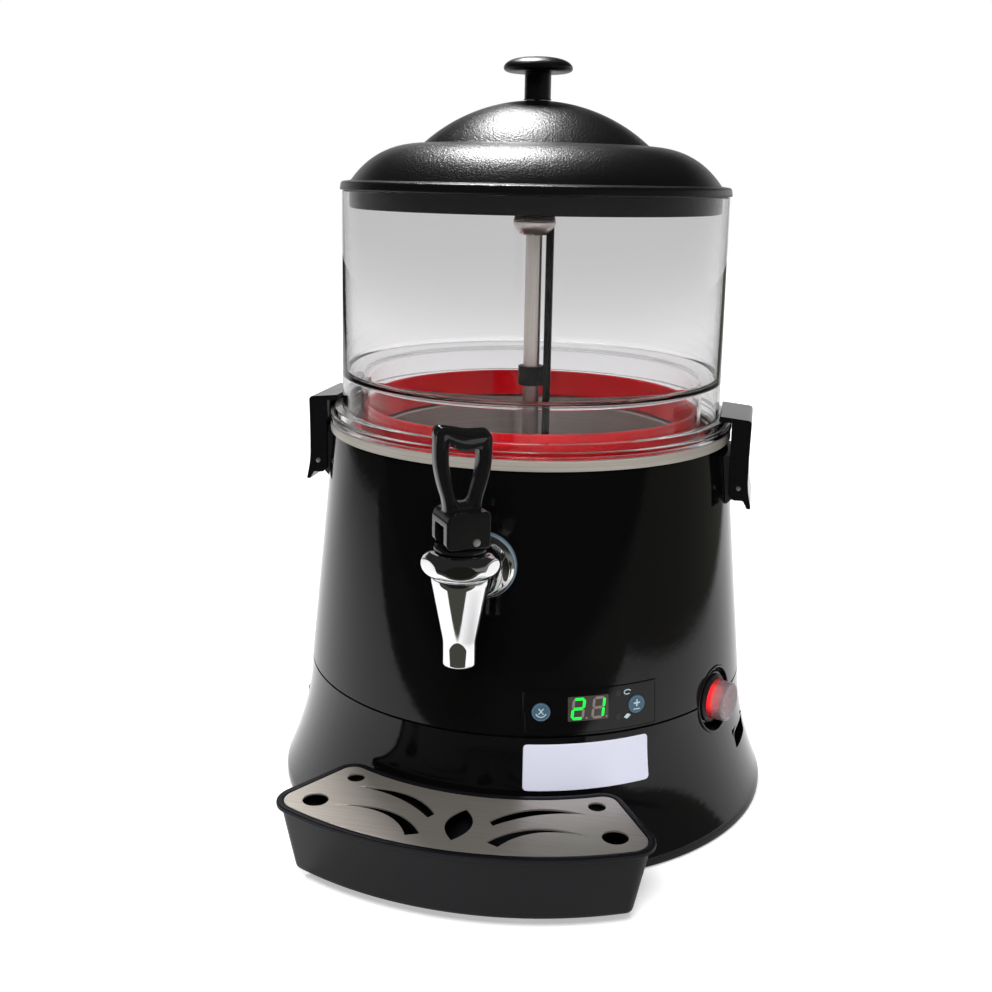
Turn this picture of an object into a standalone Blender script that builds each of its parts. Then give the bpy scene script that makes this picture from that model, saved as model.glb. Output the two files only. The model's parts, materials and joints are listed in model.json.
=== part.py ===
"""Countertop hot chocolate dispenser: heated dish under a clear bowl, driven mixer, lever tap and drip tray.

Metres, +Z up. The bowl's axis is the machine axis, and the tap and the drip tray face -Y.
The origin is under the middle of the whole machine, on the surface that it stands on.
Azimuths are in degrees from the front, positive towards +X.
"""

import math

import bmesh
import bpy
from mathutils import Euler, Matrix, Vector

# Driving dimensions: the bowl's radius sets every round piece above, below and around it
BOWL_RADIUS = 0.1222
BOWL_HEIGHT = 0.1448
HOUSING_HEIGHT = 0.1545
HOUSING_TAPER = 0.0145
BASE_HEIGHT = 0.078
BASE_FLARE = 0.0175

# Clearances and facets
SEAT_GAP = 0.0003
RUNNING_GAP = 0.0004
CUT_OVERRUN = 0.004
WELD_DISTANCE = 1e-6
SMOOTH_DEGREES = 32
FLAT_SHARE = 0.9999
SHELL_SEGMENTS = 28
INNER_SEGMENTS = 14
ROUND_SEGMENTS = 16
SMALL_SEGMENTS = 12
CORNER_STEPS = 3

# Base housing
BASE_LIFT = 0.0015
BASE_RIM_HEIGHT = 0.0045
FLARE_POWER = 1.85
FLARE_STEPS = 4
HOUSING_WALL = 0.003
SPIGOT_HEIGHT = 0.004
SPIGOT_WALL = 0.0025
SPIGOT_GAP = 0.0006
SPIGOT_SHOULDER = 0.005
SEAM_GAP = 0.0008

# Carrying recesses in the sides of the base
GRIP_WIDTH = 0.029
GRIP_HEIGHT = 0.0145
GRIP_DEPTH = 0.016
GRIP_WALL = 0.002
GRIP_MIDDLE_Z = 0.0455

# Base plate, its feet and the runners that carry the drip tray
FOOT_HEIGHT = 0.0042
FOOT_RADIUS = 0.010
FOOT_CHAMFER = 0.0008
FOOT_PLUG_RADIUS = 0.003
FOOT_PLUG_LENGTH = 0.006
FOOT_INSET = 0.032
FOOT_AZIMUTHS = (45, 135, 225, 315)
PLATE_THICKNESS = 0.002
RUNNER_WIDTH = 0.016
RUNNER_SPACING = 0.070
RUNNER_ROOT = 0.040
RUNNER_REACH = 0.036

# Upper housing
HOUSING_TOP_INSET = 0.002
HOUSING_FLANGE = 0.003

# Water bath pan
SHEET = 0.001
PAN_RIM_INSET = 0.0004
PAN_THROAT_INSET = 0.0027
PAN_LEDGE_DROP = 0.0061
PAN_LEDGE_WIDTH = 0.0075
BATH_WIDTH = 0.008
BATH_DEPTH = 0.018

# Stainless top ring
RING_SHEET = 0.0015
RING_INSET = 0.0005
RING_DEPTH = 0.0061

# Product dish with its outlet stub
DISH_DEPTH = 0.0603
DISH_RIM_GAP = 0.0007
DISH_MOUTH_GAP = 0.001
DISH_WALL_DRAFT = 0.004
DISH_CORNER_RADIUS = 0.012
OUTLET_BORE_RADIUS = 0.008
OUTLET_WALL = 0.0018
OUTLET_END_INSET = 0.010
OUTLET_LIP = 0.0003
OUTLET_ROOT_INSET = 0.0145

# Centre tube and drive shaft
TUBE_RADIUS = 0.0053
TUBE_WALL = 0.001
TUBE_TAIL = 0.0015
TUBE_BELOW_RIM = 0.0198
SHAFT_RADIUS = 0.003
SHAFT_NOSE = 0.0058

# Bowl gasket
GASKET_HEIGHT = 0.0179
GASKET_INSET = 0.0137
GASKET_WALL = 0.0035
GASKET_FOOT_HEIGHT = 0.0011
GASKET_FOOT_WIDTH = 0.0065

# Clear bowl
BOWL_WALL = 0.003
BOWL_SKIRT_WALL = 0.0025
BOWL_SHOULDER_HEIGHT = 0.0313
BOWL_SHOULDER_DROP = 0.004
BOWL_SHOULDER_WALL = 0.0032
BOWL_FLANGE_WIDTH = 0.0083
BOWL_FLANGE_HEIGHT = 0.0043
BOWL_STEP_WIDTH = 0.0053
BOWL_STEP_HEIGHT = 0.004

# Lid and knob
LID_RISE = 0.0572
LID_WALL = 0.0024
LID_DOME_SPHERE_RADIUS = 0.1065
LID_TIER_WIDTH = 0.0517
LID_CREASE_STEP = 0.0012
LID_TIER_OVERHANG = 0.001
LID_TIER_BULGE_SHARES = (0.45, 0.96)
LID_FLANGE_OVERHANG = 0.0025
LID_FLANGE_HEIGHT = 0.004
LID_SKIRT_GAP = 0.0012
LID_SKIRT_DEPTH = 0.0113
LID_SCREW_HOLE_RADIUS = 0.0022
LID_DOME_STEPS = 4
LID_TIER_STEPS = 3
KNOB_HEIGHT = 0.026
KNOB_CAP_RADIUS = 0.0218
KNOB_CAP_HEIGHT = 0.0095
KNOB_NECK_RADIUS = 0.0083
KNOB_NECK_CHAMFER = 0.001
KNOB_CAP_SHARES = (
    (0.36, 1.0), (0.60, 0.93), (0.80, 0.79), (0.93, 0.60), (1.0, 0.38), (0.98, 0.13), (0.80, 0.0),
)
KNOB_SCREW_RADIUS = 0.0018
KNOB_SCREW_HEAD_RADIUS = 0.0042
KNOB_SCREW_HEAD_HEIGHT = 0.0026
KNOB_SCREW_LENGTH = 0.017

# Mixer
CAP_RADIUS = 0.0137
CAP_HEIGHT = 0.0078
CAP_SHARES = ((0.0, 1.0), (0.40, 0.93), (0.72, 0.70), (0.93, 0.36), (1.0, 0.20))
CAP_ROOF = 0.0023
MIXER_RING_HEIGHT = 0.0047
MIXER_BAR_WIDTH = 0.0048
MIXER_BAR_DEPTH = 0.006
MIXER_BAR_OFFSET = 0.0103
MIXER_BAR_AZIMUTH = 95
MIXER_COLLAR_WALL = 0.0028
MIXER_COLLAR_HEIGHT = 0.0125
MIXER_COLLAR_RISE = 0.094
MIXER_HUB_RADIUS = 0.0125
MIXER_HUB_HEIGHT = 0.007
MIXER_FLOOR_GAP = 0.003
MIXER_ARM_GAP = 0.014
MIXER_ARM_WIDTH = 0.010
MIXER_ARM_HEIGHT = 0.004
MIXER_PADDLE_HEIGHT = 0.032
MIXER_PADDLE_THICKNESS = 0.004
MIXER_EDGE_ROUND = 0.0006

# Gear motor, its bracket, heater and thermostat
GEARBOX_LENGTH = 0.070
GEARBOX_WIDTH = 0.052
GEARBOX_HEIGHT = 0.030
GEARBOX_EDGE_ROUND = 0.002
GEARBOX_BOSS_RADIUS = 0.010
GEARBOX_BOSS_HEIGHT = 0.002
GEARBOX_DROP = 0.0039
MOTOR_RADIUS = 0.0145
MOTOR_LENGTH = 0.040
BRACKET_SHEET = 0.002
BRACKET_HALF_WIDTH = 0.040
BRACKET_HALF_DEPTH = 0.028
BRACKET_FOOT = 0.016
HEATER_TUBE_RADIUS = 0.0032
HEATER_RING_RADIUS = 0.070
HEATER_RISE = 0.008
HEATER_LEG_SPACING = 0.024
HEATER_LEG_DROP = 0.006
HEATER_STEPS = 20
THERMOSTAT_RADIUS = 0.009
THERMOSTAT_HEIGHT = 0.008
THERMOSTAT_TAB = 0.0035
THERMOSTAT_OFFSET = 0.062

# Side clips that hold the bowl down
CLIP_PIN_OUT = 0.0065
CLIP_PIN_DROP = 0.0408
CLIP_PIN_RADIUS = 0.0015
CLIP_PIN_PROUD = 0.0003
CLIP_HALF_WIDTH = 0.028
CLIP_SHEET = 0.0025
CLIP_PLATE_OUT = 0.0062
CLIP_ROOF = 0.0038
CLIP_ROOF_FALL = 0.002
CLIP_REACH_GAP = 0.001
CLIP_CHEEK_IN = 0.006
CLIP_CHEEK_BELOW_PIN = 0.008
CLIP_CHEEK_CHAMFER = 0.003
CLIP_LIP_BELOW_PIN = 0.013
CLIP_LIP_FLARE = 0.002
CLIP_WAIST_IN = 0.0006
CLIP_CORNER_RADIUS = 0.0025
BLOCK_RISE = 0.019
BLOCK_FACE_OUT = 0.0022
BLOCK_TIP_RADIUS = 0.0027
BLOCK_TAIL_IN = 0.007
BLOCK_TAIL_DROP = 0.0115
BLOCK_HALF_WIDTH = 0.0250

# Tap
TAP_STANDOFF = 0.0567
TAP_SHANK_RADIUS = 0.0110
TAP_BODY_RISE = 0.0115
TAP_BODY_TOP_RADIUS = 0.0154
TAP_CONE_DROP = 0.0244
TAP_SPOUT_DROP = 0.0368
TAP_SPOUT_RADIUS = 0.0088
TAP_SPOUT_BORE_RADIUS = 0.0065
TAP_SPOUT_ROUND = 0.0012
TAP_CHAMBER_RADIUS = 0.0098
TAP_SEAT_HEIGHT = 0.0035
TAP_SEAT_STEP = 0.0004
TAP_SHOULDER_HEIGHT = 0.003
ESCUTCHEON_RADIUS = 0.0183
ESCUTCHEON_THICKNESS = 0.003
ESCUTCHEON_BOSS_RADIUS = 0.0158
ESCUTCHEON_BOSS_LENGTH = 0.010
ESCUTCHEON_BOSS_CHAMFER = 0.002
WASHER_RADIUS = 0.0190
WASHER_THICKNESS = 0.0034
TAP_NUT_FLAT_RADIUS = 0.0155
TAP_NUT_LENGTH = 0.005
TAP_NUT_STANDOFF = 0.0026
OUTLET_SEAL_RADIUS = 0.0135
OUTLET_SEAL_LENGTH = 0.003

# Bonnet, valve stem, seat cup and spring
BONNET_HEIGHT = 0.0135
BONNET_RADIUS = 0.0210
BONNET_FLAT_RADIUS = 0.0193
BONNET_FLAT_AZIMUTH = 13.5
BONNET_SHARES = (
    (0.74, 1.0), (0.86, 0.86), (0.955, 0.70), (1.0, 0.48), (0.955, 0.26), (0.84, 0.08), (0.76, 0.0),
)
BONNET_ROOF = 0.0033
BONNET_CAVITY_RADIUS = 0.0088
STEM_RADIUS = 0.0032
STEM_COLLAR_RADIUS = 0.0072
STEM_COLLAR_HEIGHT = 0.0015
STEM_COLLAR_RISE = 0.002
STEM_HEAD_FRONT = 0.0074
STEM_HEAD_BACK = 0.0045
STEM_HEAD_RISE = 0.0032
STEM_HEAD_WIDTH = 0.0118
CUP_RADIUS = 0.0085
CUP_TOP_RISE = 0.009
CUP_SEAT_CLEARANCE = 0.0004
CUP_TIP_RADIUS = 0.0045
CUP_SOCKET_DEPTH = 0.005
SPRING_WIRE_RADIUS = 0.0007
SPRING_COIL_RADIUS = 0.0054
SPRING_TURNS = 5
SPRING_POINTS_PER_TURN = 8

# Lever with its pin and swivel disc
DISC_RADIUS = 0.0142
DISC_THICKNESS = 0.002
LEVER_AZIMUTH = -56
LEVER_PIN_SETBACK = 0.0039
LEVER_PIN_RADIUS = 0.0022
LEVER_CAM_RADIUS = 0.004
LEVER_BLOCK_LENGTH = 0.024
LEVER_BLOCK_WIDTH = 0.024
LEVER_BLOCK_RISE = 0.0155
LEVER_BLOCK_TOP_ROUND = 0.007
LEVER_BLOCK_BACK_ROUND = 0.0025
LEVER_BLOCK_EDGE = 0.0008
LEVER_SLOT_WIDTH = 0.013
LEVER_SLOT_RISE = 0.0078
LEVER_RING_HALF_WIDTH = 0.0147
LEVER_RING_THICKNESS = 0.010
LEVER_RING_RISE = 0.0490
LEVER_RING_SINK = 0.0055
LEVER_RING_EDGE = 0.0014
LEVER_RING_SHARES = (
    (-0.62, 0.0), (-0.65, 0.17), (-0.84, 0.35), (-1.0, 0.57), (-1.0, 0.93), (-0.15, 0.925),
    (0.30, 0.955), (1.0, 1.0), (1.0, 0.57), (0.84, 0.35), (0.65, 0.17), (0.62, 0.0),
)
LEVER_RING_ROUND_SHARES = (0, 0.3, 0.6, 0.8, 0.40, 0.9, 0.9, 0.42, 0.8, 0.6, 0.3, 0)
LEVER_WINDOW_SHARES = (
    (0.31, 0.184), (0.66, 0.55), (0.66, 0.78), (0.20, 0.715), (-0.20, 0.70), (-0.66, 0.715), (-0.66, 0.55),
    (-0.31, 0.184),
)
LEVER_WINDOW_ROUND_SHARES = (0.10, 0.5, 0.10, 0.5, 0.5, 0.12, 0.5, 0.10)
LEVER_CORNER_STEPS = 2

# Control panel with its keys, display and board
PANEL_AZIMUTH = 26.85
PANEL_RISE = 0.0009
PANEL_WIDTH = 0.0806
PANEL_HEIGHT = 0.0262
PANEL_CORNER_RADIUS = 0.0012
PANEL_PROUD = 0.0008
PANEL_DEPTH = 0.0018
KEY_RADIUS = 0.00525
KEY_PROUD = 0.0005
KEY_TRAVEL = 0.0008
KEY_FLANGE_RADIUS = 0.0068
KEY_FLANGE_THICKNESS = 0.001
KEY_FLANGE_INSET = 0.0012
KEY_STEM_RADIUS = 0.002
KEY_ROUND = 0.0004
KEY_LEFT_INSET = 0.0099
KEY_RIGHT_INSET = 0.0137
KEY_LIFT = 0.0007
DISPLAY_WIDTH = 0.0241
DISPLAY_HEIGHT = 0.0142
DISPLAY_OFFSET = -0.0032
DISPLAY_LIFT = 0.0019
DISPLAY_SINK = 0.0009
BOARD_INSET = 0.0013
BOARD_THICKNESS = 0.0016
BOARD_DEPTH = 0.0200
PILLAR_RADIUS = 0.0018
PILLAR_INSET = 0.0045

# Power switch under its clear boot
SWITCH_AZIMUTH = 66.3
SWITCH_LIFT = 0.0002
BEZEL_RADIUS = 0.0206
BEZEL_WALL = 0.0016
BEZEL_PROUD = 0.0006
BEZEL_DEPTH = 0.005
BEZEL_FLOOR = 0.002
SWITCH_FLANGE_RADIUS = 0.0165
SWITCH_FLANGE_THICKNESS = 0.002
SWITCH_BARREL_RADIUS = 0.0098
SWITCH_BARREL_LENGTH = 0.022
SWITCH_POCKET_RADIUS = 0.0088
SWITCH_POCKET_DEPTH = 0.0052
ROCKER_RADIUS = 0.0079
ROCKER_FRONT = 0.0045
ROCKER_BACK = 0.0026
ROCKER_TILT = 8
BOOT_RADIUS = 0.01225
BOOT_WALL = 0.0012
BOOT_LENGTH = 0.0139
BOOT_FLANGE_RADIUS = 0.0150
BOOT_ROUND = 0.0007

# Cable gland at the back of the base
GLAND_Z = 0.040
GLAND_NECK_RADIUS = 0.008
GLAND_COLLAR_RADIUS = 0.0105
GLAND_NOSE_RADIUS = 0.0065
GLAND_BORE_RADIUS = 0.0036
GLAND_COLLAR_LENGTH = 0.005
GLAND_NOSE_LENGTH = 0.006
GLAND_NUT_RADIUS = 0.012
GLAND_NUT_LENGTH = 0.004
GLAND_NUT_SETBACK = 0.0036
GLAND_TAIL_LENGTH = 0.0115

# Drip tray and its grid
TRAY_LIFT = 0.008
TRAY_HEIGHT = 0.0406
TRAY_FLOOR = 0.002
TRAY_RIM_THICKNESS = 0.003
TRAY_RIM_WIDTH = 0.0040
TRAY_WALL_OUT = 0.0015
TRAY_WALL = 0.0030
TRAY_DRAFT = 0.0075
TRAY_GRID_SINK = 0.0004
TRAY_GRID_GAP = 0.0005
TRAY_LEAST_CORNER = 0.001
GRID_SHEET = 0.0012
GRID_TUCK = 0.0053
GRID_DEPTH = 0.0588
GRID_HALF_ANGLE = 29.8
GRID_OUTER_CORNER = 0.0115
GRID_INNER_CORNER = 0.008
GRID_ARC_STEPS = 8
SMALL_HOLE_RADIUS = 0.0050
BIG_HOLE_RADIUS = 0.0072
SMALL_HOLE_SHARES = (0.845, 0.182)
BIG_HOLE_SHARES = (0.842, 0.745)
BACK_SLOT_SHARES = ((0.747, 0.303), (0.426, 0.175), (0.164, 0.43), (0.190, 0.51), (0.456, 0.285))
FRONT_SLOT_SHARES = ((0.70, 0.685), (0.412, 0.530), (0.171, 0.80), (0.235, 0.87), (0.432, 0.605))
LEAF_HALF_WIDTH = 0.0073
LEAF_SHARES = (0.245, 0.83)
SLOT_STEPS = 6

# Radii and places that follow from the sizes above
BOWL_FLANGE_RADIUS = BOWL_RADIUS + BOWL_FLANGE_WIDTH
BOWL_STEP_RADIUS = BOWL_RADIUS + BOWL_STEP_WIDTH
RING_RADIUS = BOWL_FLANGE_RADIUS - RING_INSET
HOUSING_TOP_RADIUS = RING_RADIUS - HOUSING_TOP_INSET
WAIST_RADIUS = HOUSING_TOP_RADIUS + HOUSING_TAPER
BASE_BOTTOM_RADIUS = WAIST_RADIUS + BASE_FLARE
FOOT_CIRCLE_RADIUS = BASE_BOTTOM_RADIUS - FOOT_INSET
PAN_RIM_RADIUS = HOUSING_TOP_RADIUS - PAN_RIM_INSET
PAN_THROAT_RADIUS = BOWL_RADIUS - PAN_THROAT_INSET
GASKET_RADIUS = BOWL_RADIUS - GASKET_INSET
DISH_RIM_RADIUS = PAN_THROAT_RADIUS - SHEET - DISH_RIM_GAP
DISH_MOUTH_RADIUS = GASKET_RADIUS - GASKET_WALL - DISH_MOUTH_GAP
DISH_WALL_FOOT_RADIUS = DISH_MOUTH_RADIUS - DISH_WALL_DRAFT
PAN_FLOOR_RADIUS = DISH_WALL_FOOT_RADIUS + BATH_WIDTH
OUTLET_END_RADIUS = HOUSING_TOP_RADIUS - OUTLET_END_INSET
LID_TIER_RADIUS = BOWL_RADIUS + LID_TIER_OVERHANG
LID_CREASE_RADIUS = LID_TIER_RADIUS - LID_TIER_WIDTH
LID_FLANGE_RADIUS = BOWL_RADIUS + LID_FLANGE_OVERHANG
LID_SKIRT_RADIUS = BOWL_RADIUS - BOWL_WALL - LID_SKIRT_GAP
MIXER_ARM_REACH = DISH_WALL_FOOT_RADIUS - MIXER_ARM_GAP
CLIP_PIN_X = BOWL_FLANGE_RADIUS + CLIP_PIN_OUT
GRID_INNER_RADIUS = BASE_BOTTOM_RADIUS - GRID_TUCK
GRID_OUTER_RADIUS = GRID_INNER_RADIUS + GRID_DEPTH

# Heights that follow
SEAM_Z = BASE_LIFT + BASE_HEIGHT
HOUSING_BOTTOM_Z = SEAM_Z + SEAM_GAP
HOUSING_TOP_Z = HOUSING_BOTTOM_Z + HOUSING_HEIGHT
PAN_RIM_Z = HOUSING_TOP_Z + SEAT_GAP + SHEET
RING_TOP_Z = PAN_RIM_Z + SEAT_GAP + RING_SHEET
LEDGE_Z = PAN_RIM_Z - SHEET - PAN_LEDGE_DROP
DISH_RIM_Z = LEDGE_Z + SEAT_GAP + SHEET
DISH_FLOOR_Z = DISH_RIM_Z - DISH_DEPTH
PAN_FLOOR_Z = DISH_FLOOR_Z - SHEET - BATH_DEPTH
GASKET_BOTTOM_Z = DISH_RIM_Z + SEAT_GAP
BOWL_BOTTOM_Z = RING_TOP_Z + SEAT_GAP
BOWL_TOP_Z = BOWL_BOTTOM_Z + BOWL_HEIGHT
LID_SEAT_Z = BOWL_TOP_Z + SEAT_GAP
LID_TOP_Z = LID_SEAT_Z + LID_RISE
TUBE_TOP_Z = BOWL_TOP_Z - TUBE_BELOW_RIM
CAP_BOTTOM_Z = TUBE_TOP_Z + RUNNING_GAP
GEARBOX_TOP_Z = PAN_FLOOR_Z - SHEET - GEARBOX_DROP - GEARBOX_BOSS_HEIGHT
PLATE_TOP_Z = FOOT_HEIGHT + SEAT_GAP + PLATE_THICKNESS
CLIP_PIN_Z = BOWL_BOTTOM_Z + BOWL_FLANGE_HEIGHT + BOWL_STEP_HEIGHT + SEAT_GAP - CLIP_PIN_DROP
TAP_Z = DISH_FLOOR_Z + OUTLET_BORE_RADIUS + OUTLET_LIP
TAP_Y = WAIST_RADIUS - HOUSING_TAPER * (TAP_Z - HOUSING_BOTTOM_Z) / HOUSING_HEIGHT + TAP_STANDOFF
TAP_BODY_TOP_Z = TAP_Z + TAP_BODY_RISE
BONNET_BOTTOM_Z = TAP_BODY_TOP_Z + SEAT_GAP
BONNET_TOP_Z = BONNET_BOTTOM_Z + BONNET_HEIGHT
DISC_BOTTOM_Z = BONNET_TOP_Z + SEAT_GAP
LEVER_BOTTOM_Z = DISC_BOTTOM_Z + DISC_THICKNESS + SEAT_GAP
LEVER_PIN_Z = LEVER_BOTTOM_Z + LEVER_CAM_RADIUS
SEAT_Z = TAP_Z - OUTLET_BORE_RADIUS - TAP_SEAT_STEP
PAN_SEAL_FACE = (
    PAN_FLOOR_RADIUS
    + (PAN_THROAT_RADIUS - PAN_LEDGE_WIDTH - PAN_FLOOR_RADIUS)
    * (TAP_Z - PAN_FLOOR_Z + OUTLET_SEAL_RADIUS)
    / (LEDGE_Z - PAN_FLOOR_Z)
    + SEAT_GAP
)
GRID_MIDDLE_RADIUS = (GRID_INNER_RADIUS + GRID_OUTER_RADIUS) / 2
TRAY_TOP_Z = TRAY_LIFT + TRAY_HEIGHT
GRID_TOP_Z = TRAY_TOP_Z - TRAY_GRID_SINK
TRAY_REACH = GRID_OUTER_RADIUS + TRAY_RIM_WIDTH
FRAME_SHIFT = (TRAY_REACH - BASE_BOTTOM_RADIUS) / 2
PANEL_MIDDLE_Z = HOUSING_BOTTOM_Z + PANEL_RISE + PANEL_HEIGHT / 2
KEY_Z = PANEL_MIDDLE_Z + KEY_LIFT
KEY_OFFSETS = {"key_left": KEY_LEFT_INSET - PANEL_WIDTH / 2, "key_right": PANEL_WIDTH / 2 - KEY_RIGHT_INSET}
DISPLAY_Z = PANEL_MIDDLE_Z + DISPLAY_LIFT
SWITCH_Z = SEAM_Z + SWITCH_LIFT

COLOURS = {
    "gloss_black": ((0.012, 0.012, 0.014), 0.12, 0.0, 1.0),
    "satin_black": ((0.03, 0.03, 0.033), 0.5, 0.0, 1.0),
    "lid_black": ((0.02, 0.02, 0.022), 0.6, 0.0, 1.0),
    "tray_grey": ((0.045, 0.045, 0.055), 0.45, 0.0, 1.0),
    "brushed_steel": ((0.62, 0.60, 0.56), 0.28, 1.0, 1.0),
    "chrome": ((0.85, 0.85, 0.86), 0.06, 1.0, 1.0),
    "zinc": ((0.55, 0.55, 0.55), 0.4, 1.0, 1.0),
    "clear": ((0.93, 0.92, 0.95), 0.04, 0.0, 0.25),
    "boot_clear": ((0.85, 0.80, 0.82), 0.2, 0.0, 0.35),
    "gasket_red": ((0.62, 0.02, 0.03), 0.35, 0.0, 1.0),
    "washer_grey": ((0.35, 0.42, 0.46), 0.5, 0.0, 1.0),
    "rubber": ((0.02, 0.02, 0.02), 0.8, 0.0, 1.0),
    "rocker_red": ((0.75, 0.02, 0.02), 0.3, 0.0, 1.0),
    "key_blue": ((0.10, 0.17, 0.24), 0.35, 0.0, 1.0),
    "display": ((0.05, 0.045, 0.04), 0.2, 0.0, 1.0),
    "board_green": ((0.02, 0.18, 0.08), 0.5, 0.0, 1.0),
}


def clear_scene():
    for obj in list(bpy.data.objects):
        bpy.data.objects.remove(obj, do_unlink=True)


def new_collection(name):
    collection = bpy.data.collections.new(name)
    bpy.context.scene.collection.children.link(collection)
    return collection


def finish(name):
    """The named material, made the first time that it is asked for."""
    if name in bpy.data.materials:
        return bpy.data.materials[name]
    colour, roughness, metallic, alpha = COLOURS[name]
    material = bpy.data.materials.new(name)
    material.use_nodes = True
    shader = material.node_tree.nodes["Principled BSDF"]
    shader.inputs["Base Color"].default_value = (*colour, 1.0)
    shader.inputs["Roughness"].default_value = roughness
    shader.inputs["Metallic"].default_value = metallic
    shader.inputs["Alpha"].default_value = alpha
    return material


def shaded(mesh):
    mesh.shade_smooth()
    mesh.set_sharp_from_angle(angle=math.radians(SMOOTH_DEGREES))
    return mesh


def is_flat_middle(vertex):
    """Whether a vertex on the turning axis is only the middle of a flat end."""
    on_axis = vertex.co.to_2d().length < WELD_DISTANCE
    faces = vertex.link_faces
    return on_axis and all(len(face.verts) == 3 and abs(face.normal.z) > FLAT_SHARE for face in faces)


def evaluated_mesh(obj):
    """A welded mesh of what obj shows with its modifiers; obj itself is removed."""
    bpy.context.scene.collection.objects.link(obj)
    bpy.context.view_layer.update()
    graph = bpy.context.evaluated_depsgraph_get()
    mesh = bpy.data.meshes.new_from_object(obj.evaluated_get(graph))
    bpy.data.objects.remove(obj, do_unlink=True)
    form = bmesh.new()
    form.from_mesh(mesh)
    bmesh.ops.remove_doubles(form, verts=form.verts, dist=WELD_DISTANCE)
    bmesh.ops.dissolve_verts(form, verts=[vertex for vertex in form.verts if is_flat_middle(vertex)])
    form.to_mesh(mesh)
    form.free()
    return shaded(mesh)


def within(mesh, limit):
    """What mesh and limit, two closed bodies, have in common."""
    other = bpy.data.objects.new("limit", limit)
    bpy.context.scene.collection.objects.link(other)
    obj = bpy.data.objects.new("within", mesh)
    modifier = obj.modifiers.new("within", "BOOLEAN")
    modifier.operation = "INTERSECT"
    modifier.solver = "EXACT"
    modifier.object = other
    common = evaluated_mesh(obj)
    bpy.data.objects.remove(other, do_unlink=True)
    return common


def turned(profile, segments, ring=True):
    """A profile of (radius, height) points, top to bottom on its outer side, turned about Z."""
    count = len(profile)
    edges = [(i, i + 1) for i in range(count - 1)]
    if ring:
        edges.append((count - 1, 0))
    mesh = bpy.data.meshes.new("profile")
    mesh.from_pydata([(radius, 0, height) for radius, height in profile], edges, [])
    obj = bpy.data.objects.new("profile", mesh)
    screw = obj.modifiers.new("turn", "SCREW")
    screw.steps = screw.render_steps = segments
    screw.use_merge_vertices = True
    screw.merge_threshold = WELD_DISTANCE
    return evaluated_mesh(obj)


def rod(radius, bottom, top, segments=SMALL_SEGMENTS):
    return turned([(0, top), (radius, top), (radius, bottom), (0, bottom)], segments, ring=False)


def pipe(radius, bore, bottom, top, segments=ROUND_SEGMENTS):
    return turned([(radius, top), (radius, bottom), (bore, bottom), (bore, top)], segments)


def box(low, high, edge_round=0):
    """A box between two corners, its edges eased if edge_round is given."""
    low, high = Vector(low), Vector(high)
    form = bmesh.new()
    bmesh.ops.create_cube(form, size=1)
    bmesh.ops.transform(form, verts=form.verts, matrix=Matrix.Diagonal((*(high - low), 1)))
    bmesh.ops.translate(form, verts=form.verts, vec=(low + high) / 2)
    if edge_round:
        bmesh.ops.bevel(form, geom=form.edges, offset=edge_round, segments=1, affect="EDGES")
    mesh = bpy.data.meshes.new("box")
    form.to_mesh(mesh)
    form.free()
    return shaded(mesh)


def outlined(loops, low, high):
    """Closed outlines in XY, the later ones as holes, given thickness from low to high along Z."""
    curve = bpy.data.curves.new("outline", "CURVE")
    curve.dimensions = "2D"
    curve.fill_mode = "BOTH"
    curve.extrude = (high - low) / 2
    for loop in loops:
        spline = curve.splines.new("POLY")
        spline.points.add(len(loop) - 1)
        for point, (x, y) in zip(spline.points, loop):
            point.co = (x, y, 0, 1)
        spline.use_cyclic_u = True
    mesh = evaluated_mesh(bpy.data.objects.new("outline", curve))
    mesh.transform(Matrix.Translation((0, 0, (low + high) / 2)))
    return mesh


def wire(points, radius, resolution=2):
    """A round wire along points, with filled ends."""
    curve = bpy.data.curves.new("wire", "CURVE")
    curve.dimensions = "3D"
    curve.bevel_depth = radius
    curve.bevel_resolution = resolution
    curve.use_fill_caps = True
    spline = curve.splines.new("POLY")
    spline.points.add(len(points) - 1)
    for point, place in zip(spline.points, points):
        point.co = (*place, 1)
    return evaluated_mesh(bpy.data.objects.new("wire", curve))


def lofted(bottom, top, low, high):
    """A closed solid between two outlines of as many points, at heights low and high."""
    form = bmesh.new()
    corners = [form.verts.new((x, y, low)) for x, y in bottom]
    floor = form.faces.new(corners)
    raised = bmesh.ops.extrude_face_region(form, geom=[floor])
    tops = [item for item in raised["geom"] if isinstance(item, bmesh.types.BMVert)]
    targets = {corner.co.to_tuple(6): place for corner, place in zip(corners, top)}
    for vertex in tops:
        x, y = targets[vertex.co.to_tuple(6)]
        vertex.co = (x, y, high)
    bmesh.ops.recalc_face_normals(form, faces=form.faces)
    mesh = bpy.data.meshes.new("loft")
    form.to_mesh(mesh)
    form.free()
    return shaded(mesh)


def filleted(points, radii, steps=CORNER_STEPS):
    """A closed outline with each corner rounded by its radius; a radius of 0 stays a corner."""
    outline = []
    count = len(points)
    for i, (point, radius) in enumerate(zip(points, radii)):
        corner = Vector(point)
        back = (Vector(points[i - 1]) - corner)
        ahead = (Vector(points[(i + 1) % count]) - corner)
        half = back.angle(ahead) / 2
        reach = min(radius / math.tan(half), back.length * 0.49, ahead.length * 0.49) if radius else 0
        if not reach:
            outline.append(tuple(corner))
            continue
        start, end = corner + back.normalized() * reach, corner + ahead.normalized() * reach
        centre = corner + (back.normalized() + ahead.normalized()).normalized() * (reach / math.cos(half))
        spokes = start - centre, end - centre
        turn = spokes[0].angle_signed(spokes[1])
        for step in range(steps + 1):
            arm = spokes[0].copy()
            arm.rotate(Matrix.Rotation(-turn * step / steps, 2))
            outline.append(tuple(centre + arm))
    return outline


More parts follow.
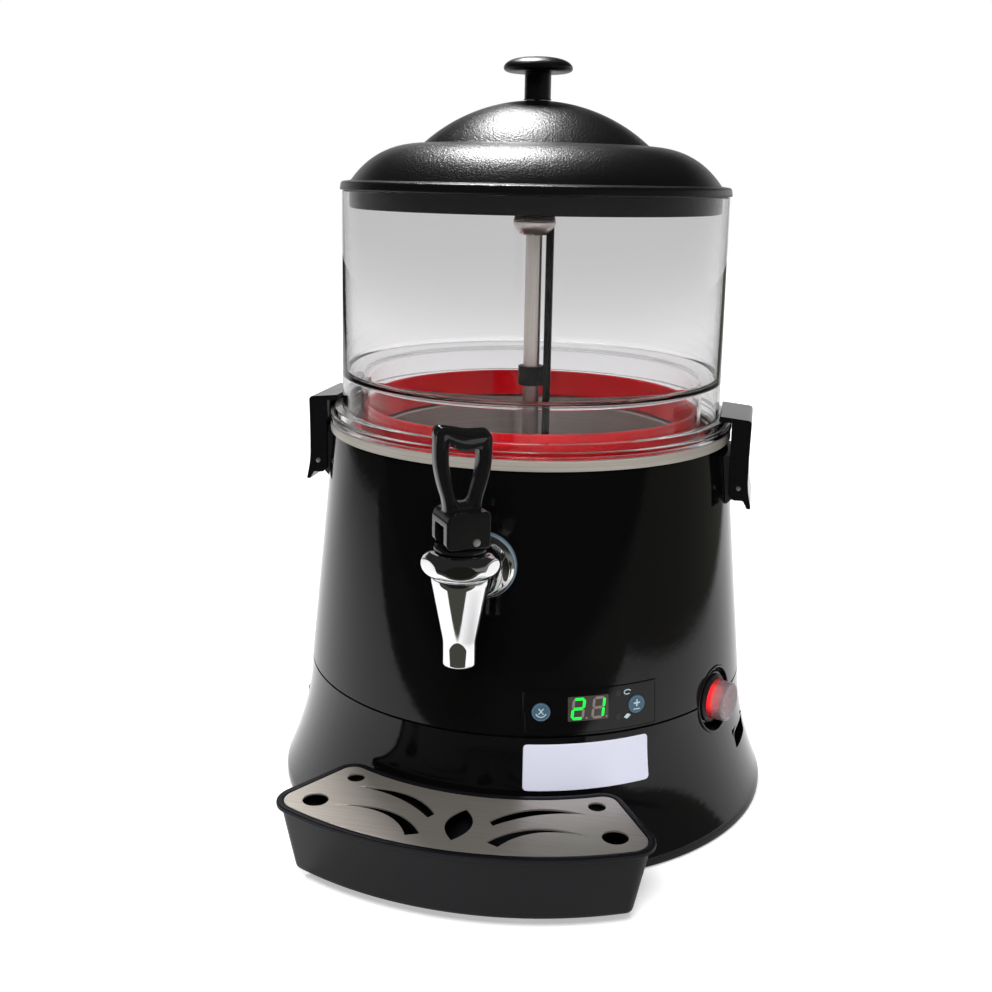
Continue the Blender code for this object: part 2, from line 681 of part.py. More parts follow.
def rounded_rectangle(width, height, radius):
    x, y = width / 2, height / 2
    return filleted([(-x, -y), (x, -y), (x, y), (-x, y)], [radius] * 4)


def hexagon(flat_radius, azimuth=0):
    """A hexagon by the reach of its flats, with a corner at an azimuth."""
    corner = flat_radius / math.cos(math.pi / 6)
    return [front_of(azimuth + 60 * i, corner).to_2d() for i in range(6)]


def inset(line, wall):
    """An open (radius, height) line moved inwards by a wall, square to its own run."""
    moved = []
    for i, (radius, height) in enumerate(line):
        before, after = Vector(line[max(i - 1, 0)]), Vector(line[min(i + 1, len(line) - 1)])
        run = (after - before).normalized()
        moved.append((radius + run.y * wall, height - run.x * wall))
    return moved


def front_of(azimuth, reach=1.0, height=0.0):
    """The point at an azimuth from the machine's front, a reach from its axis."""
    turn = math.radians(azimuth)
    return Vector((math.sin(turn) * reach, -math.cos(turn) * reach, height))


def facing(azimuth):
    """The turn that lays local Z along a horizontal azimuth and local Y upright."""
    return Euler((math.pi / 2, 0, math.radians(azimuth)))


def beside(azimuth):
    """The turn that lays local X along a horizontal azimuth and local Y upright."""
    return Euler((math.pi / 2, 0, math.radians(azimuth - 90)))


def base_radius(height):
    """The base housing's outer radius: upright at its rim, then flaring in to the waist."""
    flare_bottom = BASE_LIFT + BASE_RIM_HEIGHT
    share = max(0.0, (height - flare_bottom) / (SEAM_Z - flare_bottom))
    return WAIST_RADIUS + (BASE_BOTTOM_RADIUS - WAIST_RADIUS) * (1 - min(share, 1.0)) ** FLARE_POWER


def housing_radius(height):
    """The upper housing's outer radius, a plain cone."""
    share = (height - HOUSING_BOTTOM_Z) / HOUSING_HEIGHT
    return WAIST_RADIUS + (HOUSING_TOP_RADIUS - WAIST_RADIUS) * share


def flare_line():
    """The base's outer line from the waist down to the rim."""
    bottom = BASE_LIFT + BASE_RIM_HEIGHT
    heights = [SEAM_Z + (bottom - SEAM_Z) * step / FLARE_STEPS for step in range(FLARE_STEPS + 1)]
    return [(base_radius(height), height) for height in heights]


class Machine:
    """Keeps the collections and the machine's axis, and places pieces and cutters about it."""

    def __init__(self):
        self.pieces = new_collection("hot_chocolate_dispenser")
        self.cutters = new_collection("cutters")
        self.axis = self.empty("machine_axis", (0, FRAME_SHIFT, 0))
        self.tap_axis = self.empty("tap_axis", (0, -TAP_Y, 0), self.axis)

    def empty(self, name, location, parent=None):
        marker = bpy.data.objects.new(name, None)
        marker.location = location
        marker.parent = parent
        self.pieces.objects.link(marker)
        return marker

    def place(self, name, mesh, look, location=(0, 0, 0), rotation=None, parent=None):
        mesh.name = name
        obj = bpy.data.objects.new(name, mesh)
        if not mesh.materials:
            mesh.materials.append(finish(look))
        obj.location = location
        if rotation:
            obj.rotation_euler = rotation
        obj.parent = parent or self.axis
        self.pieces.objects.link(obj)
        return obj

    def shape_with(self, target, operation, mesh, location=(0, 0, 0), rotation=None, parent=None):
        """Cuts, joins or trims target with a hidden body."""
        order = len(target.modifiers)
        other = bpy.data.objects.new(f"{target.name}_{operation.lower()}_{order}", mesh)
        other.location = location
        if rotation:
            other.rotation_euler = rotation
        other.parent = parent or self.axis
        other.hide_render = True
        other.display_type = "WIRE"
        self.cutters.objects.link(other)
        modifier = target.modifiers.new(f"{operation.lower()}_{order}", "BOOLEAN")
        modifier.operation = operation
        modifier.solver = "EXACT"
        modifier.object = other
        return target

    def cut(self, target, *shape, **place):
        return self.shape_with(target, "DIFFERENCE", *shape, **place)

    def join(self, target, *shape, **place):
        return self.shape_with(target, "UNION", *shape, **place)

    def trim(self, target, *shape, **place):
        return self.shape_with(target, "INTERSECT", *shape, **place)

def skin(clearance):
    """A solid that fills both housings' outer surfaces and stands off them by a clearance."""
    top = HOUSING_TOP_Z
    line = [(housing_radius(top), top), (housing_radius(SEAM_Z), SEAM_Z), *flare_line()[1:]]
    line.append((BASE_BOTTOM_RADIUS, BASE_LIFT))
    outer = [(radius + clearance, height) for radius, height in line]
    return turned([(0, top), *outer, (0, BASE_LIFT)], SHELL_SEGMENTS, ring=False)


def build_base(machine):
    outer = flare_line()
    bottom = BASE_BOTTOM_RADIUS
    spigot = WAIST_RADIUS - HOUSING_WALL - SPIGOT_GAP
    throat = spigot - SPIGOT_WALL
    inner = [(radius - HOUSING_WALL, height) for radius, height in reversed(outer[2:])]
    profile = [
        (spigot, SEAM_Z + SPIGOT_HEIGHT), (spigot, SEAM_Z), *outer,
        (bottom, BASE_LIFT), (bottom - HOUSING_WALL, BASE_LIFT), *inner,
        (throat, SEAM_Z - SPIGOT_SHOULDER), (throat, SEAM_Z + SPIGOT_HEIGHT),
    ]
    base = machine.place("base_housing", turned(profile, SHELL_SEGMENTS), "gloss_black")
    rim = base_radius(GRIP_MIDDLE_Z)
    half_width, half_height = GRIP_WIDTH / 2, GRIP_HEIGHT / 2
    cup_low, cup_high = GRIP_MIDDLE_Z - half_height, GRIP_MIDDLE_Z + half_height
    for azimuth in (90, -90):
        turn = Euler((0, 0, math.radians(azimuth - 90)))
        cup = box(
            (rim - GRIP_DEPTH - GRIP_WALL, -half_width - GRIP_WALL, cup_low - GRIP_WALL),
            (rim + GRIP_DEPTH, half_width + GRIP_WALL, cup_high + GRIP_WALL),
        )
        cup.transform(turn.to_matrix().to_4x4())
        machine.join(base, within(cup, skin(-HOUSING_WALL / 2)))
        hollow = box((rim - GRIP_DEPTH, -half_width, cup_low), (rim + GRIP_DEPTH, half_width, cup_high))
        machine.cut(base, hollow, rotation=turn)
    for x in (-RUNNER_SPACING / 2, RUNNER_SPACING / 2):
        half = RUNNER_WIDTH / 2 + RUNNING_GAP
        notch = box(
            (x - half, -bottom - CUT_OVERRUN, BASE_LIFT - CUT_OVERRUN),
            (x + half, -bottom + RUNNER_ROOT, TRAY_LIFT + RUNNING_GAP),
        )
        machine.cut(base, notch)
    start, end = WAIST_RADIUS - GRIP_DEPTH, bottom + CUT_OVERRUN
    gland_hole = rod(GLAND_NECK_RADIUS + SEAT_GAP, start, end, ROUND_SEGMENTS)
    machine.cut(base, gland_hole, location=(0, 0, GLAND_Z), rotation=facing(180))
    cut_switch_hole(machine, base)


def cut_switch_hole(machine, housing):
    start, end = WAIST_RADIUS / 2, BASE_BOTTOM_RADIUS + CUT_OVERRUN
    hole = rod(BEZEL_RADIUS + SEAT_GAP, start, end, INNER_SEGMENTS)
    machine.cut(housing, hole, location=(0, 0, SWITCH_Z), rotation=facing(SWITCH_AZIMUTH))


def build_plate_and_feet(machine):
    low = FOOT_HEIGHT + SEAT_GAP
    radius = base_radius(PLATE_TOP_Z) - HOUSING_WALL - RUNNING_GAP
    plate = machine.place("base_plate", rod(radius, low, PLATE_TOP_Z, SHELL_SEGMENTS), "zinc")
    front = -BASE_BOTTOM_RADIUS - RUNNER_REACH
    back = front + RUNNER_REACH + RUNNER_ROOT
    half = RUNNER_WIDTH / 2
    for x in (-RUNNER_SPACING / 2, RUNNER_SPACING / 2):
        runner = box((x - half, front, low), (x + half, back, TRAY_LIFT - SEAT_GAP))
        machine.join(plate, runner)
    foot = turned(
        [
            (0, FOOT_HEIGHT + FOOT_PLUG_LENGTH), (FOOT_PLUG_RADIUS, FOOT_HEIGHT + FOOT_PLUG_LENGTH),
            (FOOT_PLUG_RADIUS, FOOT_HEIGHT), (FOOT_RADIUS, FOOT_HEIGHT), (FOOT_RADIUS, FOOT_CHAMFER),
            (FOOT_RADIUS - FOOT_CHAMFER, 0), (0, 0),
        ],
        SMALL_SEGMENTS,
        ring=False,
    )
    for number, azimuth in enumerate(FOOT_AZIMUTHS, start=1):
        place = front_of(azimuth, FOOT_CIRCLE_RADIUS)
        machine.place(f"foot_{number}", foot, "rubber", place)
        hole = rod(FOOT_PLUG_RADIUS + SEAT_GAP, low - CUT_OVERRUN, PLATE_TOP_Z + CUT_OVERRUN)
        machine.cut(plate, hole, location=place)


def build_upper_housing(machine):
    top, bottom = HOUSING_TOP_Z, HOUSING_BOTTOM_Z
    throat = PAN_THROAT_RADIUS + RUNNING_GAP
    under = top - HOUSING_FLANGE
    profile = [
        (HOUSING_TOP_RADIUS, top), (WAIST_RADIUS, bottom), (WAIST_RADIUS - HOUSING_WALL, bottom),
        (housing_radius(under) - HOUSING_WALL, under), (throat, under), (throat, top),
    ]
    housing = machine.place("upper_housing", turned(profile, SHELL_SEGMENTS), "gloss_black")
    shank_hole = rod(TAP_SHANK_RADIUS + SEAT_GAP, HOUSING_TOP_RADIUS / 2, BASE_BOTTOM_RADIUS, ROUND_SEGMENTS)
    machine.cut(housing, shank_hole, location=(0, 0, TAP_Z), rotation=facing(0))
    window = outlined(
        [rounded_rectangle(PANEL_WIDTH + 2 * SEAT_GAP, PANEL_HEIGHT + 2 * SEAT_GAP, PANEL_CORNER_RADIUS)],
        HOUSING_TOP_RADIUS / 2,
        BASE_BOTTOM_RADIUS,
    )
    machine.cut(housing, window, location=(0, 0, PANEL_MIDDLE_Z), rotation=facing(PANEL_AZIMUTH))
    cut_switch_hole(machine, housing)


def build_top_ring(machine):
    low = RING_TOP_Z - RING_DEPTH
    under = RING_TOP_Z - RING_SHEET
    inner = PAN_THROAT_RADIUS - SHEET
    profile = [
        (RING_RADIUS, RING_TOP_Z), (RING_RADIUS, low), (RING_RADIUS - RING_SHEET, low),
        (RING_RADIUS - RING_SHEET, under), (inner, under), (inner, RING_TOP_Z),
    ]
    machine.place("top_ring", turned(profile, SHELL_SEGMENTS), "brushed_steel")


def build_bath(machine):
    under_rim = PAN_RIM_Z - SHEET
    ledge = PAN_THROAT_RADIUS - PAN_LEDGE_WIDTH
    bore = TUBE_RADIUS + SEAT_GAP
    outer = [
        (PAN_RIM_RADIUS, PAN_RIM_Z), (PAN_RIM_RADIUS, under_rim), (PAN_THROAT_RADIUS, under_rim),
        (PAN_THROAT_RADIUS, LEDGE_Z - SHEET), (ledge, LEDGE_Z - SHEET),
        (PAN_FLOOR_RADIUS, PAN_FLOOR_Z - SHEET), (bore, PAN_FLOOR_Z - SHEET),
    ]
    inner = [
        (bore, PAN_FLOOR_Z), (PAN_FLOOR_RADIUS - SHEET, PAN_FLOOR_Z), (ledge - SHEET, LEDGE_Z),
        (PAN_THROAT_RADIUS - SHEET, LEDGE_Z), (PAN_THROAT_RADIUS - SHEET, PAN_RIM_Z),
    ]
    pan = machine.place("bath_pan", turned(outer + inner, INNER_SEGMENTS), "brushed_steel")
    stub = OUTLET_BORE_RADIUS + OUTLET_WALL + SEAT_GAP
    hole = rod(stub, PAN_FLOOR_RADIUS / 2, PAN_RIM_RADIUS)
    machine.cut(pan, hole, location=(0, 0, TAP_Z), rotation=facing(0))
    machine.place("heating_element", wire(heater_path(), HEATER_TUBE_RADIUS, 1), "zinc")
    leg = rod(HEATER_TUBE_RADIUS + SEAT_GAP, PAN_FLOOR_Z - SHEET - CUT_OVERRUN, PAN_FLOOR_Z + CUT_OVERRUN)
    for x in (-HEATER_LEG_SPACING / 2, HEATER_LEG_SPACING / 2):
        machine.cut(pan, leg, location=(x, heater_leg_y(), 0))
    low = PAN_FLOOR_Z - SHEET - SEAT_GAP
    body = rod(THERMOSTAT_RADIUS, low - THERMOSTAT_HEIGHT, low, SMALL_SEGMENTS)
    thermostat = machine.place("thermostat", body, "satin_black", (THERMOSTAT_OFFSET, 0, 0))
    half = THERMOSTAT_TAB / 2
    tab = box(
        (THERMOSTAT_OFFSET - half, -THERMOSTAT_RADIUS - half, low - THERMOSTAT_HEIGHT - THERMOSTAT_TAB),
        (THERMOSTAT_OFFSET + half, THERMOSTAT_RADIUS + half, low - THERMOSTAT_HEIGHT + half),
    )
    machine.join(thermostat, tab)


def heater_leg_y():
    return math.sqrt(HEATER_RING_RADIUS**2 - (HEATER_LEG_SPACING / 2) ** 2)


def heater_path():
    """A ring open at the back, each end turned down through the pan's floor."""
    height = PAN_FLOOR_Z + HEATER_RISE
    bend = 2 * HEATER_TUBE_RADIUS
    gap = math.asin(HEATER_LEG_SPACING / 2 / HEATER_RING_RADIUS)
    lead = bend / HEATER_RING_RADIUS
    start, end = math.pi + gap + lead, 3 * math.pi - gap - lead
    ring = []
    for step in range(HEATER_STEPS + 1):
        turn = start + (end - start) * step / HEATER_STEPS
        ring.append((math.sin(turn) * HEATER_RING_RADIUS, -math.cos(turn) * HEATER_RING_RADIUS, height))
    x, y = HEATER_LEG_SPACING / 2, heater_leg_y()
    foot = PAN_FLOOR_Z - SHEET - HEATER_LEG_DROP
    left = [(-x, y, foot), (-x, y, height - bend), (-x - bend / 4, y, height - bend / 4)]
    right = [(-px, py, pz) for px, py, pz in reversed(left)]
    return left + ring + right


def dish_line():
    """The dish's inner line from its rim down to the middle of its floor."""
    corner = DISH_CORNER_RADIUS
    centre_r, centre_z = DISH_WALL_FOOT_RADIUS - corner, DISH_FLOOR_Z + corner
    line = [(DISH_MOUTH_RADIUS - SHEET, DISH_RIM_Z)]
    for step in range(CORNER_STEPS + 1):
        turn = math.pi / 2 * step / CORNER_STEPS
        line.append((centre_r + (corner - SHEET) * math.cos(turn), centre_z - corner * math.sin(turn)))
    return line


def build_dish(machine):
    line = dish_line()
    floor = DISH_FLOOR_Z - SHEET
    outer = [(radius + SHEET, max(height - SHEET, floor)) for radius, height in line[:-1]]
    outer[0] = (DISH_MOUTH_RADIUS, DISH_RIM_Z - SHEET)
    outer.append((line[-1][0], floor))
    rim = DISH_RIM_RADIUS
    profile = [(0, DISH_RIM_Z), (rim, DISH_RIM_Z), (rim, DISH_RIM_Z - SHEET), *outer, (0, floor)]
    dish = machine.place("product_dish", turned(profile, INNER_SEGMENTS, ring=False), "brushed_steel")
    stub = OUTLET_BORE_RADIUS + OUTLET_WALL
    root = DISH_WALL_FOOT_RADIUS - OUTLET_ROOT_INSET
    machine.join(dish, rod(stub, root, OUTLET_END_RADIUS), location=(0, 0, TAP_Z), rotation=facing(0))
    rim = DISH_RIM_Z + CUT_OVERRUN
    hollow = [(0, rim), (line[0][0], rim), *line, (0, DISH_FLOOR_Z)]
    machine.cut(dish, turned(hollow, INNER_SEGMENTS, ring=False))
    bore = rod(OUTLET_BORE_RADIUS, root - CUT_OVERRUN, OUTLET_END_RADIUS + CUT_OVERRUN)
    machine.cut(dish, bore, location=(0, 0, TAP_Z), rotation=facing(0))
    machine.cut(dish, rod(TUBE_RADIUS + SEAT_GAP, floor - CUT_OVERRUN, DISH_FLOOR_Z + CUT_OVERRUN))
    tail = PAN_FLOOR_Z - SHEET - TUBE_TAIL
    tube = pipe(TUBE_RADIUS, TUBE_RADIUS - TUBE_WALL, tail, TUBE_TOP_Z, SMALL_SEGMENTS)
    machine.place("centre_tube", tube, "brushed_steel")


def build_gasket(machine):
    low, top = GASKET_BOTTOM_Z, GASKET_BOTTOM_Z + GASKET_HEIGHT
    foot = low + GASKET_FOOT_HEIGHT
    inner = GASKET_RADIUS - GASKET_WALL
    lip = GASKET_FOOT_HEIGHT
    profile = [
        (GASKET_RADIUS - lip, top), (GASKET_RADIUS, top - lip), (GASKET_RADIUS, foot),
        (GASKET_RADIUS + GASKET_FOOT_WIDTH, foot), (GASKET_RADIUS + GASKET_FOOT_WIDTH, low),
        (inner, low), (inner, top - lip), (inner + lip, top),
    ]
    machine.place("bowl_gasket", turned(profile, SHELL_SEGMENTS), "gasket_red")


def build_bowl(machine):
    top, low = BOWL_TOP_Z, BOWL_BOTTOM_Z
    inner = BOWL_RADIUS - BOWL_WALL
    skirt = GASKET_RADIUS + SEAT_GAP
    skirt_out = skirt + BOWL_SKIRT_WALL
    skirt_low = GASKET_BOTTOM_Z + GASKET_FOOT_HEIGHT + SEAT_GAP
    flange, step = low + BOWL_FLANGE_HEIGHT, low + BOWL_FLANGE_HEIGHT + BOWL_STEP_HEIGHT
    shoulder = low + BOWL_SHOULDER_HEIGHT
    shoulder_in = shoulder - BOWL_SHOULDER_DROP
    under = shoulder - BOWL_SHOULDER_WALL
    soft = BOWL_SHOULDER_DROP / 2
    profile = [
        (BOWL_RADIUS, top), (BOWL_RADIUS, step), (BOWL_STEP_RADIUS, step), (BOWL_STEP_RADIUS, flange),
        (BOWL_FLANGE_RADIUS, flange), (BOWL_FLANGE_RADIUS, low), (inner, low), (inner, under),
        (skirt_out, shoulder_in - BOWL_SHOULDER_WALL), (skirt_out, skirt_low), (skirt, skirt_low),
        (skirt, shoulder_in - soft), (skirt + soft, shoulder_in + soft / 2), (inner, shoulder), (inner, top),
    ]
    machine.place("bowl", turned(profile, SHELL_SEGMENTS), "clear")


def lid_line():
    """The lid's outer line: a shallow dome, a crease, then a bulging tier down to the flange."""
    top = LID_TOP_Z
    sphere = LID_DOME_SPHERE_RADIUS
    start, end = LID_SCREW_HOLE_RADIUS, LID_CREASE_RADIUS
    line = []
    for step in range(LID_DOME_STEPS + 1):
        radius = start + (end - start) * step / LID_DOME_STEPS
        line.append((radius, top - sphere + math.sqrt(sphere**2 - radius**2)))
    crease = Vector((end + LID_CREASE_STEP, line[-1][1]))
    foot = Vector((LID_TIER_RADIUS, LID_SEAT_Z + LID_FLANGE_HEIGHT))
    across, up = LID_TIER_BULGE_SHARES
    bulge = Vector((crease.x + (foot.x - crease.x) * across, foot.y + (crease.y - foot.y) * up))
    for step in range(LID_TIER_STEPS + 1):
        share = step / LID_TIER_STEPS
        point = crease * (1 - share) ** 2 + bulge * 2 * share * (1 - share) + foot * share**2
        line.append(tuple(point))
    return line


def build_lid(machine):
    outer = lid_line()
    skirt_in = LID_SKIRT_RADIUS - LID_WALL
    inner = [point for point in inset(outer, LID_WALL) if point[0] < skirt_in - LID_WALL]
    profile = [
        *outer, (LID_FLANGE_RADIUS, LID_SEAT_Z + LID_FLANGE_HEIGHT), (LID_FLANGE_RADIUS, LID_SEAT_Z),
        (LID_SKIRT_RADIUS, LID_SEAT_Z), (LID_SKIRT_RADIUS, LID_SEAT_Z - LID_SKIRT_DEPTH),
        (skirt_in, LID_SEAT_Z - LID_SKIRT_DEPTH), (skirt_in, LID_SEAT_Z), *reversed(inner[1:]),
        (LID_SCREW_HOLE_RADIUS, LID_TOP_Z - LID_WALL),
    ]
    machine.place("lid", turned(profile, SHELL_SEGMENTS), "lid_black")
    low = LID_TOP_Z + SEAT_GAP
    neck = low + KNOB_HEIGHT - KNOB_CAP_HEIGHT
    cap = [(KNOB_CAP_RADIUS * across, neck + KNOB_CAP_HEIGHT * up) for across, up in KNOB_CAP_SHARES]
    hole = KNOB_SCREW_RADIUS + SEAT_GAP
    profile = [
        (0, low + KNOB_HEIGHT), *cap, (KNOB_NECK_RADIUS, neck), (KNOB_NECK_RADIUS, low + KNOB_NECK_CHAMFER),
        (KNOB_NECK_RADIUS - KNOB_NECK_CHAMFER, low), (hole, low), (hole, neck), (0, neck),
    ]
    machine.place("lid_knob", turned(profile, INNER_SEGMENTS, ring=False), "lid_black")
    under = LID_TOP_Z - LID_WALL - SEAT_GAP
    profile = [
        (0, under - KNOB_SCREW_HEAD_HEIGHT + KNOB_SCREW_LENGTH),
        (KNOB_SCREW_RADIUS, under - KNOB_SCREW_HEAD_HEIGHT + KNOB_SCREW_LENGTH), (KNOB_SCREW_RADIUS, under),
        (KNOB_SCREW_HEAD_RADIUS, under), (KNOB_SCREW_HEAD_RADIUS, under - KNOB_SCREW_HEAD_HEIGHT),
        (0, under - KNOB_SCREW_HEAD_HEIGHT),
    ]
    machine.place("knob_screw", turned(profile, SMALL_SEGMENTS, ring=False), "zinc")


def build_mixer(machine):
    low = CAP_BOTTOM_Z
    bore = SHAFT_RADIUS + RUNNING_GAP
    nose = low + CAP_HEIGHT - CAP_ROOF
    dome = [(CAP_RADIUS * across, low + CAP_HEIGHT * up) for across, up in CAP_SHARES]
    profile = [*dome, (CAP_RADIUS, low), (bore, low), (bore, nose), (0, nose)]
    machine.place("mixer_cap", turned(profile, ROUND_SEGMENTS, ring=False), "zinc")
    shaft_low = GEARBOX_TOP_Z + GEARBOX_BOSS_HEIGHT + SEAT_GAP
    machine.place("drive_shaft", rod(SHAFT_RADIUS, shaft_low, TUBE_TOP_Z + SHAFT_NOSE), "brushed_steel")
    bore = TUBE_RADIUS + RUNNING_GAP
    top = low - SEAT_GAP
    floor = DISH_FLOOR_Z + MIXER_FLOOR_GAP
    ring = pipe(CAP_RADIUS, bore, top - MIXER_RING_HEIGHT, top, SMALL_SEGMENTS)
    frame = machine.place("mixer_frame", ring, "satin_black")
    turn = Euler((0, 0, math.radians(MIXER_BAR_AZIMUTH - 90)))
    near, far = MIXER_BAR_OFFSET - MIXER_BAR_WIDTH / 2, MIXER_BAR_OFFSET + MIXER_BAR_WIDTH / 2
    half = MIXER_BAR_DEPTH / 2
    bar_low, bar_top = floor + MIXER_EDGE_ROUND, top - MIXER_EDGE_ROUND
    bar = box((near, -half, bar_low), (far, half, bar_top), MIXER_EDGE_ROUND)
    machine.join(frame, bar, rotation=turn)
    collar_low = DISH_FLOOR_Z + MIXER_COLLAR_RISE
    collar_top = collar_low + MIXER_COLLAR_HEIGHT
    collar = pipe(bore + MIXER_COLLAR_WALL, bore, collar_low, collar_top, SMALL_SEGMENTS)
    machine.join(frame, collar)
    machine.join(frame, pipe(MIXER_HUB_RADIUS, bore, floor, floor + MIXER_HUB_HEIGHT, SMALL_SEGMENTS))
    half = MIXER_ARM_WIDTH / 2
    for azimuth in (MIXER_BAR_AZIMUTH, MIXER_BAR_AZIMUTH + 180):
        turn = Euler((0, 0, math.radians(azimuth - 90)))
        start = MIXER_HUB_RADIUS - MIXER_COLLAR_WALL
        arm_low = floor + MIXER_EDGE_ROUND
        arm_top = arm_low + MIXER_ARM_HEIGHT
        arm = box((start, -half, arm_low), (MIXER_ARM_REACH, half, arm_top), MIXER_EDGE_ROUND)
        machine.join(frame, arm, rotation=turn)
        inner = MIXER_ARM_REACH - 2 * MIXER_PADDLE_THICKNESS
        paddle_low = arm_low + MIXER_EDGE_ROUND
        paddle = box(
            (inner, -half + MIXER_EDGE_ROUND, paddle_low),
            (inner + MIXER_PADDLE_THICKNESS, half - MIXER_EDGE_ROUND, paddle_low + MIXER_PADDLE_HEIGHT),
        )
        machine.join(frame, paddle, rotation=turn)


def build_drive(machine):
    top, low = GEARBOX_TOP_Z, GEARBOX_TOP_Z - GEARBOX_HEIGHT
    half_length, half_width = GEARBOX_LENGTH / 2, GEARBOX_WIDTH / 2
    case = box((-half_length, -half_width, low), (half_length, half_width, top), GEARBOX_EDGE_ROUND)
    motor = machine.place("gear_motor", case, "zinc")
    boss = rod(GEARBOX_BOSS_RADIUS, top - GEARBOX_EDGE_ROUND, top + GEARBOX_BOSS_HEIGHT)
    machine.join(motor, boss)
    can = rod(MOTOR_RADIUS, 0, MOTOR_LENGTH, ROUND_SEGMENTS)
    start = half_length - GEARBOX_EDGE_ROUND
    middle = GEARBOX_TOP_Z - GEARBOX_HEIGHT / 2
    machine.join(motor, can, location=(-start, 0, middle), rotation=facing(-90))
    sheet, foot = BRACKET_SHEET, BRACKET_HALF_WIDTH + BRACKET_FOOT
    shelf, ground = low - SEAT_GAP, PLATE_TOP_Z + SEAT_GAP
    wide = BRACKET_HALF_WIDTH
    right = [
        (wide, shelf), (wide, ground + sheet), (foot, ground + sheet), (foot, ground),
        (wide - sheet, ground), (wide - sheet, shelf - sheet),
    ]
    outline = right + [(-x, z) for x, z in reversed(right)]
    hat = outlined([outline], -BRACKET_HALF_DEPTH, BRACKET_HALF_DEPTH)
    machine.place("motor_bracket", hat, "zinc", rotation=facing(0))


def clip_outline():
    """The clip's side view from its pin, X outwards: roof, outer plate with a flared lip, and cheek."""
    roof_low = CLIP_PIN_DROP
    reach = BOWL_RADIUS + CLIP_REACH_GAP - CLIP_PIN_X
    outer, cheek = CLIP_PLATE_OUT, -CLIP_CHEEK_IN
    lip, bottom = -CLIP_LIP_BELOW_PIN, -CLIP_CHEEK_BELOW_PIN
    points = [
        (reach, roof_low), (cheek, roof_low), (cheek, bottom + CLIP_CHEEK_CHAMFER),
        (cheek + CLIP_CHEEK_CHAMFER, bottom), (outer - CLIP_WAIST_IN - CLIP_SHEET, bottom),
        (outer + CLIP_LIP_FLARE - CLIP_SHEET, lip), (outer + CLIP_LIP_FLARE, lip),
        (outer - CLIP_WAIST_IN, bottom + CLIP_CHEEK_BELOW_PIN), (outer - CLIP_WAIST_IN, roof_low / 2),
        (outer, roof_low + CLIP_ROOF - CLIP_ROOF_FALL), (reach, roof_low + CLIP_ROOF),
    ]
    soft = CLIP_CORNER_RADIUS
    return filleted(points, [0, 0, 0, 0, 0, soft / 4, soft / 4, soft * 4, soft * 4, soft, 0])


def build_clips(machine):
    shell = outlined([clip_outline()], -CLIP_HALF_WIDTH, CLIP_HALF_WIDTH)
    inner = CLIP_PLATE_OUT - CLIP_WAIST_IN - CLIP_SHEET
    reach = BOWL_RADIUS - CLIP_PIN_X
    half = CLIP_HALF_WIDTH - CLIP_SHEET
    channel = box((reach, -CLIP_CHEEK_BELOW_PIN - CUT_OVERRUN, -half), (inner, CLIP_PIN_DROP, half))
    pin_hole = rod(CLIP_PIN_RADIUS + SEAT_GAP, -CLIP_HALF_WIDTH - CUT_OVERRUN, CLIP_HALF_WIDTH + CUT_OVERRUN)
    pin = rod(CLIP_PIN_RADIUS, -CLIP_HALF_WIDTH - CLIP_PIN_PROUD, CLIP_HALF_WIDTH + CLIP_PIN_PROUD)
    tail, tip = -BLOCK_TAIL_IN, BLOCK_TIP_RADIUS
    root = HOUSING_TOP_RADIUS - HOUSING_WALL - CLIP_PIN_X
    outer = BLOCK_FACE_OUT
    points = [
        (root, BLOCK_RISE), (root, -BLOCK_TAIL_DROP), (tail, -BLOCK_TAIL_DROP), (tip / 2, -tip), (tip, 0),
        (outer, tip * 2), (outer, BLOCK_RISE),
    ]
    block = filleted(points, [0, 0, tip / 2, tip, tip, tip, tip / 2])
    block = outlined([block], -BLOCK_HALF_WIDTH, BLOCK_HALF_WIDTH)
    for side, azimuth in (("right", 90), ("left", -90)):
        turn, place = beside(azimuth), front_of(azimuth, CLIP_PIN_X, CLIP_PIN_Z)
        clip = machine.place(f"clip_{side}", shell, "gloss_black", place, turn)
        machine.cut(clip, channel, location=place, rotation=turn)
        machine.cut(clip, pin_hole, location=place, rotation=turn)
        mount = machine.place(f"clip_bracket_{side}", block, "satin_black", place, turn)
        machine.cut(mount, skin(SEAT_GAP))
        machine.cut(mount, pin_hole, location=place, rotation=turn)
        machine.place(f"clip_pin_{side}", pin, "brushed_steel", place, turn)


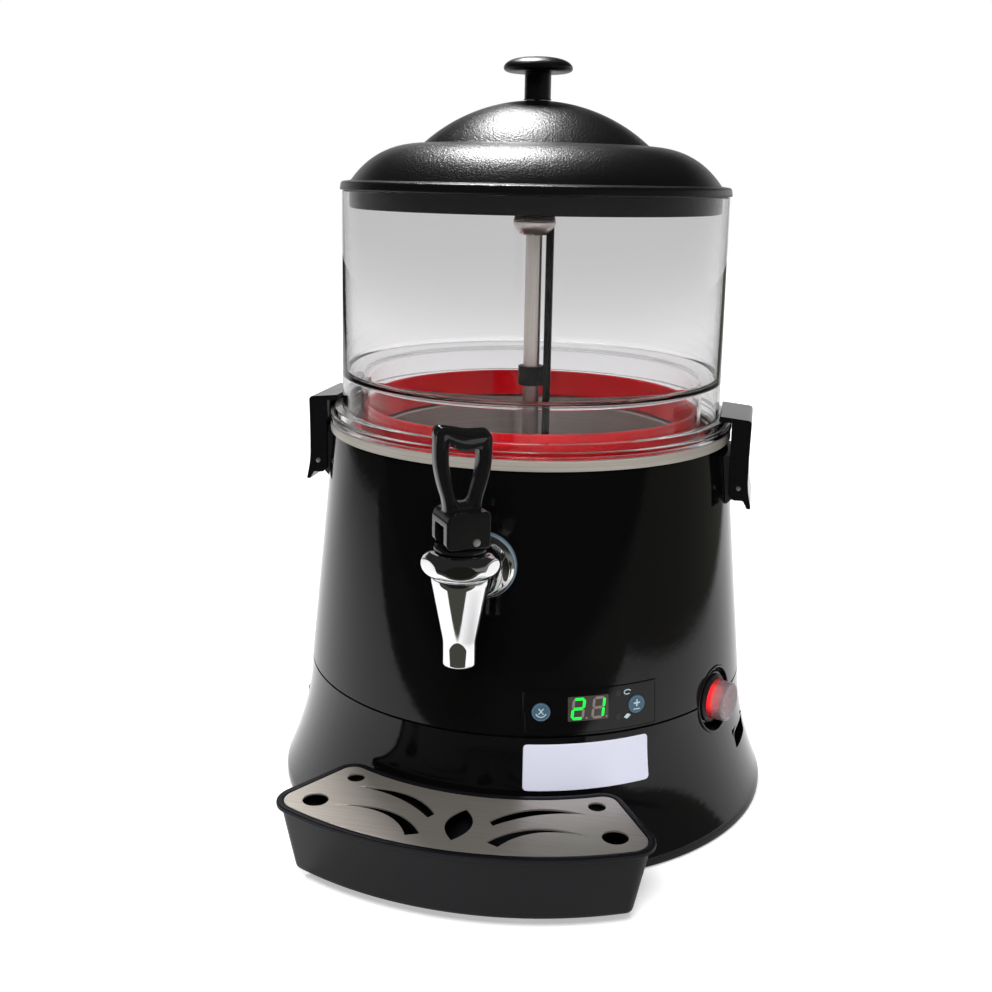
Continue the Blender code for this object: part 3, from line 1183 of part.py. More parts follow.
def build_tap_body(machine):
    axis = machine.tap_axis
    top, cone, low = TAP_BODY_TOP_Z, TAP_Z - TAP_CONE_DROP, TAP_Z - TAP_SPOUT_DROP
    neck = top - TAP_SHOULDER_HEIGHT
    soft = TAP_SPOUT_ROUND
    profile = [
        (0, top), (TAP_BODY_TOP_RADIUS, top), (TAP_BODY_TOP_RADIUS, neck),
        (TAP_SPOUT_RADIUS, cone), (TAP_SPOUT_RADIUS, low + soft), (TAP_SPOUT_RADIUS - soft, low), (0, low),
    ]
    body = machine.place("tap_body", turned(profile, ROUND_SEGMENTS, ring=False), "chrome", parent=axis)
    seal_out = PAN_SEAL_FACE + OUTLET_SEAL_LENGTH
    shank_end = TAP_Y - TAP_CHAMBER_RADIUS / 3
    shank = rod(TAP_SHANK_RADIUS, seal_out + SEAT_GAP, shank_end, ROUND_SEGMENTS)
    machine.join(body, shank, location=(0, 0, TAP_Z), rotation=facing(0))
    seat, chamber = SEAT_Z - TAP_SEAT_HEIGHT, TAP_CHAMBER_RADIUS
    hollow = [
        (0, top + CUT_OVERRUN), (chamber, top + CUT_OVERRUN), (chamber, SEAT_Z),
        (TAP_SPOUT_BORE_RADIUS, seat), (TAP_SPOUT_BORE_RADIUS, low - CUT_OVERRUN), (0, low - CUT_OVERRUN),
    ]
    machine.cut(body, turned(hollow, ROUND_SEGMENTS, ring=False), parent=axis)
    bore = rod(OUTLET_BORE_RADIUS, seal_out, shank_end)
    machine.cut(body, bore, location=(0, 0, TAP_Z), rotation=facing(0))
    stub = OUTLET_BORE_RADIUS + OUTLET_WALL + SEAT_GAP
    socket = rod(stub, seal_out - CUT_OVERRUN, OUTLET_END_RADIUS + SEAT_GAP)
    machine.cut(body, socket, location=(0, 0, TAP_Z), rotation=facing(0))


def build_tap_fittings(machine):
    place, turn = (0, 0, TAP_Z), facing(0)
    bore = TAP_SHANK_RADIUS + SEAT_GAP
    face = housing_radius(TAP_Z - WASHER_RADIUS) + SEAT_GAP
    washer_out = housing_radius(TAP_Z) + WASHER_THICKNESS
    washer = pipe(WASHER_RADIUS, bore, housing_radius(TAP_Z) - 2 * WASHER_THICKNESS, washer_out)
    washer = machine.place("tap_washer", washer, "washer_grey", place, turn)
    machine.cut(washer, skin(SEAT_GAP))
    low = max(washer_out, face) + SEAT_GAP
    step = low + ESCUTCHEON_THICKNESS
    end = step + ESCUTCHEON_BOSS_LENGTH
    soft = ESCUTCHEON_BOSS_CHAMFER
    profile = [
        (ESCUTCHEON_BOSS_RADIUS - soft, end), (ESCUTCHEON_BOSS_RADIUS, end - soft),
        (ESCUTCHEON_BOSS_RADIUS, step), (ESCUTCHEON_RADIUS - soft / 2, step),
        (ESCUTCHEON_RADIUS, step - soft / 2), (ESCUTCHEON_RADIUS, low), (bore, low), (bore, end),
    ]
    machine.place("tap_escutcheon", turned(profile, ROUND_SEGMENTS), "chrome", place, turn)
    inner = housing_radius(TAP_Z) - HOUSING_WALL - TAP_NUT_STANDOFF
    nut = outlined([hexagon(TAP_NUT_FLAT_RADIUS)], inner - TAP_NUT_LENGTH, inner)
    nut = machine.place("tap_nut", nut, "zinc", place, turn)
    hole = rod(bore, inner - TAP_NUT_LENGTH - CUT_OVERRUN, inner + CUT_OVERRUN, ROUND_SEGMENTS)
    machine.cut(nut, hole, location=place, rotation=turn)
    bore = OUTLET_BORE_RADIUS + OUTLET_WALL + SEAT_GAP
    seal = pipe(OUTLET_SEAL_RADIUS, bore, PAN_SEAL_FACE, PAN_SEAL_FACE + OUTLET_SEAL_LENGTH)
    machine.place("outlet_seal", seal, "rubber", place, turn)


def build_valve(machine):
    axis = machine.tap_axis
    low, top = BONNET_BOTTOM_Z, BONNET_TOP_Z
    roof = top - BONNET_ROOF
    outline = [(BONNET_RADIUS * across, low + BONNET_HEIGHT * up) for across, up in BONNET_SHARES]
    bore = STEM_RADIUS + RUNNING_GAP
    profile = [*outline, (BONNET_CAVITY_RADIUS, low), (BONNET_CAVITY_RADIUS, roof), (bore, roof), (bore, top)]
    bonnet = machine.place("tap_bonnet", turned(profile, ROUND_SEGMENTS), "chrome", parent=axis)
    flats = hexagon(BONNET_FLAT_RADIUS, BONNET_FLAT_AZIMUTH + 30)
    machine.trim(bonnet, outlined([flats], low - CUT_OVERRUN, top + CUT_OVERRUN), parent=axis)

    cup_low = SEAT_Z - TAP_SEAT_HEIGHT
    slope = (TAP_CHAMBER_RADIUS - TAP_SPOUT_BORE_RADIUS) / TAP_SEAT_HEIGHT
    edge = cup_low + (CUP_RADIUS - TAP_SPOUT_BORE_RADIUS) / slope + CUP_SEAT_CLEARANCE
    cup_top = SEAT_Z + CUP_TOP_RISE
    socket = STEM_RADIUS + SEAT_GAP
    socket_floor = cup_top - CUP_SOCKET_DEPTH
    profile = [
        (0, socket_floor), (socket, socket_floor), (socket, cup_top), (CUP_RADIUS, cup_top),
        (CUP_RADIUS, edge), (TAP_SPOUT_BORE_RADIUS - SEAT_GAP, cup_low + CUP_SEAT_CLEARANCE),
        (CUP_TIP_RADIUS, cup_low - SEAT_GAP), (0, cup_low - SEAT_GAP),
    ]
    machine.place("seat_cup", turned(profile, SMALL_SEGMENTS, ring=False), "rubber", parent=axis)

    collar_low = cup_top + STEM_COLLAR_RISE
    collar_top = collar_low + STEM_COLLAR_HEIGHT
    head_low = LEVER_BOTTOM_Z + SEAT_GAP
    head_top = LEVER_PIN_Z + STEM_HEAD_RISE
    profile = [
        (0, head_low + STEM_HEAD_RISE), (STEM_RADIUS, head_low + STEM_HEAD_RISE), (STEM_RADIUS, collar_top),
        (STEM_COLLAR_RADIUS, collar_top), (STEM_COLLAR_RADIUS, collar_low), (STEM_RADIUS, collar_low),
        (STEM_RADIUS, socket_floor + SEAT_GAP), (0, socket_floor + SEAT_GAP),
    ]
    stem = turned(profile, SMALL_SEGMENTS, ring=False)
    stem = machine.place("valve_stem", stem, "brushed_steel", parent=axis)
    turn = beside(LEVER_AZIMUTH)
    back, front = -LEVER_PIN_SETBACK - STEM_HEAD_BACK, -LEVER_PIN_SETBACK + STEM_HEAD_FRONT
    soft = STEM_HEAD_RISE
    corners = [(back, head_low), (front, head_low), (front, head_top), (back, head_top)]
    head = filleted(corners, [soft / 2, 0, soft / 2, soft])
    half = STEM_HEAD_WIDTH / 2
    machine.join(stem, outlined([head], -half, half), rotation=turn, parent=axis)
    hole = rod(LEVER_PIN_RADIUS + SEAT_GAP, -LEVER_BLOCK_WIDTH, LEVER_BLOCK_WIDTH)
    pin_place = front_of(LEVER_AZIMUTH, -LEVER_PIN_SETBACK, LEVER_PIN_Z)
    machine.cut(stem, hole, location=pin_place, rotation=turn, parent=axis)

    start, end = collar_top + SEAT_GAP + SPRING_WIRE_RADIUS, roof - SEAT_GAP - SPRING_WIRE_RADIUS
    steps = SPRING_TURNS * SPRING_POINTS_PER_TURN
    coil = []
    for step in range(steps + 1):
        angle = 2 * math.pi * step / SPRING_POINTS_PER_TURN
        height = start + (end - start) * step / steps
        coil.append((math.cos(angle) * SPRING_COIL_RADIUS, math.sin(angle) * SPRING_COIL_RADIUS, height))
    machine.place("valve_spring", wire(coil, SPRING_WIRE_RADIUS, 0), "brushed_steel", parent=axis)


def build_lever(machine):
    axis = machine.tap_axis
    disc = pipe(DISC_RADIUS, STEM_RADIUS + RUNNING_GAP, DISC_BOTTOM_Z, DISC_BOTTOM_Z + DISC_THICKNESS)
    machine.place("swivel_disc", disc, "gloss_black", parent=axis)
    turn = beside(LEVER_AZIMUTH)
    place = front_of(LEVER_AZIMUTH, -LEVER_PIN_SETBACK, LEVER_PIN_Z)
    front = LEVER_BLOCK_LENGTH / 2 + LEVER_PIN_SETBACK
    back = LEVER_PIN_SETBACK - LEVER_BLOCK_LENGTH / 2
    low = -LEVER_CAM_RADIUS
    edge = LEVER_BLOCK_EDGE
    corners = [(back, low), (front, low), (front, LEVER_BLOCK_RISE), (back, LEVER_BLOCK_RISE)]
    radii = [LEVER_BLOCK_BACK_ROUND, LEVER_CAM_RADIUS, LEVER_BLOCK_TOP_ROUND, LEVER_BLOCK_BACK_ROUND]
    half = LEVER_BLOCK_WIDTH / 2
    block = beveled(outlined([filleted(corners, radii)], -half, half), edge)
    lever = machine.place("tap_lever", block, "gloss_black", place, turn, axis)
    ring_low = LEVER_BLOCK_RISE - LEVER_RING_SINK
    loops = []
    for shares, rounds in (
        (LEVER_RING_SHARES, LEVER_RING_ROUND_SHARES), (LEVER_WINDOW_SHARES, LEVER_WINDOW_ROUND_SHARES),
    ):
        points = [
            (LEVER_PIN_SETBACK + LEVER_RING_HALF_WIDTH * across, ring_low + LEVER_RING_RISE * up)
            for across, up in shares
        ]
        radii = [LEVER_RING_HALF_WIDTH * share for share in rounds]
        loops.append(filleted(points, radii, LEVER_CORNER_STEPS))
    half = LEVER_RING_THICKNESS / 2
    ring = beveled(outlined(loops, -half, half), LEVER_RING_EDGE)
    machine.join(lever, ring, location=place, rotation=turn, parent=axis)
    half = LEVER_SLOT_WIDTH / 2
    slot_back = -STEM_HEAD_BACK - STEM_HEAD_RISE
    slot = box((slot_back, low - CUT_OVERRUN, -half), (front + CUT_OVERRUN, LEVER_SLOT_RISE, half))
    machine.cut(lever, slot, location=place, rotation=turn, parent=axis)
    hole = rod(LEVER_PIN_RADIUS + SEAT_GAP, -LEVER_BLOCK_WIDTH, LEVER_BLOCK_WIDTH)
    machine.cut(lever, hole, location=place, rotation=turn, parent=axis)
    pin = rod(LEVER_PIN_RADIUS, -LEVER_BLOCK_WIDTH / 2 - edge / 2, LEVER_BLOCK_WIDTH / 2 + edge / 2)
    machine.place("lever_pin", pin, "brushed_steel", place, turn, axis)


def beveled(mesh, width):
    """The mesh with its sharp edges eased by a width."""
    obj = bpy.data.objects.new("soft", mesh)
    modifier = obj.modifiers.new("round", "BEVEL")
    modifier.width = width
    modifier.segments = 1
    modifier.limit_method = "ANGLE"
    modifier.angle_limit = math.radians(SMOOTH_DEGREES)
    return evaluated_mesh(obj)


def panel_point(offset, height, depth):
    """A point at an offset across the panel, a height, and a depth along the panel's facing."""
    facing_out = front_of(PANEL_AZIMUTH)
    across = front_of(PANEL_AZIMUTH + 90)
    return facing_out * depth + across * offset + Vector((0, 0, height))


def build_panel(machine):
    low, high = PANEL_MIDDLE_Z - PANEL_HEIGHT, PANEL_MIDDLE_Z + PANEL_HEIGHT
    shell = [
        (housing_radius(high) + PANEL_PROUD, high), (housing_radius(low) + PANEL_PROUD, low),
        (housing_radius(low) - PANEL_DEPTH, low), (housing_radius(high) - PANEL_DEPTH, high),
    ]
    fascia = machine.place("panel_fascia", turned(shell, 2 * SHELL_SEGMENTS), "gloss_black")
    turn, middle = facing(PANEL_AZIMUTH), (0, 0, PANEL_MIDDLE_Z)
    outline = rounded_rectangle(PANEL_WIDTH, PANEL_HEIGHT, PANEL_CORNER_RADIUS)
    block = outlined([outline], HOUSING_TOP_RADIUS / 2, BASE_BOTTOM_RADIUS)
    machine.trim(fascia, block, location=middle, rotation=turn)
    board_face = housing_radius(PANEL_MIDDLE_Z) - BOARD_DEPTH
    side, rise = PANEL_WIDTH / 2 - PILLAR_INSET, PANEL_HEIGHT / 2 - PILLAR_INSET
    for across in (-side, side):
        for height in (PANEL_MIDDLE_Z - rise, PANEL_MIDDLE_Z + rise):
            end = math.sqrt(housing_radius(height) ** 2 - across**2) - PANEL_DEPTH / 2
            pillar = rod(PILLAR_RADIUS, board_face + SEAT_GAP, end)
            machine.join(fascia, pillar, location=panel_point(across, height, 0), rotation=turn)
    half_width, half_height = PANEL_WIDTH / 2 - BOARD_INSET, PANEL_HEIGHT / 2 - BOARD_INSET
    board = box((-half_width, -half_height, -BOARD_THICKNESS), (half_width, half_height, 0))
    machine.place("control_board", board, "board_green", panel_point(0, PANEL_MIDDLE_Z, board_face), turn)
    half_width, half_height = DISPLAY_WIDTH / 2, DISPLAY_HEIGHT / 2
    front = housing_radius(DISPLAY_Z + half_height) + PANEL_PROUD - DISPLAY_SINK
    window = box(
        (-half_width - SEAT_GAP, -half_height - SEAT_GAP, board_face),
        (half_width + SEAT_GAP, half_height + SEAT_GAP, BASE_BOTTOM_RADIUS),
    )
    place = panel_point(DISPLAY_OFFSET, DISPLAY_Z, 0)
    machine.cut(fascia, window, location=place, rotation=turn)
    module = box((-half_width, -half_height, board_face + SEAT_GAP), (half_width, half_height, front))
    machine.place("display_module", module, "display", place, turn)
    for name, offset in KEY_OFFSETS.items():
        azimuth = PANEL_AZIMUTH + math.degrees(math.asin(offset / housing_radius(KEY_Z)))
        build_key(machine, fascia, name, azimuth, board_face)


def build_key(machine, fascia, name, azimuth, board_face):
    """A round key that slides straight in, with a flange behind the panel and a stem to the board."""
    turn = facing(azimuth)
    face = housing_radius(KEY_Z) + PANEL_PROUD + KEY_PROUD
    flange = housing_radius(KEY_Z) - PANEL_DEPTH - KEY_FLANGE_INSET
    contact = board_face / math.cos(math.radians(azimuth - PANEL_AZIMUTH)) + KEY_TRAVEL + RUNNING_GAP
    under, tip = flange - face, contact - face
    back = under - KEY_FLANGE_THICKNESS
    profile = [
        (0, 0), (KEY_RADIUS - KEY_ROUND, 0), (KEY_RADIUS, -KEY_ROUND), (KEY_RADIUS, under),
        (KEY_FLANGE_RADIUS, under), (KEY_FLANGE_RADIUS, back), (KEY_STEM_RADIUS, back),
        (KEY_STEM_RADIUS, tip), (0, tip),
    ]
    key = turned(profile, SMALL_SEGMENTS, ring=False)
    machine.place(name, key, "key_blue", front_of(azimuth, face, KEY_Z), turn)
    hole = rod(KEY_RADIUS + SEAT_GAP, board_face, BASE_BOTTOM_RADIUS, SMALL_SEGMENTS)
    machine.cut(fascia, hole, location=(0, 0, KEY_Z), rotation=turn)


def build_switch(machine):
    turn, place = facing(SWITCH_AZIMUTH), (0, 0, SWITCH_Z)
    floor = WAIST_RADIUS - BEZEL_DEPTH
    back, out = floor - BEZEL_FLOOR, BASE_BOTTOM_RADIUS
    barrel = SWITCH_BARREL_RADIUS
    profile = [
        (BEZEL_RADIUS, out), (BEZEL_RADIUS, back), (barrel + SEAT_GAP, back), (barrel + SEAT_GAP, floor),
        (BEZEL_RADIUS - BEZEL_WALL, floor), (BEZEL_RADIUS - BEZEL_WALL, out),
    ]
    bezel = machine.place("switch_bezel", turned(profile, INNER_SEGMENTS), "satin_black", place, turn)
    low, high = SWITCH_Z - 2 * BEZEL_RADIUS, SWITCH_Z + 2 * BEZEL_RADIUS
    side = [(housing_radius(height) + BEZEL_PROUD, height) for height in (high, low)]
    machine.trim(bezel, turned([(0, high), *side, (0, low)], 2 * SHELL_SEGMENTS, ring=False))
    flange = floor + SEAT_GAP
    front = flange + SWITCH_FLANGE_THICKNESS
    pocket = front - SWITCH_FLANGE_THICKNESS - SWITCH_POCKET_DEPTH
    end = flange - SWITCH_BARREL_LENGTH
    profile = [
        (0, pocket), (SWITCH_POCKET_RADIUS, pocket), (SWITCH_POCKET_RADIUS, front),
        (SWITCH_FLANGE_RADIUS, front), (SWITCH_FLANGE_RADIUS, flange),
        (barrel, flange), (barrel, end), (0, end),
    ]
    machine.place("switch_body", turned(profile, ROUND_SEGMENTS, ring=False), "satin_black", place, turn)
    knob = rod(ROCKER_RADIUS, -ROCKER_BACK, ROCKER_FRONT, SMALL_SEGMENTS)
    tilt = turn.to_matrix() @ Matrix.Rotation(math.radians(ROCKER_TILT), 3, "X")
    spot = front_of(SWITCH_AZIMUTH, front, SWITCH_Z)
    machine.place("switch_rocker", knob, "rocker_red", spot, tilt.to_euler())
    low = front + SEAT_GAP
    top = low + BOOT_LENGTH
    inner = BOOT_RADIUS - BOOT_WALL
    profile = [
        (0, top), (BOOT_RADIUS - BOOT_ROUND, top), (BOOT_RADIUS, top - BOOT_ROUND),
        (BOOT_RADIUS, low + BOOT_WALL), (BOOT_FLANGE_RADIUS, low + BOOT_WALL), (BOOT_FLANGE_RADIUS, low),
        (inner, low), (inner, top - BOOT_WALL), (0, top - BOOT_WALL),
    ]
    machine.place("switch_boot", turned(profile, ROUND_SEGMENTS, ring=False), "boot_clear", place, turn)


def build_gland(machine):
    wall = base_radius(GLAND_Z)
    collar, nose = wall + GLAND_COLLAR_LENGTH, wall + GLAND_COLLAR_LENGTH + GLAND_NOSE_LENGTH
    inside = wall - GLAND_TAIL_LENGTH
    seat = wall - HOUSING_WALL / 2
    profile = [
        (GLAND_NOSE_RADIUS, nose), (GLAND_COLLAR_RADIUS, collar), (GLAND_COLLAR_RADIUS, seat),
        (GLAND_NECK_RADIUS, seat), (GLAND_NECK_RADIUS, inside), (GLAND_BORE_RADIUS, inside),
        (GLAND_BORE_RADIUS, nose),
    ]
    gland = turned(profile, SMALL_SEGMENTS)
    gland = machine.place("cable_gland", gland, "satin_black", (0, 0, GLAND_Z), facing(180))
    machine.cut(gland, skin(SEAT_GAP))
    nut_front = wall - HOUSING_WALL - GLAND_NUT_SETBACK
    nut = pipe(GLAND_NUT_RADIUS, GLAND_NECK_RADIUS + SEAT_GAP, nut_front - GLAND_NUT_LENGTH, nut_front, 6)
    machine.place("gland_nut", nut, "satin_black", (0, 0, GLAND_Z), facing(180))


def sector(offset):
    """A ring sector's outline grown by an offset all round, with rounded corners, about the front."""
    inner, outer = GRID_INNER_RADIUS - offset, GRID_OUTER_RADIUS + offset
    half = math.radians(GRID_HALF_ANGLE) + offset / GRID_MIDDLE_RADIUS
    corners = GRID_OUTER_CORNER, GRID_INNER_CORNER
    soft_out, soft_in = (max(corner + offset, TRAY_LEAST_CORNER) for corner in corners)
    lean_out, lean_in = math.asin(soft_out / (outer - soft_out)), math.asin(soft_in / (inner + soft_in))
    points = []

    def arc(centre, radius, start, end, steps):
        for step in range(steps + 1):
            turn = start + (end - start) * step / steps
            points.append((centre[0] + math.sin(turn) * radius, centre[1] - math.cos(turn) * radius))

    def about(azimuth, reach):
        return math.sin(azimuth) * reach, -math.cos(azimuth) * reach

    arc((0, 0), outer, lean_out - half, half - lean_out, GRID_ARC_STEPS)
    quarter = math.pi / 2
    turned_back = half - lean_in + 2 * quarter
    arc(about(half - lean_out, outer - soft_out), soft_out, half - lean_out, half + quarter, CORNER_STEPS)
    arc(about(half - lean_in, inner + soft_in), soft_in, half + quarter, turned_back, CORNER_STEPS)
    arc((0, 0), inner, half - lean_in, lean_in - half, GRID_ARC_STEPS)
    arc(about(lean_in - half, inner + soft_in), soft_in, -turned_back, -half - quarter, CORNER_STEPS)
    arc(about(lean_out - half, outer - soft_out), soft_out, -half - quarter, lean_out - half, CORNER_STEPS)
    kept = []
    for point in points:
        if not kept or math.dist(point, kept[-1]) > WELD_DISTANCE:
            kept.append(point)
    return kept[:-1] if math.dist(kept[0], kept[-1]) <= WELD_DISTANCE else kept


def grid_point(shares, side=1):
    """A place on the grid, as a share of its half angle and a share of its depth from the back."""
    across, out = shares
    turn = math.radians(GRID_HALF_ANGLE) * across * side
    reach = GRID_INNER_RADIUS + GRID_DEPTH * out
    return Vector((math.sin(turn) * reach, -math.cos(turn) * reach))


def through(start, middle, end, steps):
    """Points of the smooth bend that leaves start, passes middle and reaches end."""
    pull = middle * 2 - (start + end) / 2
    points = []
    for step in range(steps + 1):
        share = step / steps
        points.append(start * (1 - share) ** 2 + pull * 2 * share * (1 - share) + end * share**2)
    return points


def slot_outline(shares, side):
    """A crescent: out along one bend from its tip to its blunt end, and back along another."""
    tip, outer, blunt_out, blunt_in, inner = (grid_point(point, side) for point in shares)
    loop = through(tip, outer, blunt_out, SLOT_STEPS) + through(blunt_in, inner, tip, SLOT_STEPS)[:-1]
    return [tuple(point) for point in loop]


def leaf_outline():
    back, front = (grid_point((0, share)) for share in LEAF_SHARES)
    middle = (back + front) / 2
    side = Vector((LEAF_HALF_WIDTH, 0))
    right = through(back, middle + side, front, SLOT_STEPS)
    left = through(front, middle - side, back, SLOT_STEPS)
    loop = right[:-1] + left[:-1]
    return [tuple(point) for point in loop]


def hole_outline(centre, radius):
    turns = [2 * math.pi * step / SMALL_SEGMENTS for step in range(SMALL_SEGMENTS)]
    return [(centre.x + math.cos(turn) * radius, centre.y + math.sin(turn) * radius) for turn in turns]


def build_tray(machine):
    low, top = TRAY_LIFT, TRAY_TOP_Z
    rim_low = top - TRAY_RIM_THICKNESS
    shell = lofted(sector(TRAY_WALL_OUT - TRAY_DRAFT), sector(TRAY_WALL_OUT), low, rim_low + CUT_OVERRUN / 2)
    tray = machine.place("drip_tray", shell, "tray_grey")
    machine.join(tray, outlined([sector(TRAY_RIM_WIDTH)], rim_low, top))
    grid_low = GRID_TOP_Z - GRID_SHEET
    ledge = grid_low - SEAT_GAP
    inner = TRAY_WALL_OUT - TRAY_WALL
    hollow = lofted(sector(inner - TRAY_DRAFT), sector(inner), low + TRAY_FLOOR, top + CUT_OVERRUN)
    machine.cut(tray, hollow)
    machine.cut(tray, outlined([sector(TRAY_GRID_GAP)], ledge, top + CUT_OVERRUN))
    loops = [sector(0)]
    for side in (-1, 1):
        loops.append(slot_outline(BACK_SLOT_SHARES, side))
        loops.append(slot_outline(FRONT_SLOT_SHARES, side))
        loops.append(hole_outline(grid_point(SMALL_HOLE_SHARES, side), SMALL_HOLE_RADIUS))
        loops.append(hole_outline(grid_point(BIG_HOLE_SHARES, side), BIG_HOLE_RADIUS))
    loops.append(leaf_outline())
    machine.place("tray_grid", outlined(loops, grid_low, GRID_TOP_Z), "brushed_steel")


def main():
    clear_scene()
    machine = Machine()
    build_base(machine)
    build_plate_and_feet(machine)
    build_upper_housing(machine)
    build_top_ring(machine)
    build_bath(machine)
    build_dish(machine)
    build_gasket(machine)
    build_bowl(machine)
    build_lid(machine)
    build_mixer(machine)
    build_drive(machine)
    build_clips(machine)
    build_tap_body(machine)
    build_tap_fittings(machine)
    build_valve(machine)
    build_lever(machine)
    build_panel(machine)
    build_switch(machine)
    build_gland(machine)
    build_tray(machine)


main()
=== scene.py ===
"""Countertop hot chocolate dispenser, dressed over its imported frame.

Metres, +Z up. Azimuths are in degrees from the machine's front (-Y), positive towards +X.
Each sub-assembly is a class: its fields are sizes, and its methods build and dress its pieces.
"""

from __future__ import annotations

import json
import logging
import math
from dataclasses import dataclass, field
from enum import Enum
from typing import Callable, Optional, Sequence, Union

import bmesh
import bpy
import numpy as np
from mathutils import Matrix

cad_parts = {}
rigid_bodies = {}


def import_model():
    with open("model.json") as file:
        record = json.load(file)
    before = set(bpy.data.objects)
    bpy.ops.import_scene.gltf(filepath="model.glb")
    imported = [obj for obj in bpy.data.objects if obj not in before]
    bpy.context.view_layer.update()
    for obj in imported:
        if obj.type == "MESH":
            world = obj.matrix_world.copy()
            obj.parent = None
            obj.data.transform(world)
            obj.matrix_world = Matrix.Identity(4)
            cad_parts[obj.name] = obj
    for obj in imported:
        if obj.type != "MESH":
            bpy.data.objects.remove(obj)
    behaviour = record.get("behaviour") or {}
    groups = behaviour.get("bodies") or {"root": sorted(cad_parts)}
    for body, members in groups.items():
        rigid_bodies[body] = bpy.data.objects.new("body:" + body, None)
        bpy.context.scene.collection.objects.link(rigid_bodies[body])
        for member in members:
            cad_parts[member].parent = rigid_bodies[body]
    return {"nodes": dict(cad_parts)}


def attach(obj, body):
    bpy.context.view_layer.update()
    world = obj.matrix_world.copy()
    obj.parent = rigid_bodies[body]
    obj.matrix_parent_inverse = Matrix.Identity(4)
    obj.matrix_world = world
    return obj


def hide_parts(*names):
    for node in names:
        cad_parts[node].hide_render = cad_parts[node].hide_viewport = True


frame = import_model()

LOG = logging.getLogger("dispenser")
Array = np.ndarray
Mesh = bpy.types.Mesh
Socket = bpy.types.NodeSocket
Material = bpy.types.Material
Number = Union[float, "Value"]
Points = Sequence[Sequence[float]]
Radii = Union[float, Sequence[float]]
Colour = tuple[float, float, float]

# The machine's upright axis, the seam of its housings and their radius there.
AXIS_Y = 0.02875
SEAM_Z = 0.0795
WAIST = 0.1425
# The tap's upright axis.
TAP_Y = AXIS_Y - 0.190003
# The keys' places.
KEY_AZIMUTHS = {"left": 14.4, "right": 37.7}
KEY_HEIGHT = 0.095
# Faces round a turned body.
FINE, ROUND, FINEST = 96, 192, 256
# Points nearer than this become one.
WELD = 1e-6


class Grain(Enum):
    """Which way brushed metal was rubbed."""

    ROUND_AXIS = "round the machine's axis"
    ALONG_X = "from side to side"
    UPRIGHT = "up and down"


class Side(Enum):
    """The machine's two sides, by the sign of X."""

    LEFT = -1
    RIGHT = 1


# shapes as arrays


def softened(points: Points, radii: Radii, steps: int = 6, closed: bool = False) -> Array:
    """Rounds the corners of a line.

    Each corner becomes the bend (1-t)^2 start + 2t(1-t) corner + t^2 end, where start and end
    stand a radius back from the corner along its two sides.

    Args:
        points: corners of the line.
        radii: one radius, or one per corner; an open line keeps its two ends.
        steps: spans in each bend.
        closed: whether the last corner joins the first.

    Returns:
        The rounded line, one row per point.
    """
    corner = np.asarray(points, float)
    radius = np.array(np.broadcast_to(np.asarray(radii, float), len(corner)))
    if not closed:
        radius[[0, -1]] = 0
    back, ahead = np.roll(corner, 1, axis=0) - corner, np.roll(corner, -1, axis=0) - corner
    back_run, ahead_run = (np.maximum(np.linalg.norm(side, axis=1), 1e-9) for side in (back, ahead))
    reach = np.minimum(radius, 0.48 * np.minimum(back_run, ahead_run))
    start = corner + back / back_run[:, None] * reach[:, None]
    end = corner + ahead / ahead_run[:, None] * reach[:, None]
    t = np.linspace(0, 1, steps + 1)[None, :, None]
    bend = start[:, None] * (1 - t) ** 2 + corner[:, None] * (2 * t * (1 - t)) + end[:, None] * t**2
    line = bend.reshape(-1, corner.shape[1])
    gap = np.linalg.norm(line - np.roll(line, 1, axis=0), axis=1)
    keep = gap > 1e-7
    keep[0] = keep[0] or not closed
    return line[keep]


def resampled(line: Array, count: int) -> Array:
    """Points spaced evenly along a closed line, found by its running length.

    Args:
        line: the closed line.
        count: how many points it gets.

    Returns:
        The points, from the line's first.
    """
    ring = np.vstack([line, line[:1]])
    run = np.concatenate([[0], np.cumsum(np.linalg.norm(np.diff(ring, axis=0), axis=1))])
    at = np.linspace(0, run[-1], count, endpoint=False)
    return np.stack([np.interp(at, run, ring[:, axis]) for axis in range(line.shape[1])], axis=1)


def rounded_rectangle(width: float, height: float, radius: float, steps: int = 6) -> Array:
    """A rectangle's outline about the origin, its corners rounded."""
    x, y = width / 2, height / 2
    return softened([(-x, -y), (x, -y), (x, y), (-x, y)], radius, steps, closed=True)


def circle(radius: float, count: int = 48, centre: Sequence[float] = (0.0, 0.0)) -> Array:
    """Points round a circle: centre + radius (cos t, sin t)."""
    t = np.linspace(0, 2 * np.pi, count, endpoint=False)
    return np.stack([np.cos(t), np.sin(t)], axis=1) * radius + np.asarray(centre)


def turned(profile: Array, segments: int = ROUND) -> Array:
    """A (radius, height) line turned about Z: (r sin a, -r cos a, h) for each a round the circle."""
    r, h, a = profile[:, :1], profile[:, 1:], np.linspace(0, 2 * np.pi, segments, endpoint=False)
    return np.stack([r * np.sin(a), -r * np.cos(a), h + 0 * a], axis=2)


def stacked(outlines: Sequence[Array], heights: Sequence[float]) -> Array:
    """Outlines of as many points, each laid at its height, as rows of a grid."""
    pairs = zip(outlines, heights)
    return np.stack([np.column_stack([line, np.full(len(line), height)]) for line, height in pairs])


def grown(outline: Array, offset: float) -> Array:
    """An anticlockwise closed outline moved outwards along the mean normal of its neighbours.

    Args:
        outline: the closed outline.
        offset: how far it moves.

    Returns:
        The moved outline.
    """
    run = np.roll(outline, -1, axis=0) - np.roll(outline, 1, axis=0)
    run /= np.maximum(np.linalg.norm(run, axis=1), 1e-9)[:, None]
    return outline + np.column_stack([run[:, 1], -run[:, 0]]) * offset


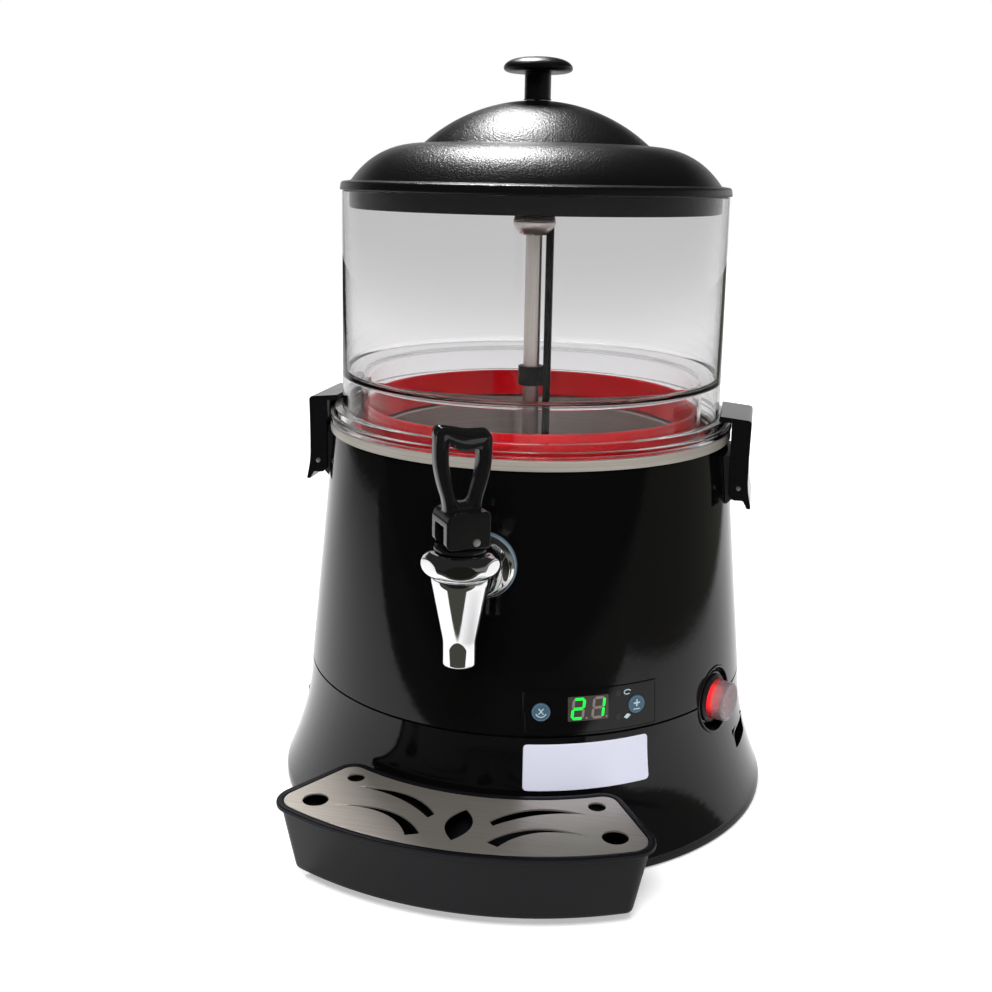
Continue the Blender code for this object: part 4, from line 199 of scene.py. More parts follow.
def ringed(outline: Array, count: int) -> list[Array]:
    """The outline shrunk step by step to its middle: c + s (p - c) for s from 1 to 0."""
    middle = outline.mean(axis=0)
    return [middle + (outline - middle) * share for share in np.linspace(1, 0, count)]


def soft_least(first: Array, second: Array, blend: float) -> Array:
    """The smaller of two lengths with a rounded meeting: -blend ln(exp(-a/blend) + exp(-b/blend))."""
    return -blend * np.logaddexp(-first / blend, -second / blend)


def hexagon_reach(angles: Array, flat_radius: float, first: float) -> Array:
    """A hexagon's reach: its flat radius over the cosine of the turn from the nearest flat's middle."""
    turn = np.mod(angles - first + np.pi / 6, np.pi / 3) - np.pi / 6
    return flat_radius / np.cos(turn)


@dataclass(frozen=True)
class Place:
    """A local frame: three axes and an origin in the machine's frame."""

    axes: Array  # local X, Y and Z as rows
    origin: Array  # where the local origin stands

    def at(self, local: Array) -> Array:
        """Local points in the machine's frame: x X + y Y + z Z + origin."""
        return local @ self.axes + self.origin


def facing(azimuth: float, reach: float = 0.0, height: float = 0.0, centre_y: float = AXIS_Y) -> Place:
    """A frame with Z outwards at an azimuth, X to the right of it seen from outside, and Y up.

    Args:
        azimuth: which way it faces.
        reach: how far its origin stands from the axis.
        height: its origin's height.
        centre_y: the axis' place.

    Returns:
        The frame.
    """
    a = math.radians(azimuth)
    out, across = np.array([math.sin(a), -math.cos(a), 0]), np.array([math.cos(a), math.sin(a), 0])
    return Place(np.stack([across, [0, 0, 1], out]), np.array([0, centre_y, height]) + out * reach)


def beside(*where: float) -> Place:
    """The same place as facing gives, turned so that X points outwards, Y up, and Z level."""
    place = facing(*where)
    return Place(place.axes[[2, 1, 0]] * [[1], [1], [-1]], place.origin)


def upright(centre_y: float = AXIS_Y, height: float = 0.0) -> Place:
    """The machine's own directions about an upright axis."""
    return Place(np.eye(3), np.array([0, centre_y, height]))


class Form:
    """Gathers the grids and end faces of one piece, and makes its mesh.

    Attributes:
        points: arrays of points, one per patch.
        faces: each face as a list of point numbers.
        count: how many points there are so far.
    """

    def __init__(self) -> None:
        """Starts with nothing."""
        self.points: list[Array] = []
        self.faces: list[list[int]] = []
        self.count = 0

    def add(self, points: Array, faces: list[list[int]]) -> Form:
        """Adds a patch, numbering its points after those already here.

        Args:
            points: the patch's points.
            faces: its faces, as numbers of its own points.

        Returns:
            This form.
        """
        self.faces += [[number + self.count for number in face] for face in faces]
        self.points.append(points.reshape(-1, 3))
        self.count += len(self.points[-1])
        return self

    def grid(self, points: Array, place: Place, wrap_rows: bool = False, wrap_columns: bool = True) -> Form:
        """Adds a grid of four-sided faces.

        Args:
            points: rows by columns by three, in the place's frame.
            place: where the grid stands.
            wrap_rows: whether the last row joins the first.
            wrap_columns: whether the last column joins the first.

        Returns:
            This form.
        """
        rows, columns = points.shape[:2]
        steps = np.arange(rows - (not wrap_rows)), np.arange(columns - (not wrap_columns))
        row, column = np.meshgrid(*steps, indexing="ij")
        below, beyond = (row + 1) % rows, (column + 1) % columns
        near, far = row * columns, below * columns
        corners = [near + column, near + beyond, far + beyond, far + column]
        return self.add(place.at(points.reshape(-1, 3)), np.stack(corners, axis=-1).reshape(-1, 4).tolist())

    def cap(self, loop: Array, place: Place) -> Form:
        """Closes a flat end with one face."""
        return self.add(place.at(loop), [list(range(len(loop)))])

    def turn(self, profile: Array, place: Place, segments: int = ROUND, closed: bool = True) -> Form:
        """Adds a turned body; an open profile starts and ends on the axis."""
        return self.grid(turned(profile, segments), place, wrap_rows=closed)

    def lathe(self, corners: Points, radii: Radii, place: Place, segments: int = ROUND,
              steps: int = 6) -> Form:
        """Adds a turned body with rounded corners; one that starts on the axis is closed by the axis.

        Args:
            corners: its section as (radius, height) pairs.
            radii: rounding of the corners.
            place: where its axis stands.
            segments: faces round the axis.
            steps: spans in each rounding.

        Returns:
            This form.
        """
        closed = bool(corners[0][0] > 0)
        return self.turn(softened(corners, radii, steps, closed), place, segments, closed)

    def stack(self, outlines: Sequence[Array], heights: Sequence[float], place: Place) -> Form:
        """Adds a body of stacked outlines with flat ends."""
        rows = stacked(outlines, heights)
        return self.grid(rows, place).cap(rows[0], place).cap(rows[-1], place)

    def slab(self, outline: Array, low: float, high: float, edge: float, place: Place,
             steps: int = 4) -> Form:
        """Adds a plate of one outline, its rims rounded: the rim at angle t is in by edge (1 - sin t).

        Args:
            outline: the plate's outline.
            low: its underside.
            high: its top.
            edge: rounding of its rims.
            place: where it stands.
            steps: spans in each rim.

        Returns:
            This form.
        """
        t = np.linspace(0, np.pi / 2, steps + 1)
        inward = edge * (1 - np.sin(t))
        lift = edge * (1 - np.cos(t))
        offsets = np.concatenate([inward, inward[::-1]])
        heights = np.concatenate([low + lift, high - lift[::-1]])
        return self.stack([grown(outline, -offset) for offset in offsets], heights, place)

    def mesh(self, name: str, sharp: float = 34.0) -> Mesh:
        """Makes the mesh, with doubles merged, normals outwards and smooth shading between sharp edges.

        Args:
            name: the mesh's name.
            sharp: the least angle of an edge that stays sharp, in degrees.

        Returns:
            The new mesh.
        """
        mesh = bpy.data.meshes.new(name)
        mesh.from_pydata(np.vstack(self.points), [], self.faces)
        return tidied(mesh, sharp)


def tidied(mesh: Mesh, sharp: float) -> Mesh:
    """Merges doubles, turns all faces outwards and shades the mesh smooth between sharp edges.

    Args:
        mesh: the mesh.
        sharp: the least angle of an edge that stays sharp, in degrees.

    Returns:
        The same mesh.
    """
    form = bmesh.new()
    form.from_mesh(mesh)
    bmesh.ops.remove_doubles(form, verts=form.verts, dist=WELD)
    bmesh.ops.dissolve_degenerate(form, edges=form.edges, dist=WELD)
    bmesh.ops.recalc_face_normals(form, faces=form.faces)
    form.to_mesh(mesh)
    form.free()
    mesh.shade_smooth()
    mesh.set_sharp_from_angle(angle=math.radians(sharp))
    return mesh


def worked(mesh: Mesh, *changes: tuple[str, dict], sharp: float = 34.0) -> Mesh:
    """Applies modifiers to a mesh.

    Args:
        mesh: the starting mesh, which is used up.
        changes: pairs of a modifier's type and its settings, where a mesh is a Boolean's other body.
        sharp: the least angle of an edge that stays sharp, in degrees.

    Returns:
        The finished mesh.
    """
    scene = bpy.context.scene.collection
    target = bpy.data.objects.new(mesh.name, mesh)
    scene.objects.link(target)
    helpers = []
    for kind, settings in changes:
        modifier = target.modifiers.new(kind.lower(), kind)
        for key, setting in settings.items():
            if isinstance(setting, Mesh):
                setting = bpy.data.objects.new("helper", setting)
                scene.objects.link(setting)
                helpers.append(setting)
            setattr(modifier, key, setting)
    bpy.context.view_layer.update()
    result = bpy.data.meshes.new_from_object(target.evaluated_get(bpy.context.evaluated_depsgraph_get()))
    for spent in (target, *helpers):
        bpy.data.objects.remove(spent, do_unlink=True)
    result.name = mesh.name
    return tidied(result, sharp)


def cut(mesh: Mesh) -> tuple[str, dict]:
    """A Boolean that takes a body away."""
    return "BOOLEAN", {"operation": "DIFFERENCE", "solver": "EXACT", "object": mesh}


def joined(mesh: Mesh) -> tuple[str, dict]:
    """A Boolean that adds a body."""
    return "BOOLEAN", {"operation": "UNION", "solver": "EXACT", "object": mesh}


def rounded_edges(width: float, segments: int = 3) -> tuple[str, dict]:
    """A Bevel on the sharp edges."""
    limit = {"limit_method": "ANGLE", "angle_limit": math.radians(36)}
    return "BEVEL", {"width": width, "segments": segments, **limit}


def block(low: Sequence[float], high: Sequence[float], place: Place) -> Mesh:
    """A plain box between two local corners, as a cutter.

    Args:
        low: its lowest corner.
        high: its highest corner.
        place: the frame of both.

    Returns:
        The box's mesh.
    """
    (x0, y0, z0), (x1, y1, z1) = low, high
    outline = np.array([(x0, y0), (x1, y0), (x1, y1), (x0, y1)])
    return Form().stack([outline, outline], [z0, z1], place).mesh("block")


def rod(radius: float, low: float, high: float, place: Place, count: int = 48) -> Mesh:
    """A plain round bar along a place's Z, as a cutter."""
    line = circle(radius, count)
    return Form().stack([line, line], [low, high], place).mesh("rod")


def read(rows: bpy.types.bpy_prop_collection, key: str, width: int = 1) -> Array:
    """Reads one property of a mesh's points, faces or corners.

    Args:
        rows: what is read, such as the mesh's vertices.
        key: the property's name.
        width: how many numbers it has.

    Returns:
        One number or row for each.
    """
    values = np.empty(len(rows) * width, int if key in ("vertex_index", "loop_total") else float)
    rows.foreach_get(key, values)
    return values if width == 1 else values.reshape(-1, width)


def smooth_round(mesh: Mesh, radius: Callable[[Array], Array]) -> None:
    """Gives the outer wall of a turned body the exact normals of its formula.

    The normal at height z is (cos a, sin a, -dR/dz) made a unit, a being the point's turn about
    the axis. A point within 0.6 mm of the wall counts as on it.

    Args:
        mesh: the body, after its holes are cut.
        radius: the wall's radius at each height.
    """
    points = read(mesh.vertices, "co", 3) - (0, AXIS_Y, 0)
    z, reach, step = points[:, 2], np.hypot(points[:, 0], points[:, 1]), 1e-4
    on_wall = np.abs(reach - radius(z)) < 0.0006
    slope = (radius(z + step) - radius(z - step)) / (2 * step)
    exact = np.column_stack([points[:, :2] / np.maximum(reach, 1e-9)[:, None], -slope])
    exact /= np.linalg.norm(exact, axis=1)[:, None]
    of_corner, normals = read(mesh.loops, "vertex_index"), read(mesh.corner_normals, "vector", 3)
    near = on_wall[of_corner] & ((normals * exact[of_corner]).sum(axis=1) > 0.93)
    normals[near] = exact[of_corner[near]]
    mesh.normals_split_custom_set(normals)


def flat_ends(mesh: Mesh) -> Mesh:
    """Shades large flat faces flat, so that the rounding of their rims starts along them.

    At a corner of a face of 20 square millimetres or more, every face within 60 degrees of it
    takes its normal.

    Args:
        mesh: the body.

    Returns:
        The same mesh.
    """
    area, facing_way = read(mesh.polygons, "area"), read(mesh.polygons, "normal", 3)
    of_corner, normals = read(mesh.loops, "vertex_index"), read(mesh.corner_normals, "vector", 3)
    face = np.repeat(np.arange(len(area)), read(mesh.polygons, "loop_total"))
    order = np.argsort(area[face], kind="stable")
    largest = np.zeros(len(mesh.vertices), int)
    largest[of_corner[order]] = face[order]
    chosen = largest[of_corner]
    alike = (facing_way[face] * facing_way[chosen]).sum(axis=1) > 0.5
    near = alike & (area[chosen] >= 2e-5)
    normals[near] = facing_way[chosen[near]]
    mesh.normals_split_custom_set(normals)
    return mesh


# finishes


class Value:
    """A number that changes over a surface; arithmetic on it adds Math nodes.

    Attributes:
        graph: the material that the nodes go into.
        link: the output socket that carries the number.
    """

    def __init__(self, graph: Graph, link: Socket) -> None:
        """Wraps an output socket."""
        self.graph = graph
        self.link = link

    def _math(self, operation: str, *operands: Number) -> Value:
        """One Math node over the operands."""
        node = self.graph.node("ShaderNodeMath", {"operation": operation}, dict(enumerate(operands)))
        return Value(self.graph, node.outputs[0])

    def __add__(self, other: Number) -> Value:
        """self + other."""
        return self._math("ADD", self, other)

    def __sub__(self, other: Number) -> Value:
        """self - other."""
        return self._math("SUBTRACT", self, other)

    def __rsub__(self, other: Number) -> Value:
        """other - self."""
        return self._math("SUBTRACT", other, self)

    def __mul__(self, other: Number) -> Value:
        """self * other."""
        return self._math("MULTIPLY", self, other)

    __radd__, __rmul__ = __add__, __mul__

    def most(self, other: Number) -> Value:
        """The larger of the two."""
        return self._math("MAXIMUM", self, other)

    def root(self) -> Value:
        """The square root."""
        return self._math("SQRT", self)

    def rise(self, low: float, high: float) -> Value:
        """0 below low, 1 above high, and a smooth rise between.

        Args:
            low: where the rise starts.
            high: where it ends.

        Returns:
            The new value.
        """
        node = self.graph.node(
            "ShaderNodeMapRange", {"interpolation_type": "SMOOTHSTEP"},
            {"Value": self, "From Min": low, "From Max": high, "To Min": 0.0, "To Max": 1.0},
        )
        return Value(self.graph, node.outputs[0])


class Graph:
    """The nodes of a material or of the sky.

    Attributes:
        owner: the material or world that they belong to.
        tree: the tree that they stand in.
    """

    def __init__(self, owner: Union[Material, bpy.types.World]) -> None:
        """Empties the owner's tree.

        Args:
            owner: the material or world that gets the nodes.
        """
        owner.use_nodes = True
        self.owner, self.tree = owner, owner.node_tree
        self.tree.nodes.clear()

    def node(self, kind: str, settings: Optional[dict] = None,
             inputs: Optional[dict] = None) -> bpy.types.Node:
        """Adds a node.

        Args:
            kind: the node's type.
            settings: its settings, which are set first.
            inputs: its sockets, by name or number, each with a value or a link.

        Returns:
            The new node.
        """
        made = self.tree.nodes.new(kind)
        for key, setting in (settings or {}).items():
            setattr(made, key, setting)
        for key, given in (inputs or {}).items():
            link = given.link if isinstance(given, Value) else given
            if isinstance(link, Socket):
                self.tree.links.new(link, made.inputs[key])
            else:
                made.inputs[key].default_value = link
        return made

    def place(self) -> Socket:
        """The point's object coordinates."""
        return self.node("ShaderNodeTexCoord").outputs["Object"]

    def parts(self, vector: Optional[Socket] = None) -> tuple[Value, Value, Value]:
        """The three parts of a vector, the point's place if none is given."""
        split = self.node("ShaderNodeSeparateXYZ", None, {0: vector or self.place()})
        return tuple(Value(self, part) for part in split.outputs)

    def vector(self, x: Number, y: Number, z: Number) -> Socket:
        """A vector of three values."""
        return self.node("ShaderNodeCombineXYZ", None, {0: x, 1: y, 2: z}).outputs[0]

    def noise(self, vector: Socket, scale: float, detail: float = 2.0,
              rough: float = 0.5) -> Value:
        """Fractal noise, from 0 to 1 about 0.5.

        Args:
            vector: the point that it is read at.
            scale: how many features fit in a metre.
            detail: how many finer layers it has.
            rough: how strong each finer layer is.

        Returns:
            The noise.
        """
        made = self.node(
            "ShaderNodeTexNoise", {"noise_dimensions": "3D"},
            {"Vector": vector, "Scale": scale, "Detail": detail, "Roughness": rough},
        )
        return Value(self, made.outputs[0])

    def cells(self, vector: Socket, scale: float) -> Value:
        """Distance to the middle of the nearest cell."""
        made = self.node("ShaderNodeTexVoronoi", None, {"Vector": vector, "Scale": scale})
        return Value(self, made.outputs[0])

    def mix(self, share: Number, first: Colour, second: Colour) -> Socket:
        """A colour between two."""
        inputs = {0: share, 6: (*first, 1.0), 7: (*second, 1.0)}
        return self.node("ShaderNodeMix", {"data_type": "RGBA"}, inputs).outputs[2]

    def bump(self, height: Value, depth: float) -> Socket:
        """A normal from a height of 0 to 1, depth metres tall."""
        inputs = {"Height": height, "Distance": depth, "Strength": 1.0}
        return self.node("ShaderNodeBump", None, inputs).outputs[0]

    def finish(self, **sockets: object) -> Material:
        """Ends the material in one Principled shader.

        Args:
            **sockets: the shader's sockets, with underscores for spaces, each a value or a link.

        Returns:
            The material.
        """
        named = {key.replace("_", " ").replace("Ior", "IOR"): given for key, given in sockets.items()}
        for key, given in named.items():
            if isinstance(given, tuple) and len(given) == 3 and "Color" in key:
                named[key] = (*given, 1.0)
        shader = self.node("ShaderNodeBsdfPrincipled", None, named)
        self.node("ShaderNodeOutputMaterial", None, {0: shader.outputs[0]})
        return self.owner


@dataclass(frozen=True)
class Finish:
    """What a surface is made of."""

    name: str  # the material's name
    slot: str  # the record's slot that it stands for
    colour: Colour  # base colour, linear
    rough: float = 0.4  # base roughness

    def nodes(self, graph: Graph) -> Material:
        """Builds the material's nodes."""
        raise NotImplementedError

    def material(self) -> Material:
        """The material, made the first time that it is asked for."""
        return bpy.data.materials.get(self.name) or self.nodes(Graph(bpy.data.materials.new(self.name)))


@dataclass(frozen=True)
class GlossPlastic(Finish):
    """Moulded plastic with a polished skin, faint ripple and finger smudges."""

    ripple: float = 0.00002  # how tall the ripple is
    specular: float = 0.3  # how strongly the skin reflects
    smudge: float = 0.05  # how much rougher a smudge is

    def nodes(self, graph: Graph) -> Material:
        """Roughness rises in soft smudges; the skin ripples over a few millimetres.

        Args:
            graph: where the nodes go.

        Returns:
            The finished material.
        """
        place = graph.place()
        smudge = graph.noise(place, 28.0, 4.0, 0.6).rise(0.48, 0.72)
        dust = graph.noise(place, 900.0, 2.0).rise(0.66, 0.76)
        ripple = graph.noise(place, 210.0, 1.0)
        deeper = tuple(part * 1.9 for part in self.colour)
        return graph.finish(
            Base_Color=graph.mix(dust * 0.5, self.colour, deeper),
            Roughness=smudge * self.smudge + dust * 0.1 + self.rough,
            Specular_IOR_Level=self.specular,
            Normal=graph.bump(ripple, self.ripple),
        )


@dataclass(frozen=True)
class GrainedPlastic(Finish):
    """Moulded plastic with a spark-eroded grain."""

    grain: float = 0.0007  # width of a pit
    depth: float = 0.00009  # depth of a pit
    specular: float = 0.5  # how strongly the skin reflects
    worn: float = 0.06  # how much smoother the rubbed patches are

    def nodes(self, graph: Graph) -> Material:
        """Rounded pits of two sizes, rubbed a little smoother in broad patches.

        Args:
            graph: where the nodes go.

        Returns:
            The finished material.
        """
        place = graph.place()
        fine = graph.noise(place, 1.0 / self.grain, 2.0, 0.55)
        pits = graph.cells(place, 0.62 / self.grain)
        worn = graph.noise(place, 18.0, 3.0).rise(0.4, 0.7)
        height = fine * 0.65 + pits * 0.35
        lighter = tuple(part * 1.5 for part in self.colour)
        return graph.finish(
            Base_Color=graph.mix(fine.rise(0.4, 0.65), self.colour, lighter),
            Roughness=self.rough - worn * self.worn + fine * 0.1,
            Specular_IOR_Level=self.specular,
            Normal=graph.bump(height, self.depth),
        )


@dataclass(frozen=True)
class Metal(Finish):
    """Metal, polished or brushed."""

    grain: Optional[Grain] = None  # which way it is brushed, or None
    streak: float = 0.16  # how much rougher the streaks are
    tint: Colour = (0.86, 0.84, 0.80)  # what the streaks' colour is multiplied by
    depth: float = 0.000012  # depth of the streaks
    bare: float = 1.0  # share of bare metal; the rest is film

    def nodes(self, graph: Graph) -> Material:
        """Streaks are noise drawn out along the grain: slow along it and quick across it.

        Args:
            graph: where the nodes go.

        Returns:
            The finished material.
        """
        x, y, z = graph.parts()
        along, quick, scale = 12.0, 2600.0, 1.0
        if self.grain is Grain.ROUND_AXIS:
            level = y - AXIS_Y
            across = (x * x + level * level).root() + z
            point = graph.vector(x * 6.0, y * 6.0, across * quick)
        elif self.grain is Grain.ALONG_X:
            point = graph.vector(x * along, y * quick, z * quick)
        elif self.grain is Grain.UPRIGHT:
            point = graph.vector(x * quick, y * quick, z * along)
        else:
            point, scale = graph.place(), 60.0
        streaks = graph.noise(point, scale, 3.0, 0.6)
        smudge = graph.noise(graph.place(), 22.0, 3.0).rise(0.45, 0.75)
        darker = tuple(part * shade for part, shade in zip(self.colour, self.tint))
        return graph.finish(
            Base_Color=graph.mix(streaks.rise(0.35, 0.65), self.colour, darker),
            Metallic=self.bare,
            Roughness=streaks * self.streak + smudge * (self.streak * 0.4) + self.rough,
            Normal=graph.bump(streaks, self.depth),
        )


@dataclass(frozen=True)
class ClearPlastic(Finish):
    """See-through moulded plastic with faint scuffs."""

    index: float = 1.24  # refractive index
    scuff: float = 0.06  # how rough the scuffs are

    def nodes(self, graph: Graph) -> Material:
        """Clear, with rubbed haze in fine upright lines.

        Args:
            graph: where the nodes go.

        Returns:
            The finished material.
        """
        x, y, z = graph.parts()
        rubbed = graph.noise(graph.vector(x * 400.0, y * 400.0, z * 9.0), 1.0, 2.0).rise(0.62, 0.8)
        haze = graph.noise(graph.place(), 16.0, 3.0).rise(0.45, 0.8)
        hazy = tuple(part * 0.985 for part in self.colour)
        return graph.finish(
            Base_Color=graph.mix(haze * 0.5, self.colour, hazy),
            Roughness=rubbed * haze * self.scuff + self.rough,
            IOR=self.index,
            Transmission_Weight=1.0,
        )


@dataclass(frozen=True)
class Silicone(Finish):
    """Soft rubber or silicone, matt with a trace of dust."""

    specular: float = 0.5  # how strongly the skin reflects

    def nodes(self, graph: Graph) -> Material:
        """A fine tooth in the skin, with dusty patches that are rougher and paler.

        Args:
            graph: where the nodes go.

        Returns:
            The finished material.
        """
        place = graph.place()
        tooth = graph.noise(place, 1500.0, 2.0)
        dusty = graph.noise(place, 45.0, 4.0).rise(0.5, 0.75)
        paler = tuple(min(part * 1.15 + 0.008, 1.0) for part in self.colour)
        return graph.finish(
            Base_Color=graph.mix(dusty, self.colour, paler),
            Roughness=dusty * 0.12 + tooth * 0.06 + self.rough,
            Specular_IOR_Level=self.specular,
            IOR=1.42,
            Normal=graph.bump(tooth, 0.00001),
        )


@dataclass(frozen=True)
class LitBoot(Finish):
    """A see-through silicone cap, the lamp's glow inside it painted into the colour of its near half."""

    painted_glow: Colour = (0.95, 0.08, 0.09)  # the painted glow of the lamp, the colour where it is strongest
    azimuth: float = 66.3  # which way the cap points
    span: tuple[float, float] = (0.1435, 0.1470)  # the distances from the axis between which the painted glow fades

    def nodes(self, graph: Graph) -> Material:
        """The painted glow follows x sin a - y cos a, with dusty patches that are rougher.

        Args:
            graph: where the nodes go.

        Returns:
            The finished material.
        """
        x, y, _ = graph.parts()
        turn = math.radians(self.azimuth)
        out = x * math.sin(turn) - (y - AXIS_Y) * math.cos(turn)
        dusty = graph.noise(graph.place(), 60.0, 4.0).rise(0.5, 0.75)
        return graph.finish(
            # Painted glow: the lamp's light is mixed into the base colour of the boot's near half.
            Base_Color=graph.mix(out.rise(*self.span), self.painted_glow, self.colour),
            Roughness=dusty * 0.12 + self.rough,
            Transmission_Weight=0.62,
            IOR=1.42,
        )


@dataclass(frozen=True)
class Lit(Finish):
    """A part that glows."""

    glow: Colour = (1.0, 1.0, 1.0)  # the light's colour
    strength: float = 1.0  # how bright it is

    def nodes(self, graph: Graph) -> Material:
        """The glow is a little uneven over the surface.

        Args:
            graph: where the nodes go.

        Returns:
            The finished material.
        """
        uneven = graph.noise(graph.place(), 500.0, 2.0)
        dimmer = tuple(part * 0.8 for part in self.glow)
        return graph.finish(
            Base_Color=self.colour,
            Roughness=uneven * 0.1 + self.rough,
            Emission_Color=graph.mix(uneven, dimmer, self.glow),
            Emission_Strength=self.strength,
        )


@dataclass(frozen=True)
class Printed(Finish):
    """Ink or a printed film."""

    specular: float = 0.4  # how strongly it reflects

    def nodes(self, graph: Graph) -> Material:
        """Even ink with a trace of grain.

        Args:
            graph: where the nodes go.

        Returns:
            The finished material.
        """
        place = graph.place()
        speck = graph.noise(place, 700.0, 2.0)
        stain = graph.noise(place, 35.0, 3.0).rise(0.5, 0.8)
        duller = tuple(part * 0.95 for part in self.colour)
        return graph.finish(
            Base_Color=graph.mix(stain * 0.6 + speck * 0.3, self.colour, duller),
            Roughness=speck * 0.08 + self.rough,
            Specular_IOR_Level=self.specular,
            Normal=graph.bump(speck, 0.000006),
        )


@dataclass(frozen=True)
class CircuitBoard(Finish):
    """Green board with a lacquer over its tracks."""

    def nodes(self, graph: Graph) -> Material:
        """Tracks are lighter cells in the lacquer.

        Args:
            graph: where the nodes go.

        Returns:
            The finished material.
        """
        tracks = graph.cells(graph.place(), 320.0).rise(0.45, 0.5)
        lighter = tuple(part * 1.7 for part in self.colour)
        return graph.finish(
            Base_Color=graph.mix(tracks, self.colour, lighter),
            Roughness=tracks * 0.15 + self.rough,
            Normal=graph.bump(tracks, 0.00004),
        )


# In order: the material's name, the record's slot, the colour, the roughness, and the rest by class.
GLOSS = GlossPlastic("gloss_black_skin", "gloss_black", (0.0022, 0.0022, 0.0025), 0.07)
CLIP_GLOSS = GlossPlastic("clip_black_skin", "gloss_black", (0.004, 0.004, 0.0045), 0.13)
LEVER_GLOSS = GlossPlastic("lever_black_skin", "gloss_black", (0.005, 0.005, 0.0055), 0.1, specular=0.45)
SATIN = GrainedPlastic("satin_black_skin", "satin_black", (0.008, 0.008, 0.009), 0.42, 0.0005, 0.00003, 0.35)
LID = GrainedPlastic("lid_grain", "lid_black", (0.0022, 0.0022, 0.0024), 0.26, 0.0009, 0.0003, 0.42, 0.015)
# A darker, less glossy copy of the satin black: painted shade for the parts inside the bowl and under the
# lid.
SHADED_INNER_BLACK = GrainedPlastic(
    "inner_black_skin", "satin_black", (0.002, 0.002, 0.0022), 0.3, 0.0005, 0.00003, 0.10)
TRAY = GrainedPlastic("tray_grain", "tray_grey", (0.0054, 0.0054, 0.0066), 0.40, 0.0004, 0.00002, 0.2)
RING_STEEL = Metal("ring_steel", "brushed_steel", (0.44, 0.41, 0.37), 0.26, Grain.ROUND_AXIS, bare=0.3)
GRID_STEEL = Metal("grid_steel", "brushed_steel", (0.56, 0.52, 0.48), 0.36, Grain.ALONG_X, bare=0.72)
TUBE_STEEL = Metal("tube_steel", "brushed_steel", (0.62, 0.58, 0.55), 0.24, Grain.UPRIGHT)
PAN_STEEL = Metal("pan_steel", "brushed_steel", (0.55, 0.53, 0.50), 0.30, Grain.ROUND_AXIS)
PIN_STEEL = Metal("pin_steel", "brushed_steel", (0.80, 0.79, 0.76), 0.28)
CHROME = Metal("tap_chrome", "chrome", (0.86, 0.86, 0.87), 0.03, None, 0.02, (0.99, 0.99, 0.99), 0.000004)
ZINC = Metal("zinc_plate", "zinc", (0.52, 0.52, 0.53), 0.34, None, 0.2)
CAP_METAL = Metal("mixer_cap_metal", "zinc", (0.46, 0.42, 0.41), 0.26, Grain.ROUND_AXIS, 0.1)
CLEAR = ClearPlastic("bowl_clear", "clear", (0.932, 0.928, 0.934), 0.015)
BOOT = LitBoot("boot_silicone", "boot_clear", (0.40, 0.34, 0.36), 0.26)
RED_RUBBER = Silicone("gasket_silicone", "gasket_red", (0.86, 0.006, 0.014), 0.30, specular=0.12)
GREY_RUBBER = Silicone("washer_rubber", "washer_grey", (0.16, 0.22, 0.26), 0.45)
BLACK_RUBBER = Silicone("foot_rubber", "rubber", (0.012, 0.012, 0.012), 0.6)
GREEN_DIGIT = Lit("digit_green", "display", (0.0, 0.3, 0.02), 0.3, (0.0, 1.0, 0.05), 1.3)
RED_ROCKER = Lit("rocker_red_glow", "rocker_red", (0.7, 0.01, 0.015), 0.25, (1.0, 0.02, 0.03), 2.2)
WINDOW = Printed("display_window", "display", (0.055, 0.045, 0.042), 0.12)
DARK_DIGIT = Printed("digit_unlit", "display", (0.22, 0.18, 0.17), 0.4)
LAMP_DOT = Printed("lamp_dot", "gloss_black", (0.018, 0.018, 0.018), 0.3)
KEY_INK = Printed("key_film", "key_blue", (0.050, 0.105, 0.150), 0.35)
# A paler blue, laid as a thin ring over the rounded edge of each key.
KEY_EDGE = Printed("key_edge_ink", "key_blue", (0.10, 0.19, 0.26), 0.35)
SYMBOL_INK = Printed("symbol_ink", "key_blue", (0.50, 0.62, 0.70), 0.4)
PLATE_WHITE = Printed("name_plate_white", "clear", (0.74, 0.75, 0.88), 0.30)
BOARD = CircuitBoard("board_lacquer", "board_green", (0.01, 0.11, 0.045), 0.35)


def painted(mesh: Mesh, look: Finish) -> None:
    """Gives a mesh one finish."""
    mesh.materials.clear()
    mesh.materials.append(look.material())


def linked(name: str, data: Union[Mesh, bpy.types.Light, bpy.types.Camera]) -> bpy.types.Object:
    """Puts a new object into the scene.

    Args:
        name: its name.
        data: what it shows.

    Returns:
        The object.
    """
    obj = bpy.data.objects.new(name, data)
    bpy.context.scene.collection.objects.link(obj)
    return obj


def piece(name: str, shape: Union[Form, Mesh], look: Finish, *nodes: str,
          body: str = "machine") -> None:
    """Puts a finished shape into the scene on its body.

    Args:
        name: the piece's name.
        shape: its mesh in the machine's frame, or the form of it.
        look: its finish.
        *nodes: the CAD nodes that it stands for.
        body: the CAD body that it rides on.
    """
    mesh = shape.mesh(name) if isinstance(shape, Form) else shape
    painted(mesh, look)
    obj = linked(name, mesh)
    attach(obj, body)
    if nodes:
        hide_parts(*nodes)


def dressed(look: Finish, *nodes: str) -> None:
    """Gives CAD nodes that stay a finish."""
    for name in nodes:
        painted(frame["nodes"][name].data, look)


# the machine


